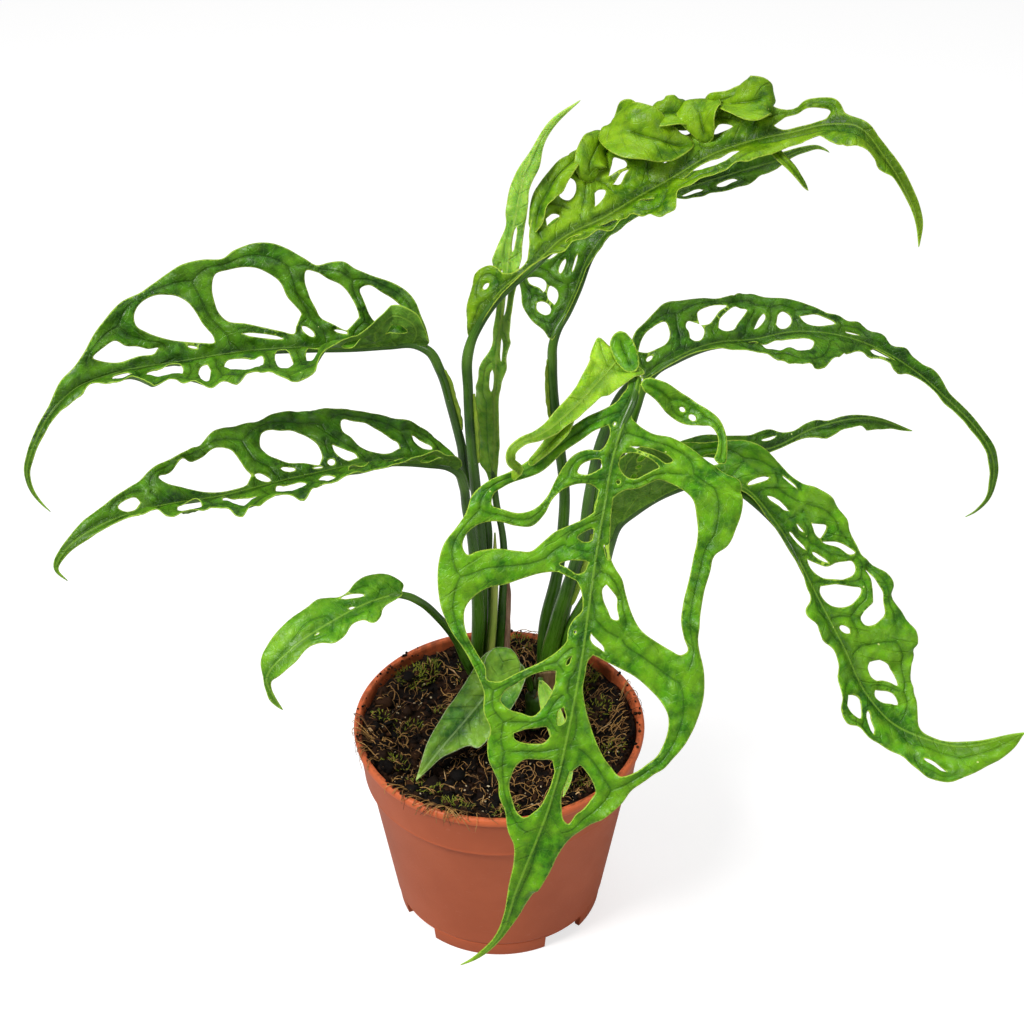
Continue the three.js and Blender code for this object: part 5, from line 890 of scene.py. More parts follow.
# %% Middle left leaf
# flatter, reaching forward.
measured_leaf("middle_left", """
midrib: -14 -2 219, -34 -9 227, -70 -25 231, -99 -41 233, -120 -52 236, -136 -60 235, -145 -65 232,
  -150 -67 228, -153 -69 222, -149 -70 217;
face: 0 0 -0.36 0.93, 125 0 -0.36 0.93, 140 -0.1 -0.45 0.85, 150 -0.3 -0.7 0.5, 156 -0.4 -0.9 0.1,
  168 -0.2 -0.95 0.1;
left: 0 70 15, 15 65 10, 30 44 0, 50 43 0, 60 38 0, 72 31 0, 80 40 0, 95 29 0, 104 42 0, 117 32 0,
  126 55 0, 140 10 0, 168 0 0;
right: 0 20 -2, 125 20 -2, 140 15 0, 155 0 0, 168 0 0;
right_edge: 0 1, 2 4, 4.5 6.5, 7.5 8.5, 12 12.2, 18 14.5, 24 16, 30 18.3, 35 19.5, 40 21, 45 22.5,
  50 24.2, 55 25, 60 25.3, 67 25.2, 73 24.3, 83 25.3, 89 24.2, 95 21.5, 103 19, 107 17.2, 114 15,
  121 11.3, 127 8.7, 135 6, 143 4.5, 152 2, 160 1.2, 168 0;
left_edge: 0 -1, 3 -6, 8 -10, 15 -12, 24 -11, 30 -12, 37 -13, 44 -15, 50 -17, 56 -16, 62 -15, 67 -18,
  72 -19, 77 -16, 82 -16, 89 -18, 95 -20, 99 -15, 105 -13, 112 -12, 117 -13, 122 -9, 127 -5, 135 -3,
  145 -2.2, 156 -1.3, 168 0;
cut: 24 5, 24.3 7, 27 9, 30 12, 34 14.8, 39 16.5, 43.3 17.8, 44 14.5, 42 10.5, 39.5 7, 35 4, 31 2.7,
  27 3.2;
cut: 53.5 5.5, 54.2 11, 57 15.5, 60 17.3, 65 19, 68 20.3, 72 19.7, 74 15, 73.5 11, 70 8, 65 5.7, 59 3.7,
  55 2.9;
cut: 81 5, 82.5 8, 84 12, 86 15.5, 90 17.5, 93 17.7, 97 16.3, 102 15.5, 106 15.8, 110 12.4, 115.5 10.2,
  113 7, 108 5, 103 3.3, 97 1.8, 90 1.3, 83 2.4;
cut: 41 2.4, 41.5 4.2, 45 6.3, 49 9.3, 49 6.5, 47 3.2, 44 1.8;
cut: 123.5 3, 124.5 5, 128 5.2, 131.7 3.3, 130 1.5, 125 1.4;
ovals: 51 3 3.2 2.8 0, 56.5 2 4 0.9 5, 67.5 3.8 6 2.2 12, 77.5 3.1 6.5 2.8 38, 16 7.4 9 2.6 30,
  15 -6 9 4 0, 30 -6.5 9 5 0, 44 -8 8 6 0, 57 -8.5 8 8 0, 71 -8 12 8 0, 91 -8 13 8 0, 109 -6.5 9 6 0;
wave: 0.4 22 0 20""")

# %% Low left leaf
# small and lobed.
measured_leaf("low_left", """
midrib: -36 -28 180, -48 -34 180, -62 -42 177, -77 -50 170, -86 -54 159, -83 -55 151, -81 -55 146;
face: 0 -0.2 -0.6 0.75, 78 -0.2 -0.6 0.75;
left: 0 20 0, 78 0 0;
right: 0 5 -6, 78 0 0;
right_edge: 0 0.8, -1.5 3, 0.5 6, 4 9, 10 10.3, 15 9, 19 7, 22 7, 26 9, 29 10.2, 34 9.6, 41 9.8, 48 8.6,
  54 7.5, 59 5, 63 1.3, 67 1.4, 71 2.2, 75 1.4, 78 0;
left_edge: 0 -0.8, 4 -2.4, 10 -4.5, 13 -8, 17 -9.5, 19 -6.5, 24 -5.5, 29 -8, 33 -8.8, 37 -5.5, 41 -4,
  50 -5, 58 -4.2, 63 -2, 68 -0.4, 78 0;
ovals: 18 4.9 9 1.9 20, 20.5 0.9 2.6 1.3 15, 36.5 -1.3 2 0.8 0;
wave: 0.6 17 1 9""")

# %% Arching leaf
# long and yellow-green, over the top to the right.
measured_leaf("arching", """
midrib: -10 13 266, -5 14 275, 1 15 284, 8 15 291, 16 19 296, 23 25 300, 40 34 305, 52 40 310, 65 44 316,
  78 47 323, 92 48 328, 107 47 332, 120 43 337, 129 39 338, 139 32 329, 147 27 318, 152 24 307,
  153 21 298;
face: 0 -0.5 -0.5 0.7, 20 -0.5 -0.5 0.7, 40 -0.2 -0.5 0.85, 150 -0.2 -0.5 0.85, 170 0.3 -0.6 0.7,
  185 0.5 -0.7 0.3, 200 0.4 -0.9 0.1, 222 0.3 -0.9 0.1;
left: 0 20 0, 222 20 0;
right: 0 20 0, 222 20 0;
right_edge: 0 1, 20 1.4, 44 1.6, 50 5.5, 56 6.8, 66 7, 74 7.3, 79 6, 82 10, 84 14, 88 16.6, 92 16.3,
  96 13.5, 99 10, 104 10, 112 11.4, 120 12.2, 130 11.8, 138 11, 144 8, 152 8, 162 10, 168 11.5, 173 12,
  178 10, 183 7, 190 4.3, 197 1.8, 205 1, 214 0.8, 222 0;
left_edge: 0 -1, 5 -5, 10 -7.5, 16 -10, 20 -12.3, 24 -10.5, 27 -4, 31 -2, 36 -2, 40 -5, 44 -8, 48 -11.5,
  54 -17.5, 60 -19.5, 66 -23.5, 72 -25.5, 80 -26.5, 86 -28, 91 -31, 97 -33, 101.5 -31, 104 -25, 112 -23,
  117 -20.5, 122 -22, 128 -20, 135 -19.7, 139.5 -17, 141 -11, 145 -9, 152 -10, 159 -10, 163 -8.5, 166 -4,
  172 -3, 185 -3, 200 -2.7, 212 -2, 222 0;
cut: 51 -7, 54 -6.5, 57 -8.5, 56 -11, 52.5 -10;
cut: 59.5 -14.5, 62 -12.3, 66 -13.5, 67.5 -16.5, 65.5 -19.5, 62 -18;
cut: 70 -5.5, 74 -6, 77 -8.5, 75 -10, 72 -9.3;
cut: 80.5 -12.3, 84 -12, 88 -12.3, 88.8 -16, 86 -18.3, 83.5 -15.5;
cut: 80.5 -9, 82.5 -7.8, 86 -9.6, 88 -10.6, 84 -10.8;
cut: 106.5 -15, 108 -12.8, 112 -11.5, 115.5 -13, 112 -14, 109 -16;
cut: 119.5 -8, 123 -6.3, 127 -7, 125 -9, 122 -10;
cut: 125 -15.5, 127 -12.5, 130 -11.7, 129 -14.5;
cut: 140.5 -4, 143 -1.9, 149 -1.5, 156 -1.5, 160 -2.5, 161 -4.8, 157 -6.8, 150 -6.6, 144 -6;
cut: 103 3, 110 5.3, 114 7, 118 9.3, 123 9.2, 127 6.5, 126 3.5, 118 2.6, 110 2.4;
ovals: 19 -6 3 2 0, 104 -6.2 9 1.3 0, 87 4.5 6 1.6 10, 55 3.6 7 1.6 5, 70 3.6 8 1.6 0;
wave: 2.4 30 -1.1 20""")

# %% Back leaf
# behind the arching one.
measured_leaf("back", """
midrib: 21 52 243, 25 56 249, 30 60 259, 36 65 273, 46 70 284, 60 75 291, 79 80 296, 97 83 300.5,
  108 84 303.5, 118 84 308, 124 82 310, 128 80 308.5, 129.5 78 305.5;
face: 0 -0.5 -0.5 0.7, 60 -0.4 -0.5 0.75, 100 -0.2 -0.6 0.8, 150 0 -0.7 0.7;
left: 0 10 0, 60 25 0, 150 20 0;
right: 0 20 0, 150 20 0;
right_edge: 0 1, 12 1.4, 30 2, 44 3, 56 5, 66 4.4, 78 5.5, 88 7.6, 98 8.6, 108 7.5, 116 4.5, 124 1.6,
  132 1.2, 141 0;
left_edge: 0 -1, 2 -5, 3 -10, 5 -15, 9 -20, 14 -24, 20 -23, 27 -22, 34 -22, 40 -19, 46 -12.5, 52 -7.5,
  60 -6, 68 -7.5, 76 -8, 84 -6.5, 92 -4.5, 100 -3.6, 108 -4.2, 116 -3.8, 124 -2, 134 -1, 141 0;
cut: 12.3 -6, 15 -5.7, 18.5 -7.5, 18.8 -10.5, 15.5 -11.2, 12.6 -9.3;
cut: 14.6 -12.8, 19.3 -12.4, 19.8 -17, 18 -20.3, 15.7 -18, 15.2 -15;
ovals: 9.4 -9.5 8 4.6 -80, 28 -8.8 6 2.4 -10, 31 -4 7 1.2 -5, 32 -14.5 8 4.5 20, 84 3.8 9 2.2 10,
  98 4.4 9 3 0;
wave: 0.8 18 0 16""")

# %% Unfurling leaf
# young, still rolled, upright in the middle.
measured_leaf("unfurling", """
midrib: -2 23 191.5, -1 23 215, -1 23 238, 1 24 263.5, 3 25 280, 6.6 31 305, 12 37 326, 19.3 41 338,
  31 45 346.5;
face: 0 -0.5 -0.8 0.2, 166 -0.2 -0.95 0.2;
left: 0 10 0, 166 0 0;
right: 0 10 0, 166 0 0;
right_edge: 0 0.8, 10 1.5, 20 2, 33 1.8, 44 1.8, 50 2.8, 56 4, 64 4, 70 5, 78 4, 88 3.8, 100 5, 110 4,
  120 3.6, 130 3.2, 136 4, 145 2, 155 1.2, 166 0;
left_edge: 0 -0.8, 8 -3, 14 -7, 20 -8.5, 30 -8.5, 40 -8.5, 45 -8, 50 -6.5, 56 -6, 64 -2.5, 70 -2.5,
  80 -2.2, 90 -3.5, 98 -6, 104 -4.8, 112 -3, 120 -4, 130 -3.4, 140 -1.2, 155 -0.9, 166 0;
ovals: 50 -1.5 10 2 0, 64 1.5 10 1.4 -5, 84 1 12 1.4 0, 93 -2.6 6 1.4 10, 108 1 10 1.6 0;
wave: 1 24 0 6""")

# %% Right upper leaf
# hooked down at its tip.
measured_leaf("right_upper", """
midrib: 55 20 244, 65 26 248, 81 34 251, 99 41 249, 115 45 250, 135 46 247, 151 44 241, 164 39 234,
  175 33 226, 185 26 218, 191 19 210, 192 15 202, 190 12 194, 186 10 190, 181 7 189;
face: 0 0 -0.36 0.93, 70 0 -0.36 0.93, 90 0.2 -0.36 0.9, 110 0.3 -0.5 0.8, 130 0.4 -0.7 0.6,
  155 0.5 -0.85 0.3, 170 0.3 -0.95 0.1, 191 0.2 -0.95 -0.2;
left: 0 20 -2, 191 10 0;
right: 0 25 0, 191 10 0;
right_edge: 0 1, 10 1.6, 24 2, 30 3.2, 36 6, 42 7.4, 48 10, 53 14, 55.5 18.5, 56 22.5, 59 24.7, 64 25.2,
  69 25, 74 23, 79 19.5, 83 15, 87 10, 91 7, 96 6.8, 102 5.4, 106 5.5, 109 7.5, 112 6.2, 116 3, 122 1.6,
  132 2, 142 2.6, 151 2.4, 160 1.9, 170 2, 178 1.1, 185 0.8, 191 0;
left_edge: 0 -1, 2 -7, 4 -12, 7 -15.5, 12 -17.8, 18 -19.8, 22 -21.3, 27 -20.2, 34 -19.2, 40 -18, 45 -18.6,
  49 -20.2, 54 -20, 58 -17.6, 62 -15.2, 68 -12.8, 74 -11, 79 -8.8, 83 -8.6, 87 -7, 91 -8.2, 96 -6.2,
  101 -6.4, 105 -4, 111 -5.4, 118 -3.8, 123 -4.9, 130 -3, 140 -2.3, 150 -2, 160 -2.3, 170 -1.6, 181 -0.8,
  191 0;
cut: 5 -9.8, 7 -8, 11 -6.8, 15 -6.7, 18 -8.5, 19.3 -11.5, 19.3 -14.5, 16 -15.4, 12 -14.8, 8 -12.5;
cut: 24.3 -5, 25.5 -3.2, 28 -2.8, 30.5 -5, 30.8 -7, 29 -10.8, 27 -12, 25 -10, 25 -7;
cut: 30 -8.8, 32.5 -7.6, 35 -9.4, 38 -12.4, 41.3 -14.4, 39 -15.2, 34 -14.8, 30 -13.4;
cut: 35.5 -5.8, 38 -4.6, 42 -4.6, 45 -7.5, 49 -11, 50.8 -12.7, 48 -13.8, 44 -13.8, 39.5 -11.4, 36.8 -9;
cut: 51 -4.5, 54 -5.3, 57 -8, 56.8 -9.6, 54 -8.2;
cut: 59.7 -4, 61 -2.1, 63.5 -1.9, 66 -4.5, 65.5 -7.5, 63.2 -9, 61 -7.3;
cut: 68.8 -6.3, 71 -3.6, 75 -2.6, 78 -2.9, 82.3 -5, 78 -7.2, 73 -7.7;
cut: 51 4, 52 7.5, 55.5 9.8, 60 12.5, 66 13.6, 70.5 11.8, 71.8 9, 69 6, 62 4, 56 2.6;
cut: 97 3.3, 99.5 4.4, 104 3.8, 108.5 1.9, 104 1.2, 98 1.5;
ovals: 7 -5.3 4 1.8 -10, 48 2.8 4 2.6 0, 89 -2.6 6 1 -5;
wave: 0.4 20 0 20""")

# %% Right long leaf
# the longest, out to the right.
measured_leaf("right_long", """
midrib: 44 8 178, 46 8 184, 52 6 193, 59 4 200, 68 1 208, 80 -4 214, 91 -8 214, 104 -14 202, 114 -20 187,
  121 -26 175, 131 -34 158, 141 -42 140, 151 -48 131, 161 -52 128, 173 -56 127, 197 -62 139;
face: 0 0.1 -0.3 0.9, 50 0.2 -0.5 0.85, 66 0.4 -0.65 0.6, 229 0.4 -0.65 0.6;
left: 0 30 0, 50 20 0, 66 10 0, 229 10 0;
right: 0 95 5, 45 90 5, 66 30 0, 80 10 0, 229 10 0;
right_edge: 0 1, 3 3.5, 9 8.5, 17 15, 26 22, 34 28, 41 28, 48 23, 54 15, 60 6, 68 2, 80 1.6, 95 1.6,
  109 1.5, 114 3, 117 3.6, 120 7.6, 123 9, 127 7, 133 7, 137 5, 144 5.5, 150 8, 155 12, 160 13.5,
  164 14.8, 168 12.3, 172 12.5, 177 10.3, 184 10.3, 190 12.5, 196 14.5, 200.5 14.5, 205 11.5, 211 8.5,
  217 7, 223 4.5, 229 0;
left_edge: 0 -1, 4 -8, 10 -13, 20 -16, 32 -17, 44 -16, 54 -14.5, 60 -16.5, 66 -17.3, 72 -16.2, 78 -16.6,
  84 -19.8, 89 -23, 94 -24.5, 100 -24.7, 107 -23.5, 113 -23.5, 118 -26, 124 -28.6, 129 -29.8, 134 -28,
  139 -27.4, 144 -29.2, 149 -29.8, 156 -28, 162 -25.7, 165 -20.5, 170 -17.8, 176 -15, 181 -12.5, 184 -8,
  187.5 -2.6, 194 -1.2, 206 -1.8, 214 -1.3, 222 -0.8, 229 0;
cut: 93.5 -11.5, 97 -10.3, 100.2 -11.5, 100.2 -15.5, 98 -17.2, 96 -15;
cut: 101.6 -11.8, 103.2 -12.8, 107 -17, 111.5 -20, 111.8 -21.8, 108 -20.3, 104 -16.5;
cut: 104 -3.2, 106 -2.6, 110 -3, 113 -4.8, 116 -9, 118.8 -14, 119.2 -17.8, 117 -20, 114.3 -20, 112 -16,
  110.7 -12, 110 -8.5, 107 -5.5;
cut: 115.6 -3.2, 117.3 -1.8, 121 -1.8, 125 -3.8, 127.5 -7, 128.4 -12, 127.5 -15.8, 125 -17.8, 123 -15.5,
  119.5 -11, 117 -7.5;
cut: 133 -14, 134.5 -12, 138 -11.8, 140.3 -17, 139.8 -21.5, 136 -22.8, 133 -24.2, 126 -24.2, 119.5 -23.8,
  124 -22.8, 129 -20.6, 132.5 -18;
cut: 151.6 -8, 152.8 -5.6, 156 -4.8, 159 -5.7, 162 -9, 167.5 -12.4, 164 -14.2, 160 -14.6, 155 -13.3,
  152.4 -11.4;
cut: 162.5 -4, 164.3 -2.4, 168 -2.8, 171 -5, 174 -7.4, 171 -8.4, 168 -8.5, 165 -6.8;
cut: 156.7 8, 159 10.6, 163 10.8, 166.6 9, 164 5.2, 161 3.4, 158 5;
ovals: 70 -5.8 9.5 1.9 -62, 80.5 -5.4 11 2 -20, 77.5 -14.2 6.5 1 -8, 96 -3.4 10 1.4 -12,
  92.5 -6.6 5 1 -15, 106 -8 7.5 1.8 -30, 135 -3.6 5 2.6 -25, 170 6.4 9 2 38, 196 9 9 1.6 12,
  33.5 17.5 2.5 3 0, 37.5 20.5 2 2 0, 40.5 24 4 3 20, 20 -9 10 6 0, 38 -9 10 6 0, 54 -8 8 5 0;
wave: 0.5 21 0 25""")

# %% Right small leaf
# between them.
measured_leaf("right_small", """
midrib: 62 30 200, 77 34 203, 93 38 200, 108 42 198, 127 48 204, 147 52 206, 170 54 198;
face: 0 0 -0.5 0.85, 113 0 -0.5 0.85;
left: 0 10 0, 113 10 0;
right: 0 10 0, 113 10 0;
right_edge: 0 1, 10 3, 22 4, 36 3.5, 50 1.5, 60 1.5, 66 2.8, 71 5, 75 5.8, 79 4.5, 87 5, 95 4.2, 105 2,
  112 0;
left_edge: 0 -1, 8 -3, 16 -5, 24 -6, 34 -6, 41 -6.2, 47 -7.8, 53 -7, 57 -4, 61 -2.5, 67 -3, 71 -2.8,
  75 -1.4, 81 -1.8, 90 -1.3, 100 -0.9, 112 0;
ovals: 50 -4 8 1.4 0;
wave: 0.5 17 0 7""")

# %% Hanging leaf
# the big one down the front, the most open.
measured_leaf("hanging", """
midrib: 51 -8 263, 49 -14 257, 44 -22 247, 41 -28 238, 39 -34 228, 36 -44 214, 33 -56 198, 30 -68 180,
  26 -80 162, 18.4 -93.8 133, 14.6 -97.4 122.3, 10.2 -100.6 110.4, 5.5 -103.2 96.2, 2 -104.7 82.3,
  -3.5 -104.8 71.6, -10.3 -104.3 63.8, -16.3 -103.8 59.5;
face: 0 0 -0.85 0.5, 243 0 -0.85 0.5;
left: 0 0 0, 243 0 0;
right: 0 0 0, 243 0 0;
right_edge: 0 1.2, 2 3, 6 3, 9 4.2, 12 5, 17 8.5, 22 14, 28 19.5, 34 25, 39 31, 44 38, 48 43, 54 47.5,
  60 48.5, 65 51, 71 54.5, 77 55.5, 84 55, 90 53.5, 96 51, 102 47.5, 107 43.5, 112 39.5, 118 35.5,
  124 32.3, 130 31.3, 136 27.6, 142 27.5, 148 26, 153 22.8, 157 20.3, 162 18.5, 168 14.2, 174 11.5, 179 7,
  187 4.5, 196 3.2, 204 2, 212 1.7, 222 1, 232 0.9, 243 0;
left_edge: 0 -1.2, 5 -1.4, 11 -1.3, 15.5 -1.6, 17.3 -5, 18 -11, 16.7 -18, 17.2 -25, 19.5 -31, 23 -36,
  26 -41, 27 -45.5, 30 -47.3, 36 -47.8, 42 -49, 50 -48, 56 -46, 60 -42.2, 66 -41.5, 76 -40.2, 86 -40,
  95 -41, 102 -43.6, 109 -45.4, 116 -45.2, 123 -43.7, 131 -40.5, 137 -36.7, 142 -32, 147 -27.4, 153 -24,
  159 -19.5, 165 -14.5, 171 -10.8, 178 -9.2, 187 -8.6, 197 -6.4, 206 -4.2, 214 -2, 222 -1.2, 232 -0.8,
  243 0;
cut: 21 5, 22.5 3.6, 27 3.4, 30.3 5, 31 9, 33.5 13.5, 38 16.8, 44 19, 50 21, 55 24.8, 57.2 30, 56.8 36,
  56 40, 52 40.2, 48.5 37, 44 30.5, 40 24, 34 18.5, 28 12.5, 23.5 8.5;
cut: 33.2 4, 34 7.5, 36.5 11, 39 11.6, 39.3 8.5, 37.5 5, 35.2 2.8;
cut: 44 2.8, 42.3 6, 42.8 11, 45 15, 50 19, 56 21, 60.5 24.5, 61.3 30, 60.8 37, 63 44, 67 47.6, 71 48.2,
  73.8 46, 72 42, 70.3 36, 70 28, 69.5 23.5, 65.5 19.5, 62 16.5, 58 10.5, 54.5 5.5, 51.5 2.8;
cut: 58 2.2, 59.5 5.5, 62 7.7, 63.3 5.5, 62.5 2.5, 60 1.9;
cut: 70.2 2.2, 69.9 6, 71 11, 72.3 12.8, 73.3 10, 75 5.5, 73 2.6;
cut: 75 12.5, 76 18, 79 25, 82 31, 84 37, 87 41, 92 44.2, 97 44, 103 41.8, 109 37.8, 114 33.8, 118.5 32.3,
  118.5 28.5, 114.5 22.5, 110.5 17, 107 12.5, 103 8.5, 99.5 6.3, 95 6.2, 91 4.6, 88 2.2, 84 2.4, 79.5 4,
  76.8 6;
cut: 104.3 3.6, 106 5.2, 108.3 5.2, 107 3.8;
cut: 110.8 8.3, 111.2 12.5, 114 17.3, 118 21.7, 122 25.7, 125.5 26.2, 127.6 23, 128.6 18, 128.8 13.5,
  125 10.7, 119 8.7, 114 7.8;
cut: 123 3.4, 124.3 5, 127.5 5, 130 4, 128.8 2.2, 125.5 1.9;
cut: 136 19.2, 138 18.8, 139.4 15, 139 11, 137.5 7.5, 134 6, 131.7 7.5, 132.6 12, 134.2 16.5;
cut: 143.3 3.2, 144.2 8, 144.8 13.5, 147.5 15.4, 152 16.6, 157 16.4, 162 14, 166.5 10.5, 167.2 7, 163 3.4,
  157 2.1, 151 1.6, 146 1.8;
cut: 26 -4.8, 25 -8, 24.5 -14, 25 -19, 26.7 -21.4, 28.6 -19.5, 27.2 -15, 26.6 -9;
cut: 29 -3.2, 33 -2.5, 36 -4, 38 -7, 37.8 -9.8, 35.8 -12.2, 33 -15, 31 -17, 29 -14.5, 27.9 -10, 27.9 -6;
cut: 46 -2.6, 42.5 -6, 41 -11, 38.5 -14.5, 36.3 -18, 37 -22, 39 -27, 42 -31, 47 -33.5, 54 -35, 62 -35,
  71 -34.5, 80 -33.6, 88 -34, 93 -35.8, 97.5 -37.6, 99 -35.5, 97.8 -31, 95 -24.5, 92 -19.5, 87 -15.8,
  80 -12.6, 75 -10.5, 71 -7.3, 66 -4.6, 58 -3.6, 51 -2.6;
cut: 77 -5.2, 78.7 -3.9, 82 -4.4, 86 -6.5, 89.5 -9, 89.5 -11, 85 -10.2, 81.5 -9.8, 79 -7.4;
cut: 95.3 -2, 97.3 -1.8, 99 -3, 100.3 -5.3, 101.4 -7.8, 99.8 -7.4, 97.8 -5.2;
cut: 102.7 -3.8, 105 -2.2, 110 -1.9, 115 -1.9, 121 -3.8, 127 -6.7, 133 -10.2, 138 -14, 141.3 -17.5,
  143.7 -21.5, 142.5 -25, 139.5 -28.5, 136.5 -31.8, 131 -34.4, 125 -35.2, 119.5 -34.3, 115 -30.8,
  111.5 -26, 108.3 -20.5, 106 -14, 104.3 -8.5;
cut: 143.3 -6.8, 145 -10, 148 -13, 151 -14.8, 155 -13.4, 160 -10.5, 164.8 -8.6, 163.5 -6.2, 160 -4.3,
  156 -3, 150 -3.2, 145 -4.2;
ovals: 20 2.9 1.6 1.2 0, 95.5 3.8 1.6 1.2 0, 40 -3.5 1.8 1.8 0, 65.5 -3.2 6 0.9 -22;
wave: 0 30 0 40""")

# %% Low front leaf
# uncut, low over the soil.
measured_leaf("low_front", """
midrib: 2.5 1 121, -3.6 -5 113, -13.7 -13 103.4, -23.8 -21.7 95.5, -31.7 -30 89.5;
face: 0 0 -0.5 0.85, 60 0 -0.5 0.85;
left: 0 5 -3, 60 0 0;
right: 0 5 -6, 60 0 0;
right_edge: 0 0.8, -2.5 2.6, -5 5, -2 8, 4 10, 12 10.2, 20 9.4, 28 9, 35 7.8, 42 6.3, 49 4, 55 1.5, 59 0;
left_edge: 0 -0.8, -2.5 -3, -3.5 -6, -1 -9.3, 4 -11, 12 -11.5, 20 -12, 28 -12, 33 -11.3, 34 -8.5, 40 -5,
  45 -2.5, 52 -1.2, 59 0;
wave: 0.5 15 0 11""")

# %% Bract leaf
# pale, in front of the stems.
measured_leaf("bract", """
midrib: 17 2 112, 20 -7 109.5, 23.3 -18 105, 26.3 -27.7 99, 27.4 -36 93.5, 24.8 -45 89.5;
face: 0 -0.3 -0.8 0.6, 60 -0.3 -0.8 0.6;
left: 0 25 0, 60 10 0;
right: 0 25 0, 60 10 0;
right_edge: 0 0.5, 6 3, 14 4.2, 24 4, 34 3, 42 2, 50 0.5, 53 0;
left_edge: 0 -0.5, 6 -3, 14 -4, 24 -4.2, 34 -3.2, 42 -2.2, 50 -0.6, 53 0;
wave: 0.4 14 0 4""")
# %% [markdown]
# From the top of the big hanging leaf come a broad light sheet that narrows to a curl, a fork of it,
# a twisted strip on the right and a small lobe behind. Each is a ribbon: the same kind of leaf with
# a middle line of its own and half-widths along it. The arching leaf's tip and the round lobe of the
# low leaf are ribbons too.

# %% A ribbon as a leaf of its own
def ribbon(middle, half_widths, facing, wave=(0, 20, 0, 10), lift=0, ovals=()):
    arc = arc_length(smooth_line(middle, 16))[::16]
    wide = smooth_line(np.stack([arc, half_widths], axis=1), 4)
    edge = [(float(s), float(w)) for s, w in wide]
    edge[0], edge[-1] = (edge[0][0], 0.4 * edge[0][1]), (edge[-1][0], 0.0)
    end = arc[-1] + 1
    halves = [(0, lift, 0), (end, lift, 0)]
    return {"midrib": middle, "face": [(0, *facing), (end, *facing)], "left": halves, "right": halves,
            "right_edge": edge, "left_edge": [(s, -w) for s, w in edge], "ovals": ovals, "wave": wave}


TIP_CURL = ribbon([(98.7, 45, 328.6), (102, 41, 326.5), (107.3, 37, 322.4), (113.2, 35, 314.7)],
                  [1.2, 1.8, 1.4, 0.5], (0, -0.6, 0.8))
TWISTED_STRIP = ribbon(
    [(52, -10.3, 261.4), (59.5, -9.8, 256.8), (63.7, -9.4, 252.3), (69.3, -10.6, 248.7),
     (74.6, -13, 248.1), (78.7, -16, 247.4), (81.1, -20, 243.9), (80.9, -24, 240.5), (79.5, -28.6, 238)],
    [2.2, 3.6, 4.4, 4.5, 3.2, 1.9, 1.4, 1.7, 2.4], (0, -0.85, 0.5), (0.3, 11, 0, 4), 5,
    [(19.5, 0.2, 2.7, 2.0, 0), (24.0, 1.4, 3.4, 2.4, 20)])
BACK_LOBE = ribbon([(49.2, -8, 264.2), (46.6, -1.6, 267.1), (44.8, 1.5, 271.1), (44.4, 3, 274.8)],
                   [2.2, 4.2, 4, 1.4], (0, -0.7, 0.6), (0.2, 9, 0, 4), 5)
SILVERY_LOBE = ribbon(
    [(-0.7, -6.5, 116.2), (0.1, -5.5, 120.6), (1.7, -3.5, 125.2), (3.7, -1.5, 128.7), (4.9, 0.5, 129.6)],
    [3, 6.6, 7.4, 5.5, 1.5], (0, -0.75, 0.65), (0.3, 9, 0, 6), -14)
print("the twisted strip has", len(TWISTED_STRIP["right_edge"]), "points on each edge")

# %% [markdown]
# The arching leaf isn't flat at all: between its holes the blade stands up in folded lobes, one
# before the other, with bright rims and dark gaps. Each lobe is one more ribbon that starts on the
# blade, bows a few millimetres away from it and comes back.

# %% Folded lobes of the arching leaf
FOLD_HEIGHT, FOLD_LENGTH, FOLD_REACH = 0.6, 14, 8
# middle line, half-widths, where the upper face looks, phase of the ripple, lift of the sides
ARCHING_LOBES = [ribbon(middle, wide, facing, (FOLD_HEIGHT, FOLD_LENGTH, phase, FOLD_REACH), lift)
                 for middle, wide, facing, phase, lift in (
    ([(42.2, 59, 331.1), (48.7, 50.6, 331.3), (57.7, 47.5, 329.5), (65.2, 48.6, 326.6),
      (72.3, 50.4, 326.6)],
     [7, 11, 9.5, 5.5, 1.6], (-0.35, -0.6, 0.7), 0.0, 14),
    ([(34.2, 41.7, 315.2), (34, 42.2, 321.8), (36.8, 49.3, 325.2), (40.5, 58.7, 326.5)],
     [2.5, 5.5, 6.5, 4], (0.35, -0.7, 0.5), 1.0, -10),
    ([(13.5, 25.8, 303.1), (16.1, 32.1, 310.8), (20.9, 39.2, 316.5), (26.4, 42.2, 321.8),
      (30.9, 48.6, 323.6)],
     [2, 4, 4.5, 3.5, 1.5], (-0.4, -0.6, 0.6), 2.0, 12),
    ([(56.3, 57.4, 335.7), (61.1, 54.1, 336.8), (67.1, 55.6, 336.5), (71.9, 60.7, 336.2)],
     [3.5, 6, 6, 4], (0, -0.7, 0.7), 3.0, 12),
    ([(77.4, 49.9, 327.2), (75.3, 50.4, 332.5), (74.3, 53.9, 336.8), (76.3, 61.7, 338.9)],
     [1.8, 5, 8.5, 5], (-0.35, -0.8, 0.5), 4.0, 16),
    ([(82.6, 58.3, 338.4), (87.3, 52.1, 341.5), (92.5, 50.5, 342.9), (96.9, 51.7, 343.2),
      (100.4, 53.8, 338.7)],
     [3, 6.5, 9, 7.5, 4], (0.2, -0.6, 0.75), 0.0, 14))]
print("folded lobes:", len(ARCHING_LOBES))

# %% [markdown]
# Every leaf is now made with the finish of its age: the old ones deep green, the arching one
# yellow-green, the young ones pale and matt, the low one bluish.

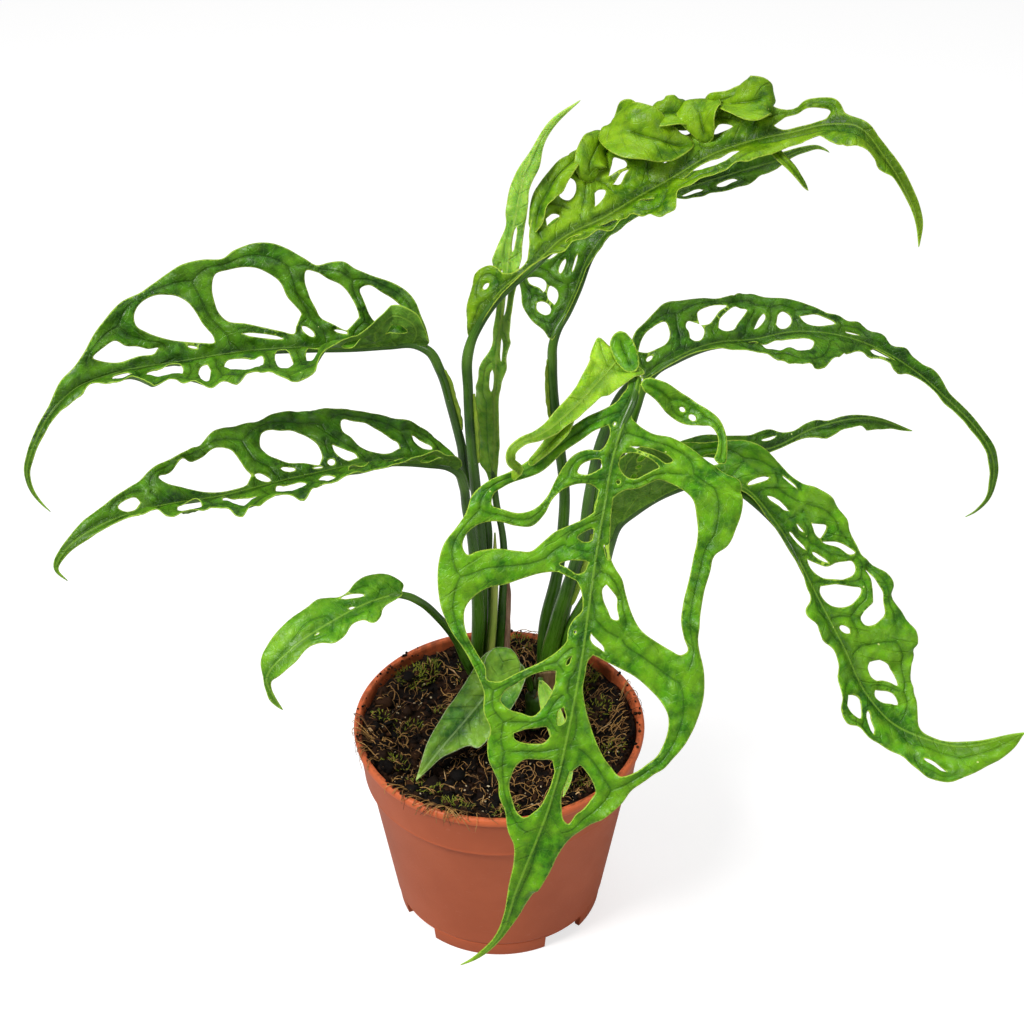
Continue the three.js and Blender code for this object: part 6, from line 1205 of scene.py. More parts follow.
# %% Make the leaves
LEAF_KINDS = {
    "top_left": ("dark", "leaf_dark"), "middle_left": ("dark", "leaf_dark"),
    "low_left": ("fresh", "leaf_mid"), "arching": ("yellow", "leaf_yellow"), "back": ("dark", "leaf_mid"),
    "unfurling": ("young", "leaf_young"), "right_upper": ("dark", "leaf_dark"),
    "right_long": ("mid", "leaf_mid"), "right_small": ("dark", "leaf_dark"), "hanging": ("mid", "leaf_mid"),
    "low_front": ("bluish", "leaf_bluish"), "bract": ("young", "leaf_young"),
}
RUFFLES = {"arching": 2.6, "unfurling": 2.0, "low_front": 0.6, "bract": 0.6, "low_left": 0.6}
EXTRAS = {"arching": [TIP_CURL] + ARCHING_LOBES, "hanging": [TWISTED_STRIP, BACK_LOBE],
          "low_front": [SILVERY_LOBE]}
for number, (leaf, (kind, slot)) in enumerate(LEAF_KINDS.items()):
    make_leaf("leaf_" + leaf, LEAVES[leaf], LEAF_FINISHES[kind], slot, ["blade_" + leaf],
              RUFFLES.get(leaf, RUFFLE), number, EXTRAS.get(leaf, ()))

# %% [markdown]
# The light sheet is a piece of its own, because it shows the pale face of the leaf and so has
# another finish.

# %% The light sheet on the hanging leaf
BROAD_SHEET = ribbon(
    [(45.2, -0.5, 266.7), (42.6, -3.4, 265.1), (39.2, -8.1, 263.8), (34.7, -13.2, 261.5),
     (29.5, -19.3, 258.6), (23.7, -24.5, 255.6), (17.9, -29, 253), (13.3, -32, 252), (8.6, -35, 251.8),
     (5.1, -37.5, 249.7), (4.8, -37, 245.1), (7.3, -35, 240.4), (5.1, -31.5, 234.2)],
    [11, 10, 7.6, 5.6, 4.2, 3.6, 2.5, 1.9, 1.6, 1.6, 1.6, 1.7, 1.7], (0, -0.6, 0.8), (0.3, 13, 0, 8), 5)
FORK = ribbon([(26.2, -23.6, 255.8), (23.7, -25.5, 252), (19.8, -27.5, 247.8), (15.2, -29, 242.8),
               (11.2, -30, 238.8)], [1.8, 2.8, 2.5, 1.7, 1.2], (0, -0.6, 0.8), (0.2, 9, 0, 3), 5)
make_leaf("leaf_hanging_sheet", BROAD_SHEET, LEAF_FINISHES["sheet"], "leaf_mid", seed=31, extra=[FORK])
# %% [markdown]
# ## Stalks
# A petiole is a firm round stalk with a shallow channel on its upper side and a slightly swollen
# knee where the blade begins. A tube swept along a smooth line gives the form; the radius carries
# the channel, the knee and a little unevenness, and the tube runs on under the blade as its rib. Its
# finish is satin, with fine streaks along it, and paler at the knee.

# %% Stalk finish
def stalk_finish(name, codes, gloss):
    """Codes are the light and the deep green, and the streaks."""
    light, deep, streak = [rgb(code) for code in codes.split()]
    paint, tree, skin = new_finish(name)
    flat = named(tree, "flat", "Vector")
    drawn = add(tree, "Mapping", {"Vector": flat, "Scale": (0.12, 1.6, 1.0)}).outputs[0]
    lines = cloudy(tree, drawn, 1.4, 1.2)
    knee = ramp_between(tree, named(tree, "knee"), 0.0, 1.0)
    colour = lay_over(
        tree, blend_colours(tree, cloudy(tree, flat, 22.0, 1.2), light, deep), (lines, 0.2, streak),
        (dotted(tree, flat, 3.2, 0.09), 0.45, rgb("C9D89A")), (knee, 0.55, streak))
    rough = calc(tree, "ADD", times(tree, lines, 0.14), gloss)
    put_on(tree, skin, colour, rough, lines, 0.2, 0.0003)
    skin.inputs["Specular IOR Level"].default_value = 0.5
    let_light_in(skin, 0.06, (0.5, 1.0, 0.2), 0.0015)
    return paint


STALK_GREEN = stalk_finish("stalk green", "437014 1C4408 64902A", 0.22)
STEM_BROWN = stalk_finish("stem brown green", "4A6420 263A0E 6C5A2E", 0.42)
STEM_GREEN = stalk_finish("stem green", "3A6A18 1C4008 5A6A24", 0.34)
SPEAR_PALE = stalk_finish("pale spear", "BCCB5A 8AA838 DADB8A", 0.36)
print("stalk finishes: 4, with a gloss from 0.22 to 0.42")

# %% [markdown]
# A tube is made ring by ring. Each ring stands square to the line, and takes over its first
# direction from the ring before, so that the tube never twists.

# %% Sweep a tube along a route
def tube(centres, radii, sides=20):
    """Points, faces and each point's place along and around, for a closed tube."""
    centres, radii = np.asarray(centres, float), np.asarray(radii, float)
    if radii.ndim == 1:
        radii = np.repeat(radii[:, None], sides, axis=1)
    along = unit(np.gradient(centres, axis=0))
    arc = arc_length(centres)
    side, points, place_on = np.array([1.0, 0, 0]), [], []
    angles = np.arange(sides) * 2 * math.pi / sides
    folded = np.minimum(angles, 2 * math.pi - angles)
    for i in range(len(centres)):
        side = side - along[i] * side.dot(along[i])
        side /= np.linalg.norm(side)
        front = np.cross(along[i], side)
        ring = np.outer(np.cos(angles), side) + np.outer(np.sin(angles), front)
        points.append(centres[i] + ring * radii[i][:, None])
        around = radii[i].mean() * folded
        place_on.append(np.stack([np.full(sides, arc[i]), around, np.zeros(sides)], axis=1))
    last = (len(centres) - 1) * sides
    faces = []
    for i in range(0, last, sides):
        for k in range(sides):
            a, b = i + k, i + (k + 1) % sides
            faces.append((a, b, b + sides, a + sides))
    faces.append(tuple(range(sides))[::-1])
    faces.append(tuple(range(last, last + sides)))
    return np.vstack(points), faces, np.vstack(place_on)


class Parts:
    """Collects several meshes into one piece."""

    def __init__(self):
        self.points, self.faces, self.marks, self.count = [], [], {}, 0

    def join(self, points, faces, **marks):
        """A mark is one number for the whole part, or a row for each of its points."""
        self.faces += [tuple(self.count + v for v in face) for face in faces]
        self.points.append(np.asarray(points, float))
        for key, value in marks.items():
            value = np.full(len(points), value) if np.ndim(value) == 0 else value
            self.marks.setdefault(key, []).append(value)
        self.count += len(points)

    def make(self, name, finish, slot, nodes=(), sharp=None):
        marks = {key: np.concatenate(value) for key, value in self.marks.items()}
        make_piece(name, np.vstack(self.points), self.faces, finish, slot, nodes, marks, sharp)


short_tube = tube([(0, 0, 0), (0, 0, 1), (0, 0, 2)], [1, 1, 1], 8)
print("a tube of 3 rings of 8 sides has", len(short_tube[1]), "faces")

# %% [markdown]
# Each row of a route is x, y, z and the radius there. The route starts down in the stem and ends at
# the blade; from there the tube follows the leaf's own midrib on its underside and thins out.

# %% Routes of the stalks
ROUTES = dict(read_tables("""
top_left: -4.2 22.8 97.5 2.3, -4.3 22.6 104 2.3, -4.8 22 132.8 2.2, -4.4 21.5 158.7 2, -4.8 21 178.7 1.9,
  -9 20 193.8 1.85, -12.4 19 202.5 1.8, -14.1 17 216.8 1.8, -17.6 14 236.3 1.75, -21.3 10.5 254.2 1.8,
  -24.4 8.3 266 1.5;
middle_left: -9.6 12.4 97.5 2.6, -9.5 12.3 104 2.6, -8.3 11.5 141 2.5, -9.2 8 166.2 2.2, -10.4 5.5 183 2,
  -12.1 3 197.1 1.9, -13 0 209.5 1.8, -13.9 -1.7 218.2 1.4;
low_left: -5.6 7.4 97.5 1.9, -6 7.2 101 1.9, -11.8 5 115.3 1.85, -17 -3 137.2 1.7, -23.5 -14 157.4 1.6,
  -29.8 -22 170.9 1.5, -35.6 -27.6 179.5 1.2;
arching: -8.2 18.4 97.5 2.6, -8.2 18.3 104 2.6, -6.8 17.5 136.3 2.5, -7.2 15.5 177.3 2.2,
  -8.9 14.3 201.9 2.1, -10.2 13.8 220.2 2, -11 13.3 244.2 1.9, -11 13 258.7 1.9, -10.2 13 265.2 1.4;
back: 18.4 24.4 97.5 2.6, 18.4 24.6 104 2.6, 19.3 28 120.2 2.6, 24.1 33 142.4 2.5, 26.4 37 164.3 2.3,
  26.9 40 177 2.2, 24.9 44 196.7 2.1, 22.5 48 215.4 2, 21.6 51 232.1 1.9, 21 51.9 242.2 1.4;
unfurling: -0.4 17.2 97.5 2.1, -0.3 17.4 104 2.1, 1.4 20 134.4 1.8, 1.7 22 171.1 1.4, -1.9 23 190.8 1.1;
right_upper: 25.4 22.8 97.5 2.5, 25.4 22.8 104 2.5, 26.5 22 127.5 2.4, 31.7 21 153.8 2.3,
  35 20.5 169.1 2.2, 38.9 20 188.8 2.1, 44.4 20 203 2, 49.4 20 216.9 1.9, 52.8 20 231.4 1.8,
  54.8 20 243.1 1.4;
right_long: 27.4 15.6 97.5 2.5, 27.4 15.5 104 2.5, 29.1 13.5 129 2.4, 35.9 11 148.3 2.2, 41.8 9.3 163.5 2,
  43.8 8.4 176.9 1.5;
right_small: 23.6 28.6 97.5 1.7, 23.6 28.7 102 1.7, 25.5 30 121.2 1.6, 37.3 30 152.2 1.5,
  48.1 30 174.6 1.4, 61.3 30 199.3 1.1;
hanging: 19.6 16.4 97.5 3.7, 19.7 16.3 104 3.7, 23.8 14 131.7 3.3, 30 9 162.8 2.7, 33.1 6.5 179.2 2.5,
  35.1 2 204.5 2.3, 39.4 -3.5 234.4 2.1, 46.5 -5.6 254.5 1.9, 50.5 -6.9 262 1.4;
low_front: 13.2 9 100.5 1.6, 13 8.9 103 1.6, 10 7 113 1.5, 5.5 3.4 119.4 1.4, 3.2 1.8 120.4 1;
bract: 16.6 8 100.5 1.3, 16.6 7.9 103 1.3, 17 5.5 109.5 1.2, 17 2.8 111.6 0.8"""))
print("stalks:", len(ROUTES))

# %% [markdown]
# Under the blade the tube lies just below the midrib at a few shares of its length. The last point of
# the route is moved towards both its neighbours, which rounds the knee.

# %% Make the stalks
STALK_SIDES = 20
RIB_SHARES = np.array([0.03, 0.08, 0.15, 0.25, 0.37, 0.5, 0.63])
RIB_ENDS_AT = 0.66
KNEE_SWELL, KNEE_BEFORE, KNEE_LONG = 0.06, 5, 6
CHANNEL_DEEP, CHANNEL_WIDE = 0.10, 0.35
UNEVEN, UNEVEN_SIZE = 0.035, 9


def with_rib(rows, surface):
    """The route, led on under the blade."""
    s = RIB_SHARES * surface.length
    rows[-1, 3] = 0.92 * rows[-2, 3]
    thin = rows[-1, 3] * (1 - RIB_SHARES / RIB_ENDS_AT) ** 0.75
    deep = (0.3 + 0.8 * thin) * np.clip(RIB_SHARES / 0.12, 0.35, 1)
    under = surface.on_midrib(s) - surface.frame(s)[1] * deep[:, None]
    rib = np.hstack([under, thin[:, None]])
    rows[-1] = 0.5 * rows[-1] + 0.25 * (rows[-2] + rib[0])
    return np.vstack([rows, rib])


angles = np.arange(STALK_SIDES) * 2 * math.pi / STALK_SIDES
channel = 1 - CHANNEL_DEEP * np.exp(-((angles - math.pi / 2) / CHANNEL_WIDE) ** 2)
for leaf, route in ROUTES.items():
    rows = with_rib(np.array(route, float), LeafSurface(LEAVES[leaf]))
    line = spaced(smooth_line(rows, 12), 1.5)
    arc = arc_length(line[:, :3])
    knee_at = arc[np.argmin(np.linalg.norm(line[:, :3] - np.array(route[-1][:3]), axis=1))]
    knee = np.exp(-((arc - knee_at + KNEE_BEFORE) / KNEE_LONG) ** 2)
    around = np.stack([np.repeat(arc, STALK_SIDES), np.tile(np.cos(angles) * 4, len(arc)),
                       np.tile(np.sin(angles) * 4, len(arc))], axis=1)
    uneven = 1 + UNEVEN * swells(around, UNEVEN_SIZE, len(leaf)).reshape(len(arc), STALK_SIDES)
    radii = line[:, 3:4] * uneven * channel[None] * (1 + KNEE_SWELL * knee)[:, None]
    radii[0] *= 0.6
    radii[-1] *= 0.5
    points, faces, flat = tube(line[:, :3], radii, STALK_SIDES)
    marks = {"flat": flat + np.array([17.0 * len(leaf), 0, 0]), "knee": np.repeat(knee, STALK_SIDES)}
    make_piece("stalk_" + leaf, points, faces, STALK_GREEN, "petiole", ["petiole_" + leaf], marks)

# %% [markdown]
# The papery wings on some stalks are what is left of the sheath that held the next leaf. A wing is
# a thin strip that stands off the stalk's side, widest at its middle, with a crinkled edge. The
# dried one beside the youngest leaf is pink-brown and crumpled.

# %% Papery finish
def papery_finish(name, codes, rough):
    """Codes are the light and the deep colour, and the lines."""
    light, deep, line = [rgb(code) for code in codes.split()]
    paint, tree, skin = new_finish(name)
    flat = named(tree, "flat", "Vector")
    drawn = add(tree, "Mapping", {"Vector": flat, "Scale": (0.15, 2.2, 1.0)}).outputs[0]
    lines = cloudy(tree, drawn, 1.2, 1.5)
    blots = blend_colours(tree, cloudy(tree, flat, 6.0, 1.4), light, deep)
    colour = lay_over(tree, blots, (lines, 0.5, line))
    put_on(tree, skin, colour, calc(tree, "ADD", times(tree, lines, 0.15), rough), lines, 0.6, 0.0004)
    let_light_in(skin, 0.15, (1.0, 0.8, 0.3), 0.001)
    return paint


WING_GREEN = papery_finish("wing green", "9CC028 709C1E C2D858", 0.42)
DRY_SHEATH = papery_finish("dried sheath", "A9806A 76503E C7A68C", 0.7)
OLD_SCALE = papery_finish("old brown scale", "86663F 4C3621 B09468", 0.72)
print("papery finishes:", [paint.name for paint in (WING_GREEN, DRY_SHEATH, OLD_SCALE)])

# %% [markdown]
# A sheath is thin but not without thickness: the strip gets two faces and a border all round, and
# thins towards its outer edge.

# %% A thin closed strip
THIN_EDGE = 0.45


def strip_piece(name, rows, finish, slot, nodes, thick=0.4, seed=0):
    """A thin closed strip; rows is a list of lines across it, each with the same number of points."""
    grid = np.asarray(rows, float)
    n, m = grid.shape[:2]
    along, across = np.gradient(grid, axis=0), np.gradient(grid, axis=1)
    up = np.cross(across, along)
    up /= np.linalg.norm(up, axis=2, keepdims=True).clip(1e-9)
    thin = thick / 2 * np.where(np.arange(m) == m - 1, THIN_EDGE, 1.0)[None, :, None]
    points = np.vstack([(grid + up * thin).reshape(-1, 3), (grid - up * thin).reshape(-1, 3)])
    faces, half = [], n * m
    for i in range(n - 1):
        for k in range(m - 1):
            a, b, c, e = i * m + k, i * m + k + 1, (i + 1) * m + k + 1, (i + 1) * m + k
            faces += [(a, b, c, e), (half + e, half + c, half + b, half + a)]
    border = [(i * m, (i + 1) * m) for i in range(n - 1)]
    border += [((n - 1) * m + k, (n - 1) * m + k + 1) for k in range(m - 1)]
    border += [((i + 1) * m + m - 1, i * m + m - 1) for i in range(n - 1)]
    border += [(k + 1, k) for k in range(m - 1)]
    faces += [(a, b, half + b, half + a) for a, b in border]
    page = np.meshgrid(np.arange(n) * 1.0, np.arange(m) * 0.6, indexing="ij")
    flat = np.stack(page + [np.full((n, m), 5.0 * seed)], axis=2).reshape(-1, 3)
    make_piece(name, points, faces, finish, slot, nodes, {"flat": np.tile(flat, (2, 1))})


print("the outer edge of a strip is", THIN_EDGE, "as thick as the rest")

# %% [markdown]
# Each wing runs along a share of its stalk's route. Six lines side by side, each further out and
# more crinkled than the one before, make its strip.

# %% Sheath wings
WING_LINES, WING_ROWS = 6, 46
# leaf: from and to (as shares of the route), side, width, finish, slot
WINGS = {
    "top_left": (0.74, 0.9, 1, 1.6, WING_GREEN, "pale_sheath"),
    "arching": (0.56, 0.74, 1, 1.6, WING_GREEN, "pale_sheath"),
    "back": (0.72, 0.92, -1, 1.6, WING_GREEN, "pale_sheath"),
    "unfurling": (0.06, 0.6, 1, 2.4, DRY_SHEATH, "dry_sheath"),
    "right_upper": (0.48, 0.66, 1, 3.0, WING_GREEN, "pale_sheath"),
    "hanging": (0.3, 0.52, 1, 2.6, WING_GREEN, "pale_sheath"),
}
for number, (leaf, (start, end, side, width, finish, slot)) in enumerate(WINGS.items()):
    line = smooth_line(ROUTES[leaf], 12)
    at = np.linspace(start * (len(line) - 1), end * (len(line) - 1), WING_ROWS)
    centre = np.stack([np.interp(at, np.arange(len(line)), line[:, k]) for k in range(4)], axis=1)
    along = unit(np.gradient(centre[:, :3], axis=0))
    out = np.tile([side, -0.35, 0.0], (len(at), 1))
    out = unit(out - along * np.sum(out * along, axis=1, keepdims=True))
    front = np.cross(along, out)
    share = np.linspace(0, 1, len(at))
    reach = 0.3 + width * np.sin(math.pi * (0.06 + 0.88 * share)) ** 0.7
    reach *= 1 + 0.22 * swells(np.stack([share * 40, share * 0], axis=1), 3.1, number)
    lines = []
    for t in np.arange(WING_LINES) / (WING_LINES - 1):
        crinkle = swells(np.stack([share * 46, share * 0 + t * 2], axis=1), 4.0, number + 9)
        curl = 0.9 * t * t * width * 0.35 + 0.35 * t * crinkle
        away = centre[:, 3] - 0.25 + t * reach
        lines.append(centre[:, :3] + out * away[:, None] + front * curl[:, None])
    strip_piece("wing_" + leaf, np.stack(lines, axis=1), finish, slot, ["sheath_" + leaf], seed=number)

# %% [markdown]
# ## Stems
# The short stems are squat stumps at soil level, ringed by the scars of old leaves and wrapped in
# brown sheath scales. A tube whose radius swells at every ring gives the stump, and thin curved
# scales around it, made with the same strip as the wings, give the old sheaths.

# %% Stumps with rings
STUMP_FOOT, STUMP_ROWS, STUMP_SIDES = 76, 60, 48
# x, y, radius, top, how many rings, finish
STUMPS = {"left": (-5.5, 15.6, 8.0, 97.0, 4, STEM_BROWN), "right": (23.0, 21.5, 8.4, 97.0, 4, STEM_BROWN),
          "front": (14.5, 8.5, 3.7, 100.0, 3, STEM_GREEN)}
angles = np.arange(STUMP_SIDES) * 2 * math.pi / STUMP_SIDES
for number, (name, (x, y, radius, top, rings, finish)) in enumerate(STUMPS.items()):
    heights = np.linspace(STUMP_FOOT, top, STUMP_ROWS)
    share = (heights - STUMP_FOOT) / (top - STUMP_FOOT)
    scar = np.abs(np.sin(math.pi * rings * share))
    swell = 0.9 + 0.12 * scar ** 0.5
    swell *= np.where(share > 0.9, np.sqrt(np.clip((1 - share) / 0.1, 0, 1)) * 0.35 + 0.65, 1)
    around = np.stack([np.repeat(heights, STUMP_SIDES), np.tile(np.cos(angles) * radius, STUMP_ROWS),
                       np.tile(np.sin(angles) * radius, STUMP_ROWS)], axis=1)
    rough = 1 + 0.06 * swells(around, 4.0, number) + 0.03 * swells(around, 1.3, number + 1)
    rough = rough.reshape(STUMP_ROWS, STUMP_SIDES)
    centre = np.stack([np.full(STUMP_ROWS, x), np.full(STUMP_ROWS, y), heights], axis=1)
    points, faces, flat = tube(centre, radius * swell[:, None] * rough, STUMP_SIDES)
    make_piece("stump_" + name, points, faces, finish, "stem", ["stem_" + name],
               {"flat": flat, "knee": np.repeat(1 - scar ** 0.4, STUMP_SIDES)})

# %% [markdown]
# Between the stalks of the left stem stands the spear of the next leaf, still rolled up tight.

# %% Young spear
SPEAR_ROUTE = [(-4.2, 13.8, 97.5, 1.7), (-4.1, 13.9, 104, 1.7), (-1.9, 15.8, 137.9, 1.5),
               (-1.4, 16.8, 157.3, 1.3), (-1.3, 17.4, 175, 0.35)]
spear_line = spaced(smooth_line(SPEAR_ROUTE, 12), 1.5)
points, faces, flat = tube(spear_line[:, :3], spear_line[:, 3])
make_piece("spear_of_the_next_leaf", points, faces, SPEAR_PALE, "pale_sheath", ["young_spear"],
           {"flat": flat, "knee": np.zeros(len(points))})

# %% [markdown]
# Brown sheath scales hug the foot of the stalks. Each is a short strip bent around its stalk, with
# an uneven upper edge that frays away from it.

# %% Brown scales
# x, y, radius, foot, top, turn, how far round
SCALES = [(14.5, 7.8, 3.7, 84, 94, -1.2, 1.2), (13.2, 8.2, 2.2, 99, 104, -0.6, 1.2),
          (-5.5, 15.6, 7.4, 84, 101, -1.9, 1.8), (-5.5, 15.6, 7.9, 84, 97, -0.3, 1.6),
          (-5.5, 15.6, 7.8, 84, 96, 2.9, 1.9), (23, 21.5, 8.2, 84, 101, -1.6, 1.7),
          (23, 21.5, 8.4, 84, 97, -2.9, 1.5), (23, 21.5, 8.4, 84, 98, 0.1, 1.6),
          (-8.5, 12.4, 3.0, 94, 109, -1.8, 2.2), (19.8, 16, 4.2, 96, 110, -1.5, 2.0)]
ACROSS, UPWARD = 9, 12
for number, (x, y, radius, low, high, turn, reach) in enumerate(SCALES):
    rows = np.empty((UPWARD, ACROSS, 3))
    for k, t in enumerate(np.arange(ACROSS) / (ACROSS - 1)):
        angle = turn + reach * (t - 0.5)
        top = high - 3.2 * abs(2 * t - 1) ** 1.5 + 1.0 * float(swells([[5 * t, number]], 1.0, 2)[0])
        for j, s in enumerate(np.arange(UPWARD) / (UPWARD - 1)):
            away = radius + (0.5 + 1.3 * s * s + 0.4 * float(swells([[4 * t, 4 * s]], 1.0, number)[0]))
            rows[j, k] = (x + away * math.cos(angle), y + away * math.sin(angle), low + (top - low) * s)
    strip_piece("old_scale_%d" % number, rows, OLD_SCALE, "dry_sheath", (), thick=0.35, seed=40 + number)

# %% [markdown]
# ## Pot
# A nursery pot is moulded in thin plastic: a cone with a collar, a rounded lip and a foot ring with
# four square notches. The plastic is satin, with a very fine grain that the pot shares with the soil
# and the roots, so that this grain is one more node group.

# %% Fine grain
IN_MM = (1000, 1000, 1000)
grain, entry, leave = new_group("fine_grain", [("Place", "Vector", None), ("Size", "Float", 0.6)],
                                ["Height", "Mask"])
grains = noise(grain, entry["Place"], calc(grain, "DIVIDE", 1.0, entry["Size"]), 3.0, 0.6)["Fac"]
grain.links.new(grains, leave["Height"])
grain.links.new(ramp_between(grain, grains, 0.35, 0.65), leave["Mask"])


def place_in_mm(tree):
    where = add(tree, "NewGeometry").outputs["Position"]
    return add(tree, "VectorMath", {0: where, 1: IN_MM}, operation="MULTIPLY").outputs[0]


print("inputs of the grain:", [s.name for s in grain.interface.items_tree if s.in_out == "INPUT"])

# %% [markdown]
# The colour of the plastic drifts a little, its lip carries a painted highlight, and it has faint
# scratches, a few dirty specks and soil dust inside the rim.

# %% Plastic finish
plastic, tree, skin = new_finish("terracotta-coloured plastic")
where = place_in_mm(tree)
broad = cloudy(tree, where, 45.0, 0.9)
fine = place(tree, grain, Place=where, Size=0.55)
drawn = add(tree, "Mapping", {"Vector": where, "Rotation": (0.3, 0.5, 0.2), "Scale": (0.05, 0.9, 0.9)})
scratches = ramp_between(tree, noise(tree, drawn.outputs[0], 0.9, 1.0)["Fac"], 0.70, 0.74)
dusty = times(tree, named(tree, "soiled"), cloudy(tree, where, 3.5, 2.2))
# The top band of the rim is painted lighter: a painted highlight on the lip.
colour = lay_over(
    tree, blend_colours(tree, broad, rgb("C4643E"), rgb("B45A38")), (named(tree, "lip"), 0.8, rgb("D86C3E")),
    (scratches, 0.22, rgb("C9775A")), (dotted(tree, where, 9.0, 0.05), 0.6, rgb("5A3526")),
    (dusty, 0.4, rgb("5A3420")))
rough = calc(tree, "ADD", times(tree, broad, 0.08), times(tree, fine["Mask"], 0.05))
height = calc(tree, "SUBTRACT", fine["Height"], times(tree, scratches, 0.6))
put_on(tree, skin, colour, calc(tree, "ADD", rough, 0.42), height, 0.12, 0.0002)
skin.inputs["Specular IOR Level"].default_value = 0.26
skin.inputs["Subsurface Weight"].default_value = 0.03
skin.inputs["Subsurface Scale"].default_value = 0.002
print("plastic has", len(tree.nodes), "nodes")

# %% [markdown]
# A lathe gives the whole pot from one profile. The corners get small roundings in the profile
# itself, so that each catches a thin line of light, as moulded plastic does.

# %% Profile of the pot, as measured
RIM, TALL, WALL = 60.0, 92.8, 1.7
COLLAR_FOOT, COLLAR, BODY_TOP, BODY_FOOT = 70.2, 56.4, 54.9, 44.6
FOOT_TALL, FOOT, FOOT_INNER, UNDERSIDE, FLOOR_THICK = 7.4, 43.4, 40.8, 5.8, 2.2


def rounded(profile, radius=0.35, steps=3):
    """The profile with each corner cut into a small curve."""
    out = [profile[0]]
    for before, corner, after in zip(profile, profile[1:], profile[2:]):
        a, b, c = np.array(before), np.array(corner), np.array(after)
        back, on = np.linalg.norm(a - b), np.linalg.norm(c - b)
        cut = min(radius, 0.45 * back, 0.45 * on)
        start, end = b + (a - b) / back * cut, b + (c - b) / on * cut
        for t in np.linspace(0, 1, steps + 1):
            out.append(tuple((1 - t) ** 2 * start + 2 * t * (1 - t) * b + t * t * end))
    return np.array(out + [profile[-1]])


PROFILE = rounded([
    (FOOT_INNER, UNDERSIDE), (FOOT_INNER + 0.4, 0), (FOOT, 0), (FOOT + 0.9, FOOT_TALL - 0.5),
    (FOOT + 0.35, FOOT_TALL - 0.1), (BODY_FOOT - 0.1, FOOT_TALL + 0.2), (BODY_FOOT + 0.2, FOOT_TALL + 0.9),
    (BODY_TOP - 0.3, COLLAR_FOOT + 0.2), (COLLAR - 0.1, COLLAR_FOOT + 0.25),
    (COLLAR + 0.05, COLLAR_FOOT + 0.9), (COLLAR, COLLAR_FOOT + 1.8), (RIM - 1.4, TALL - 4.2),
    (RIM - 0.2, TALL - 3.2), (RIM, TALL - 1.8), (RIM - 0.3, TALL - 0.5), (RIM - 1.1, TALL),
    (RIM - 2.4, TALL - 0.2), (RIM - 2.9, TALL - 1.2),
    (RIM - 3.1, TALL - 3.8), (COLLAR - 1.8, COLLAR_FOOT + 1.6), (BODY_TOP - WALL, COLLAR_FOOT - 0.2),
    (BODY_FOOT - WALL + 0.1, FOOT_TALL + 1.4), (FOOT_INNER - 0.3, UNDERSIDE + FLOOR_THICK)])
print("pot profile points:", len(PROFILE))

# %% [markdown]
# The notches are made without cutting: where the ring passes a notch, the lowest lines of the
# profile are lifted to the notch's height. The columns of the lathe are moved so that two of them
# stand right beside each other at a notch's side, which makes the side upright. Above its middle the
# pot is very slightly out of round, as every thin pot is.

# %% Turn the pot
SIDES, HAIR = 288, 0.0006
NOTCHES, FIRST_NOTCH, NOTCH_WIDE, NOTCH_TALL = 4, -51.5, 19.0, 5.6
SOILED_ABOVE = 72
notch_half = math.asin(NOTCH_WIDE / 2 / FOOT)
notch_turns = [math.radians(FIRST_NOTCH + 90 * n - 90) for n in range(NOTCHES)]
turns = list(np.arange(SIDES) * 2 * math.pi / SIDES)
turns += [(middle + end * (notch_half + hair)) % (2 * math.pi)
          for middle in notch_turns for end in (-1, 1) for hair in (-HAIR, HAIR)]
turns = np.array(sorted(turns))
from_notch = [np.abs((turns - middle + math.pi) % (2 * math.pi) - math.pi) for middle in notch_turns]
in_notch = np.min(from_notch, axis=0) < notch_half
within = np.arange(len(PROFILE)) >= np.argmax(PROFILE[:, 1])
points, lip, soiled = [], [], []
for turn, notch in zip(turns, in_notch):
    r, z = PROFILE.T
    if notch:
        z = np.maximum(z, NOTCH_TALL)
    out_of_round = 0.12 * math.sin(3 * turn + 0.6) + 0.05 * math.sin(7 * turn)
    r = r + out_of_round * np.clip((z - 60) / 30, 0, 1)
    points.append(np.stack([r * math.cos(turn), r * math.sin(turn), z], axis=1))
    # The top 4.6 mm of the rim get the mark for the painted highlight on the lip.
    lip.append(np.clip((z - (TALL - 4.6)) / 0.8, 0, 1))
    dirt = np.where(within & (z > SOILED_ABOVE), 0.9, 0)
    soiled.append(dirt + 0.5 * np.clip((z - (TALL - 0.8)) / 0.6, 0, 1))
n = len(PROFILE)
faces = []
for i in range(len(turns)):
    j = (i + 1) % len(turns)
    faces += [(i * n + k, j * n + k, j * n + k + 1, i * n + k + 1) for k in range(n - 1)]
pot = Parts()
pot.join(np.vstack(points), faces, lip=np.concatenate(lip), soiled=np.concatenate(soiled))
print("notched columns:", int(in_notch.sum()), "of", len(turns))

# %% [markdown]
# The floor of the pot has six drain holes. It is a disc of triangles with the holes left out, made
# twice and joined by the holes' walls.

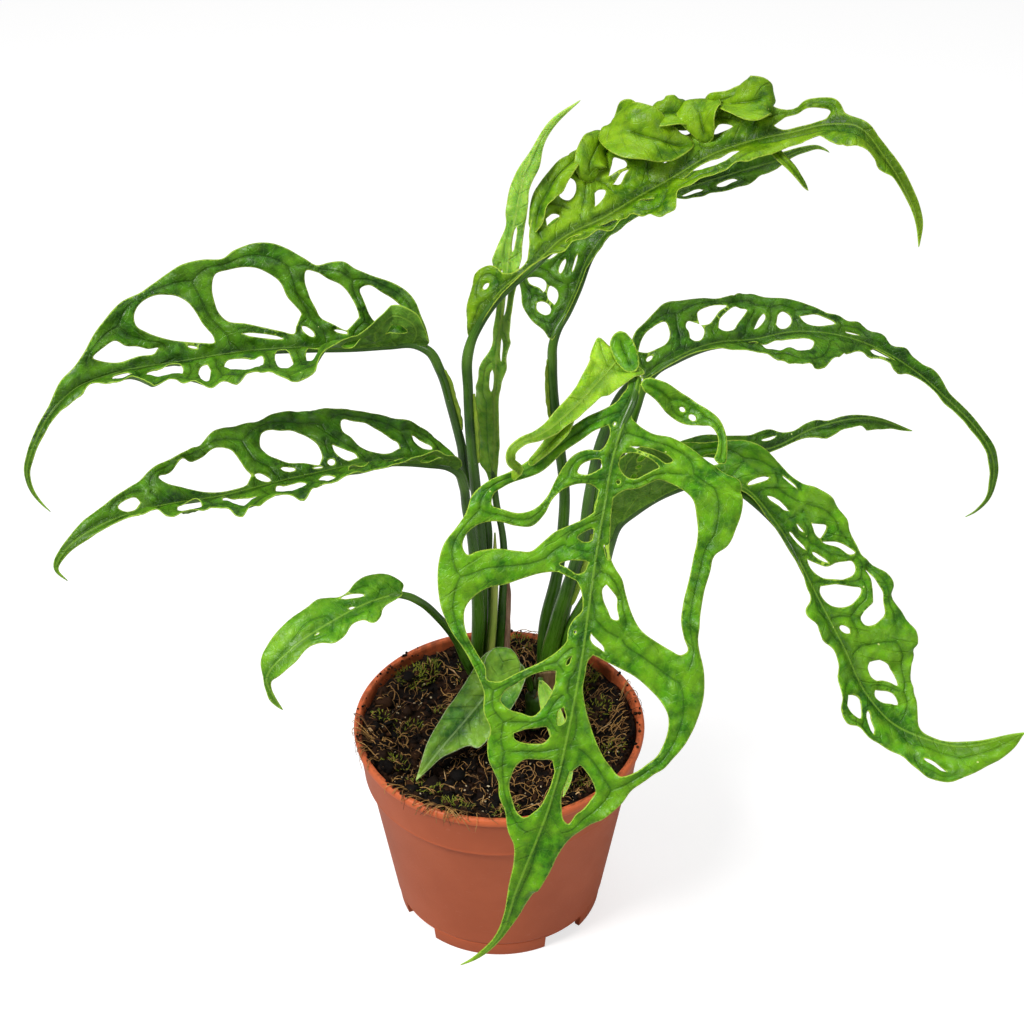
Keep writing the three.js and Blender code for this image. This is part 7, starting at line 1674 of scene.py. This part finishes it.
# %% Floor of the pot
DRAINS, DRAIN_RADIUS, DRAIN_RING, DRAIN_SIDES = 6, 3.5, 30.0, 24
FLOOR_SOILED = 0.3
outer_ring = np.stack([np.cos(turns), np.sin(turns)], axis=1)
t = np.arange(DRAIN_SIDES) * 2 * math.pi / DRAIN_SIDES
holes = [np.stack([DRAIN_RING * math.cos(a) + DRAIN_RADIUS * np.cos(t),
                   DRAIN_RING * math.sin(a) + DRAIN_RADIUS * np.sin(t)], axis=1)
         for a in np.arange(DRAINS) * 2 * math.pi / DRAINS]
FLOOR_TOP = UNDERSIDE + FLOOR_THICK
for z, radius, step in ((UNDERSIDE, FOOT_INNER, -1), (FLOOR_TOP, FOOT_INNER - 0.3, 1)):
    flat, triangles = triangulate([outer_ring * radius] + holes, same_point=1e-4)
    disc = np.column_stack([flat, np.full(len(flat), z)])
    pot.join(disc, triangles[:, ::step].tolist(), lip=0.0, soiled=FLOOR_SOILED)
for ring in holes:
    wall = np.vstack([np.column_stack([ring, np.full(DRAIN_SIDES, z)]) for z in (UNDERSIDE, FLOOR_TOP)])
    pairs = [(k, (k + 1) % DRAIN_SIDES) for k in range(DRAIN_SIDES)]
    pot.join(wall, [(a, DRAIN_SIDES + a, DRAIN_SIDES + b, b) for a, b in pairs], lip=0.0, soiled=FLOOR_SOILED)
pot.make("pot_shell", plastic, "pot_plastic", ["pot"], sharp=35)

# %% [markdown]
# ## Soil
# Potting soil is dark peat in lumps of every size, full of fine tan roots. Under everything lies a
# bumpy disc. On it are strewn a few thousand small lumps, then curly roots, green moss, bits of
# straw and pale crumbs. Each kind is one mesh, so the scene stays light.

# %% Peat finish
PEAT, tree, skin = new_finish("dark peat")
where = place_in_mm(tree)
dark = rgb("030202")
broad = cloudy(tree, where, 7.0, 1.5)
fine = place(tree, grain, Place=where, Size=0.5)
colour = blend_colours(tree, broad, dark, rgb("110905"))
colour = blend_colours(tree, named(tree, "tone"), colour, rgb("5A371C"))
colour = lay_over(tree, colour, (fine["Mask"], 0.4, dark))
rough = calc(tree, "SUBTRACT", 0.8, times(tree, broad, 0.18))
put_on(tree, skin, colour, rough, fine["Height"], 0.9, 0.0005)
skin.inputs["Specular IOR Level"].default_value = 0.16
print("peat has", len(tree.nodes), "nodes")

# %% [markdown]
# The soil lies a little below the rim. It is rippled, rises towards the wall and has one mound at
# the back. Its mesh is a disc of rings that get finer swells as they go, and then runs down inside
# the pot.

# %% Ground under the lumps
SOIL_LEVEL, SPOKES, HIGHEST = 84, 200, 91.5
GROUND_SWELL, GROUND_SWELL_SIZE = 0.9, 6.5


def soil_height(x, y):
    ripple = 0.9 * np.sin(x * 0.21 + 1) * np.cos(y * 0.17) + 0.6 * np.sin(x * 0.47 - y * 0.39)
    mound = 4.5 * np.exp(-((x - 8) ** 2 + (y - 48) ** 2) / 160)
    rise = np.clip((np.hypot(x, y) - 40) / 14, 0, 1)
    return SOIL_LEVEL + ripple + mound + 4.6 * rise * rise * (3 - 2 * rise)


ring_at = np.append(np.linspace(0, 54, 64), 56.2)
a = np.arange(SPOKES) * 2 * math.pi / SPOKES
flat = np.stack([(ring_at[:, None] * np.cos(a)).ravel(), (ring_at[:, None] * np.sin(a)).ravel()], axis=1)
z = soil_height(*flat.T) + GROUND_SWELL * swells(flat, GROUND_SWELL_SIZE, 3)
z = z + 0.7 * swells(flat, 2.4, 4) + 0.35 * swells(flat, 1.1, 5)
ground = [np.column_stack([flat, np.minimum(z, HIGHEST)])]
for radius, height in ((56.0, 85.0), (55.3, 80.0), (52.6, 70.0), (41.8, 9.4)):
    ground.append(np.column_stack([radius * np.cos(a), radius * np.sin(a), np.full(SPOKES, height)]))
ground = np.vstack(ground)
last = len(ground) - SPOKES
faces = []
for i in range(0, last, SPOKES):
    for k in range(SPOKES):
        here, beside = i + k, i + (k + 1) % SPOKES
        faces.append((here, here + SPOKES, beside + SPOKES, beside))
faces.append(tuple(range(last, len(ground)))[::-1])
tone = np.clip(0.1 + 0.4 * swells(ground[:, :2], 3.0, 6), 0, 0.5)
make_piece("soil_ground", ground, faces, PEAT, "peat", ["soil"], {"tone": tone})

# %% [markdown]
# A lump is a small ball of twenty faces, split once and pushed about by noise. Every lump has its own
# size, turn and tone. They are larger on the left, where the peat is coarser. Crumbs are the same
# with unsplit balls, much smaller and many more.

# %% Strew the lumps
lottery = np.random.default_rng(7)
STEM_PLACES = [(-5.5, 15.6, 8.4), (23.0, 21.5, 8.8), (14.5, 8.5, 4.0)]
LUMP_ROUGH = 0.5


def ball(splits):
    made = bmesh.new()
    bmesh.ops.create_icosphere(made, subdivisions=splits, radius=1)
    made.verts.ensure_lookup_table()
    form = np.array([tuple(v.co) for v in made.verts]), [tuple(v.index for v in f.verts) for f in made.faces]
    made.free()
    return form


LUMP, CRUMB = ball(2), ball(1)


def random_tone(middle, spread):
    return float(np.clip(lottery.normal(middle, spread), 0, 1))


def on_soil(count, reach=54.5, low=0.0):
    """Random places on the soil, outside the stems."""
    spots = []
    while len(spots) < count:
        radius = reach * math.sqrt(lottery.uniform(low, 1))
        turn = lottery.uniform(0, 2 * math.pi)
        x, y = radius * math.cos(turn), radius * math.sin(turn)
        if all(math.hypot(x - sx, y - sy) > sr for sx, sy, sr in STEM_PLACES):
            spots.append((x, y))
    return np.array(spots)


def strew(name, finish, spots, sizes, form, raised, tones=None):
    parts = Parts()
    points, faces = form
    for i, ((x, y), size) in enumerate(zip(spots, sizes)):
        a, b, c = lottery.uniform(0, 2 * math.pi, 3)
        turn = np.array(Matrix.Rotation(a, 3, "X") @ Matrix.Rotation(b, 3, "Z") @ Matrix.Rotation(c, 3, "Y"))
        lump = points * lottery.uniform(0.4, 1.4, 3)
        lump = lump * (1 + LUMP_ROUGH * swells(points * 2 + 9.1 * i, 1.0, 1))[:, None]
        lump = size * (lump @ turn.T)
        lump[:, 2] *= 0.8
        z = soil_height(x, y) + GROUND_SWELL * float(swells([[x, y]], GROUND_SWELL_SIZE, 3)[0])
        z += raised * size
        parts.join(lump + [x, y, z], faces, tone=random_tone(0.05, 0.27) if tones is None else tones[i])
    parts.make(name, finish, "peat")


spots = np.vstack([on_soil(1250), on_soil(260, 55.6, 0.82)])
sizes = np.clip(lottery.lognormal(0.0, 0.42, len(spots)), 0.5, 2.6) * np.where(spots[:, 0] < 0, 1.15, 0.8)
sizes = np.minimum(sizes, (56.0 - np.hypot(spots[:, 0], spots[:, 1])) * 0.7 + 0.4)
strew("soil_lumps", PEAT, spots, sizes, LUMP, 0.25)
spots = on_soil(5200, 55.4)
sizes = np.clip(lottery.lognormal(-0.85, 0.4, len(spots)), 0.2, 1.1)
strew("soil_crumbs", PEAT, spots, sizes, CRUMB, 1.1)

# %% [markdown]
# Roots, moss, straw and pale bits share one kind of finish: two tones that the mesh mixes, a fine
# grain and no gloss to speak of.

# %% Fibre finish
def fibre_finish(name, light, deep, rough):
    paint, tree, skin = new_finish(name)
    fine = place(tree, grain, Place=place_in_mm(tree), Size=1.2)
    colour = blend_colours(tree, named(tree, "tone"), rgb(deep), rgb(light))
    colour = lay_over(tree, colour, (fine["Mask"], 0.35, rgb(deep)))
    rough = calc(tree, "ADD", times(tree, fine["Mask"], 0.15), rough - 0.1)
    put_on(tree, skin, colour, rough, fine["Height"], 0.5, 0.0002)
    return paint


ROOT_TAN = fibre_finish("tan root", "D6A45C", "4A2A12", 0.75)
MOSS_GREEN = fibre_finish("moss green", "A6B22E", "4E5214", 0.8)
STRAW = fibre_finish("straw", "DDB983", "9A6E3E", 0.6)
PALE_BIT = fibre_finish("pale bits", "E2D3AE", "8F7148", 0.7)
print("fibre finishes:", [paint.name for paint in (ROOT_TAN, MOSS_GREEN, STRAW, PALE_BIT)])

# %% [markdown]
# Fine roots lie over the soil in loose curls. Each is a thin tube along a wandering line that dips
# into the soil at its ends and turns back before the wall. On the right there are many more of them.

# %% Roots, short fibres and straw
FIBRE_STEP = 0.8
TURN_BACK_AT = 53.5


def curly(x, y, long, curl, height, seed):
    """A wandering line on the soil from x, y."""
    steps = max(5, int(long / FIBRE_STEP))
    turn, at = lottery.uniform(0, 2 * math.pi), np.array([x, y], float)
    bend = lottery.normal(0, curl)
    line = []
    for i in range(steps + 1):
        t = i / steps
        bend = 0.8 * bend + lottery.normal(0, curl * 0.5)
        turn += bend
        if math.hypot(*at) > TURN_BACK_AT:
            turn = math.atan2(-at[1], -at[0]) + lottery.normal(0, 0.5)
        at = at + FIBRE_STEP * np.array([math.cos(turn), math.sin(turn)])
        arch = height * math.sin(math.pi * min(1, max(0, t * 1.1 - 0.05))) + 0.25 * math.sin(9 * t + seed)
        line.append((at[0], at[1], float(soil_height(at[0], at[1])) + 0.9 + arch))
    return np.array(line)


def fibres(name, count, finish, thick, long, curl, height, right_share=0.5, sides=5):
    parts = Parts()
    made = 0
    while made < count:
        x, y = on_soil(1)[0]
        if lottery.uniform() > (right_share if x > 0 else 1 - right_share):
            continue
        line = curly(x, y, lottery.uniform(*long), curl, lottery.uniform(0.2, 1.0) * height, made)
        radius = lottery.uniform(*thick) / 2
        taper = radius * (0.35 + 0.65 * np.sin(np.linspace(0.15, math.pi - 0.1, len(line))) ** 0.6)
        parts.join(*tube(line, taper, sides)[:2], tone=random_tone(0.55, 0.25))
        made += 1
    parts.make(name, finish, "peat")


fibres("soil_roots", 430, ROOT_TAN, (0.16, 0.42), (3, 15), 0.34, 1.8, right_share=0.66)
fibres("soil_short_fibres", 420, ROOT_TAN, (0.15, 0.45), (1.5, 4.5), 0.10, 1.4, sides=4)
fibres("soil_straw", 40, STRAW, (0.3, 0.7), (2, 9), 0.04, 1.2)

# %% [markdown]
# Moss grows in small tufts. A tuft is a few dozen short curved blades that lean outward. Between the
# tufts lie pale bits, which are strewn as the crumbs are.

# %% Moss and pale bits
BLADE_RADII = [0.17, 0.2, 0.16, 0.1, 0.03]
# x, y, how wide, how many blades, how tall
TUFTS = [(-37, 33, 7, 110, 3.0), (-30, 37, 5, 60, 3.4), (35, 31, 7, 130, 4.0), (41, 14, 6, 80, 3.0),
         (-30, -34, 7, 80, 2.2), (-42, -20, 6, 50, 2.0), (-38, 4, 6, 50, 2.0), (-17, -46, 7, 90, 2.4),
         (2, -49, 6, 50, 2.2), (9, 50, 6, 50, 2.2), (46, -12, 6, 70, 2.4), (-49, 8, 4, 40, 2.2),
         (30, -34, 8, 60, 2.2), (-24, 14, 3, 16, 2.4), (-12, 38, 9, 60, 2.2)]
moss = Parts()
for x, y, wide, count, tall in TUFTS:
    for _ in range(count):
        turn = lottery.uniform(0, 2 * math.pi)
        off = wide * math.sqrt(lottery.uniform(0, 1))
        base = np.array([x + off * math.cos(turn), y + off * math.sin(turn)])
        foot = float(soil_height(*base)) + 0.6
        out = np.array([math.cos(turn + lottery.normal(0, 0.7)), math.sin(turn + lottery.normal(0, 0.7))])
        long = tall * lottery.uniform(0.5, 1.2)
        line = [(*(base + out * long * 0.55 * t ** 1.6), foot + long * (t - 0.35 * t * t))
                for t in np.linspace(0, 1, len(BLADE_RADII))]
        moss.join(*tube(line, BLADE_RADII, 4)[:2], tone=random_tone(0.55, 0.25))
moss.make("soil_moss", MOSS_GREEN, "peat")
spots = on_soil(260)
sizes = lottery.uniform(0.18, 0.5, len(spots))
strew("soil_pale_bits", PALE_BIT, spots, sizes, CRUMB, 2.6, lottery.uniform(0.3, 1, len(spots)))

# %% [markdown]
# Some of it has spilled: roots hang over the rim at the front and on the left, and crumbs lie on the
# lip. A hanging root starts in the soil, climbs over the lip and droops outside.

# %% What hangs over the rim
OVER_THE_LIP = [(51, 87.5), (54, 90), (56.8, 93.2), (59.2, 93.6), (60.5, 91.6)]
# turn in degrees, spread, how many
HANGING_ROOTS = [(-114, 10, 26), (-99, 4, 7), (-171, 8, 12), (-160, 6, 8), (14, 8, 6), (82, 9, 8),
                 (-134, 5, 6)]
RIM_CRUMBS = [(-134, 9, 26), (-114, 12, 24), (-171, 22, 60), (140, 20, 30), (82, 12, 26), (10, 22, 26)]


def around_rim(table):
    """A random turn for each root or crumb of a table."""
    for turn, spread, count in table:
        for _ in range(count):
            yield math.radians(turn + lottery.normal(0, spread * 0.5))


over = Parts()
for a in around_rim(HANGING_ROOTS):
    wander = lottery.normal(0, 0.03)
    drop = lottery.uniform(0, 1) ** 2 * 4
    line = []
    for k, (radius, z) in enumerate(OVER_THE_LIP + [(60.4, 90.6 - drop)] * (drop >= 1)):
        turn = a + wander * k + lottery.normal(0, 0.008)
        line.append((radius * math.cos(turn), radius * math.sin(turn), z + lottery.uniform(0, 0.7)))
    line = smooth_line(line, 5)
    thin = lottery.uniform(0.13, 0.26) * np.linspace(1, 0.5, len(line))
    over.join(*tube(line, thin, 5)[:2], tone=random_tone(0.5, 0.3))
over.make("roots_over_the_rim", ROOT_TAN, "peat")

crust = Parts()
for a in around_rim(RIM_CRUMBS):
    radius = lottery.uniform(55.5, 59.0)
    size = lottery.uniform(0.25, 0.8)
    z = np.interp(radius, [55.5, 57.3, 59.0], [90.2, 92.8, 93.0]) + 0.4 * size
    form = CRUMB[0] * size * lottery.uniform(0.6, 1.2, 3)
    crust.join(form + [radius * math.cos(a), radius * math.sin(a), z], CRUMB[1], tone=random_tone(0.2, 0.3))
crust.make("crumbs_on_the_rim", PEAT, "peat")
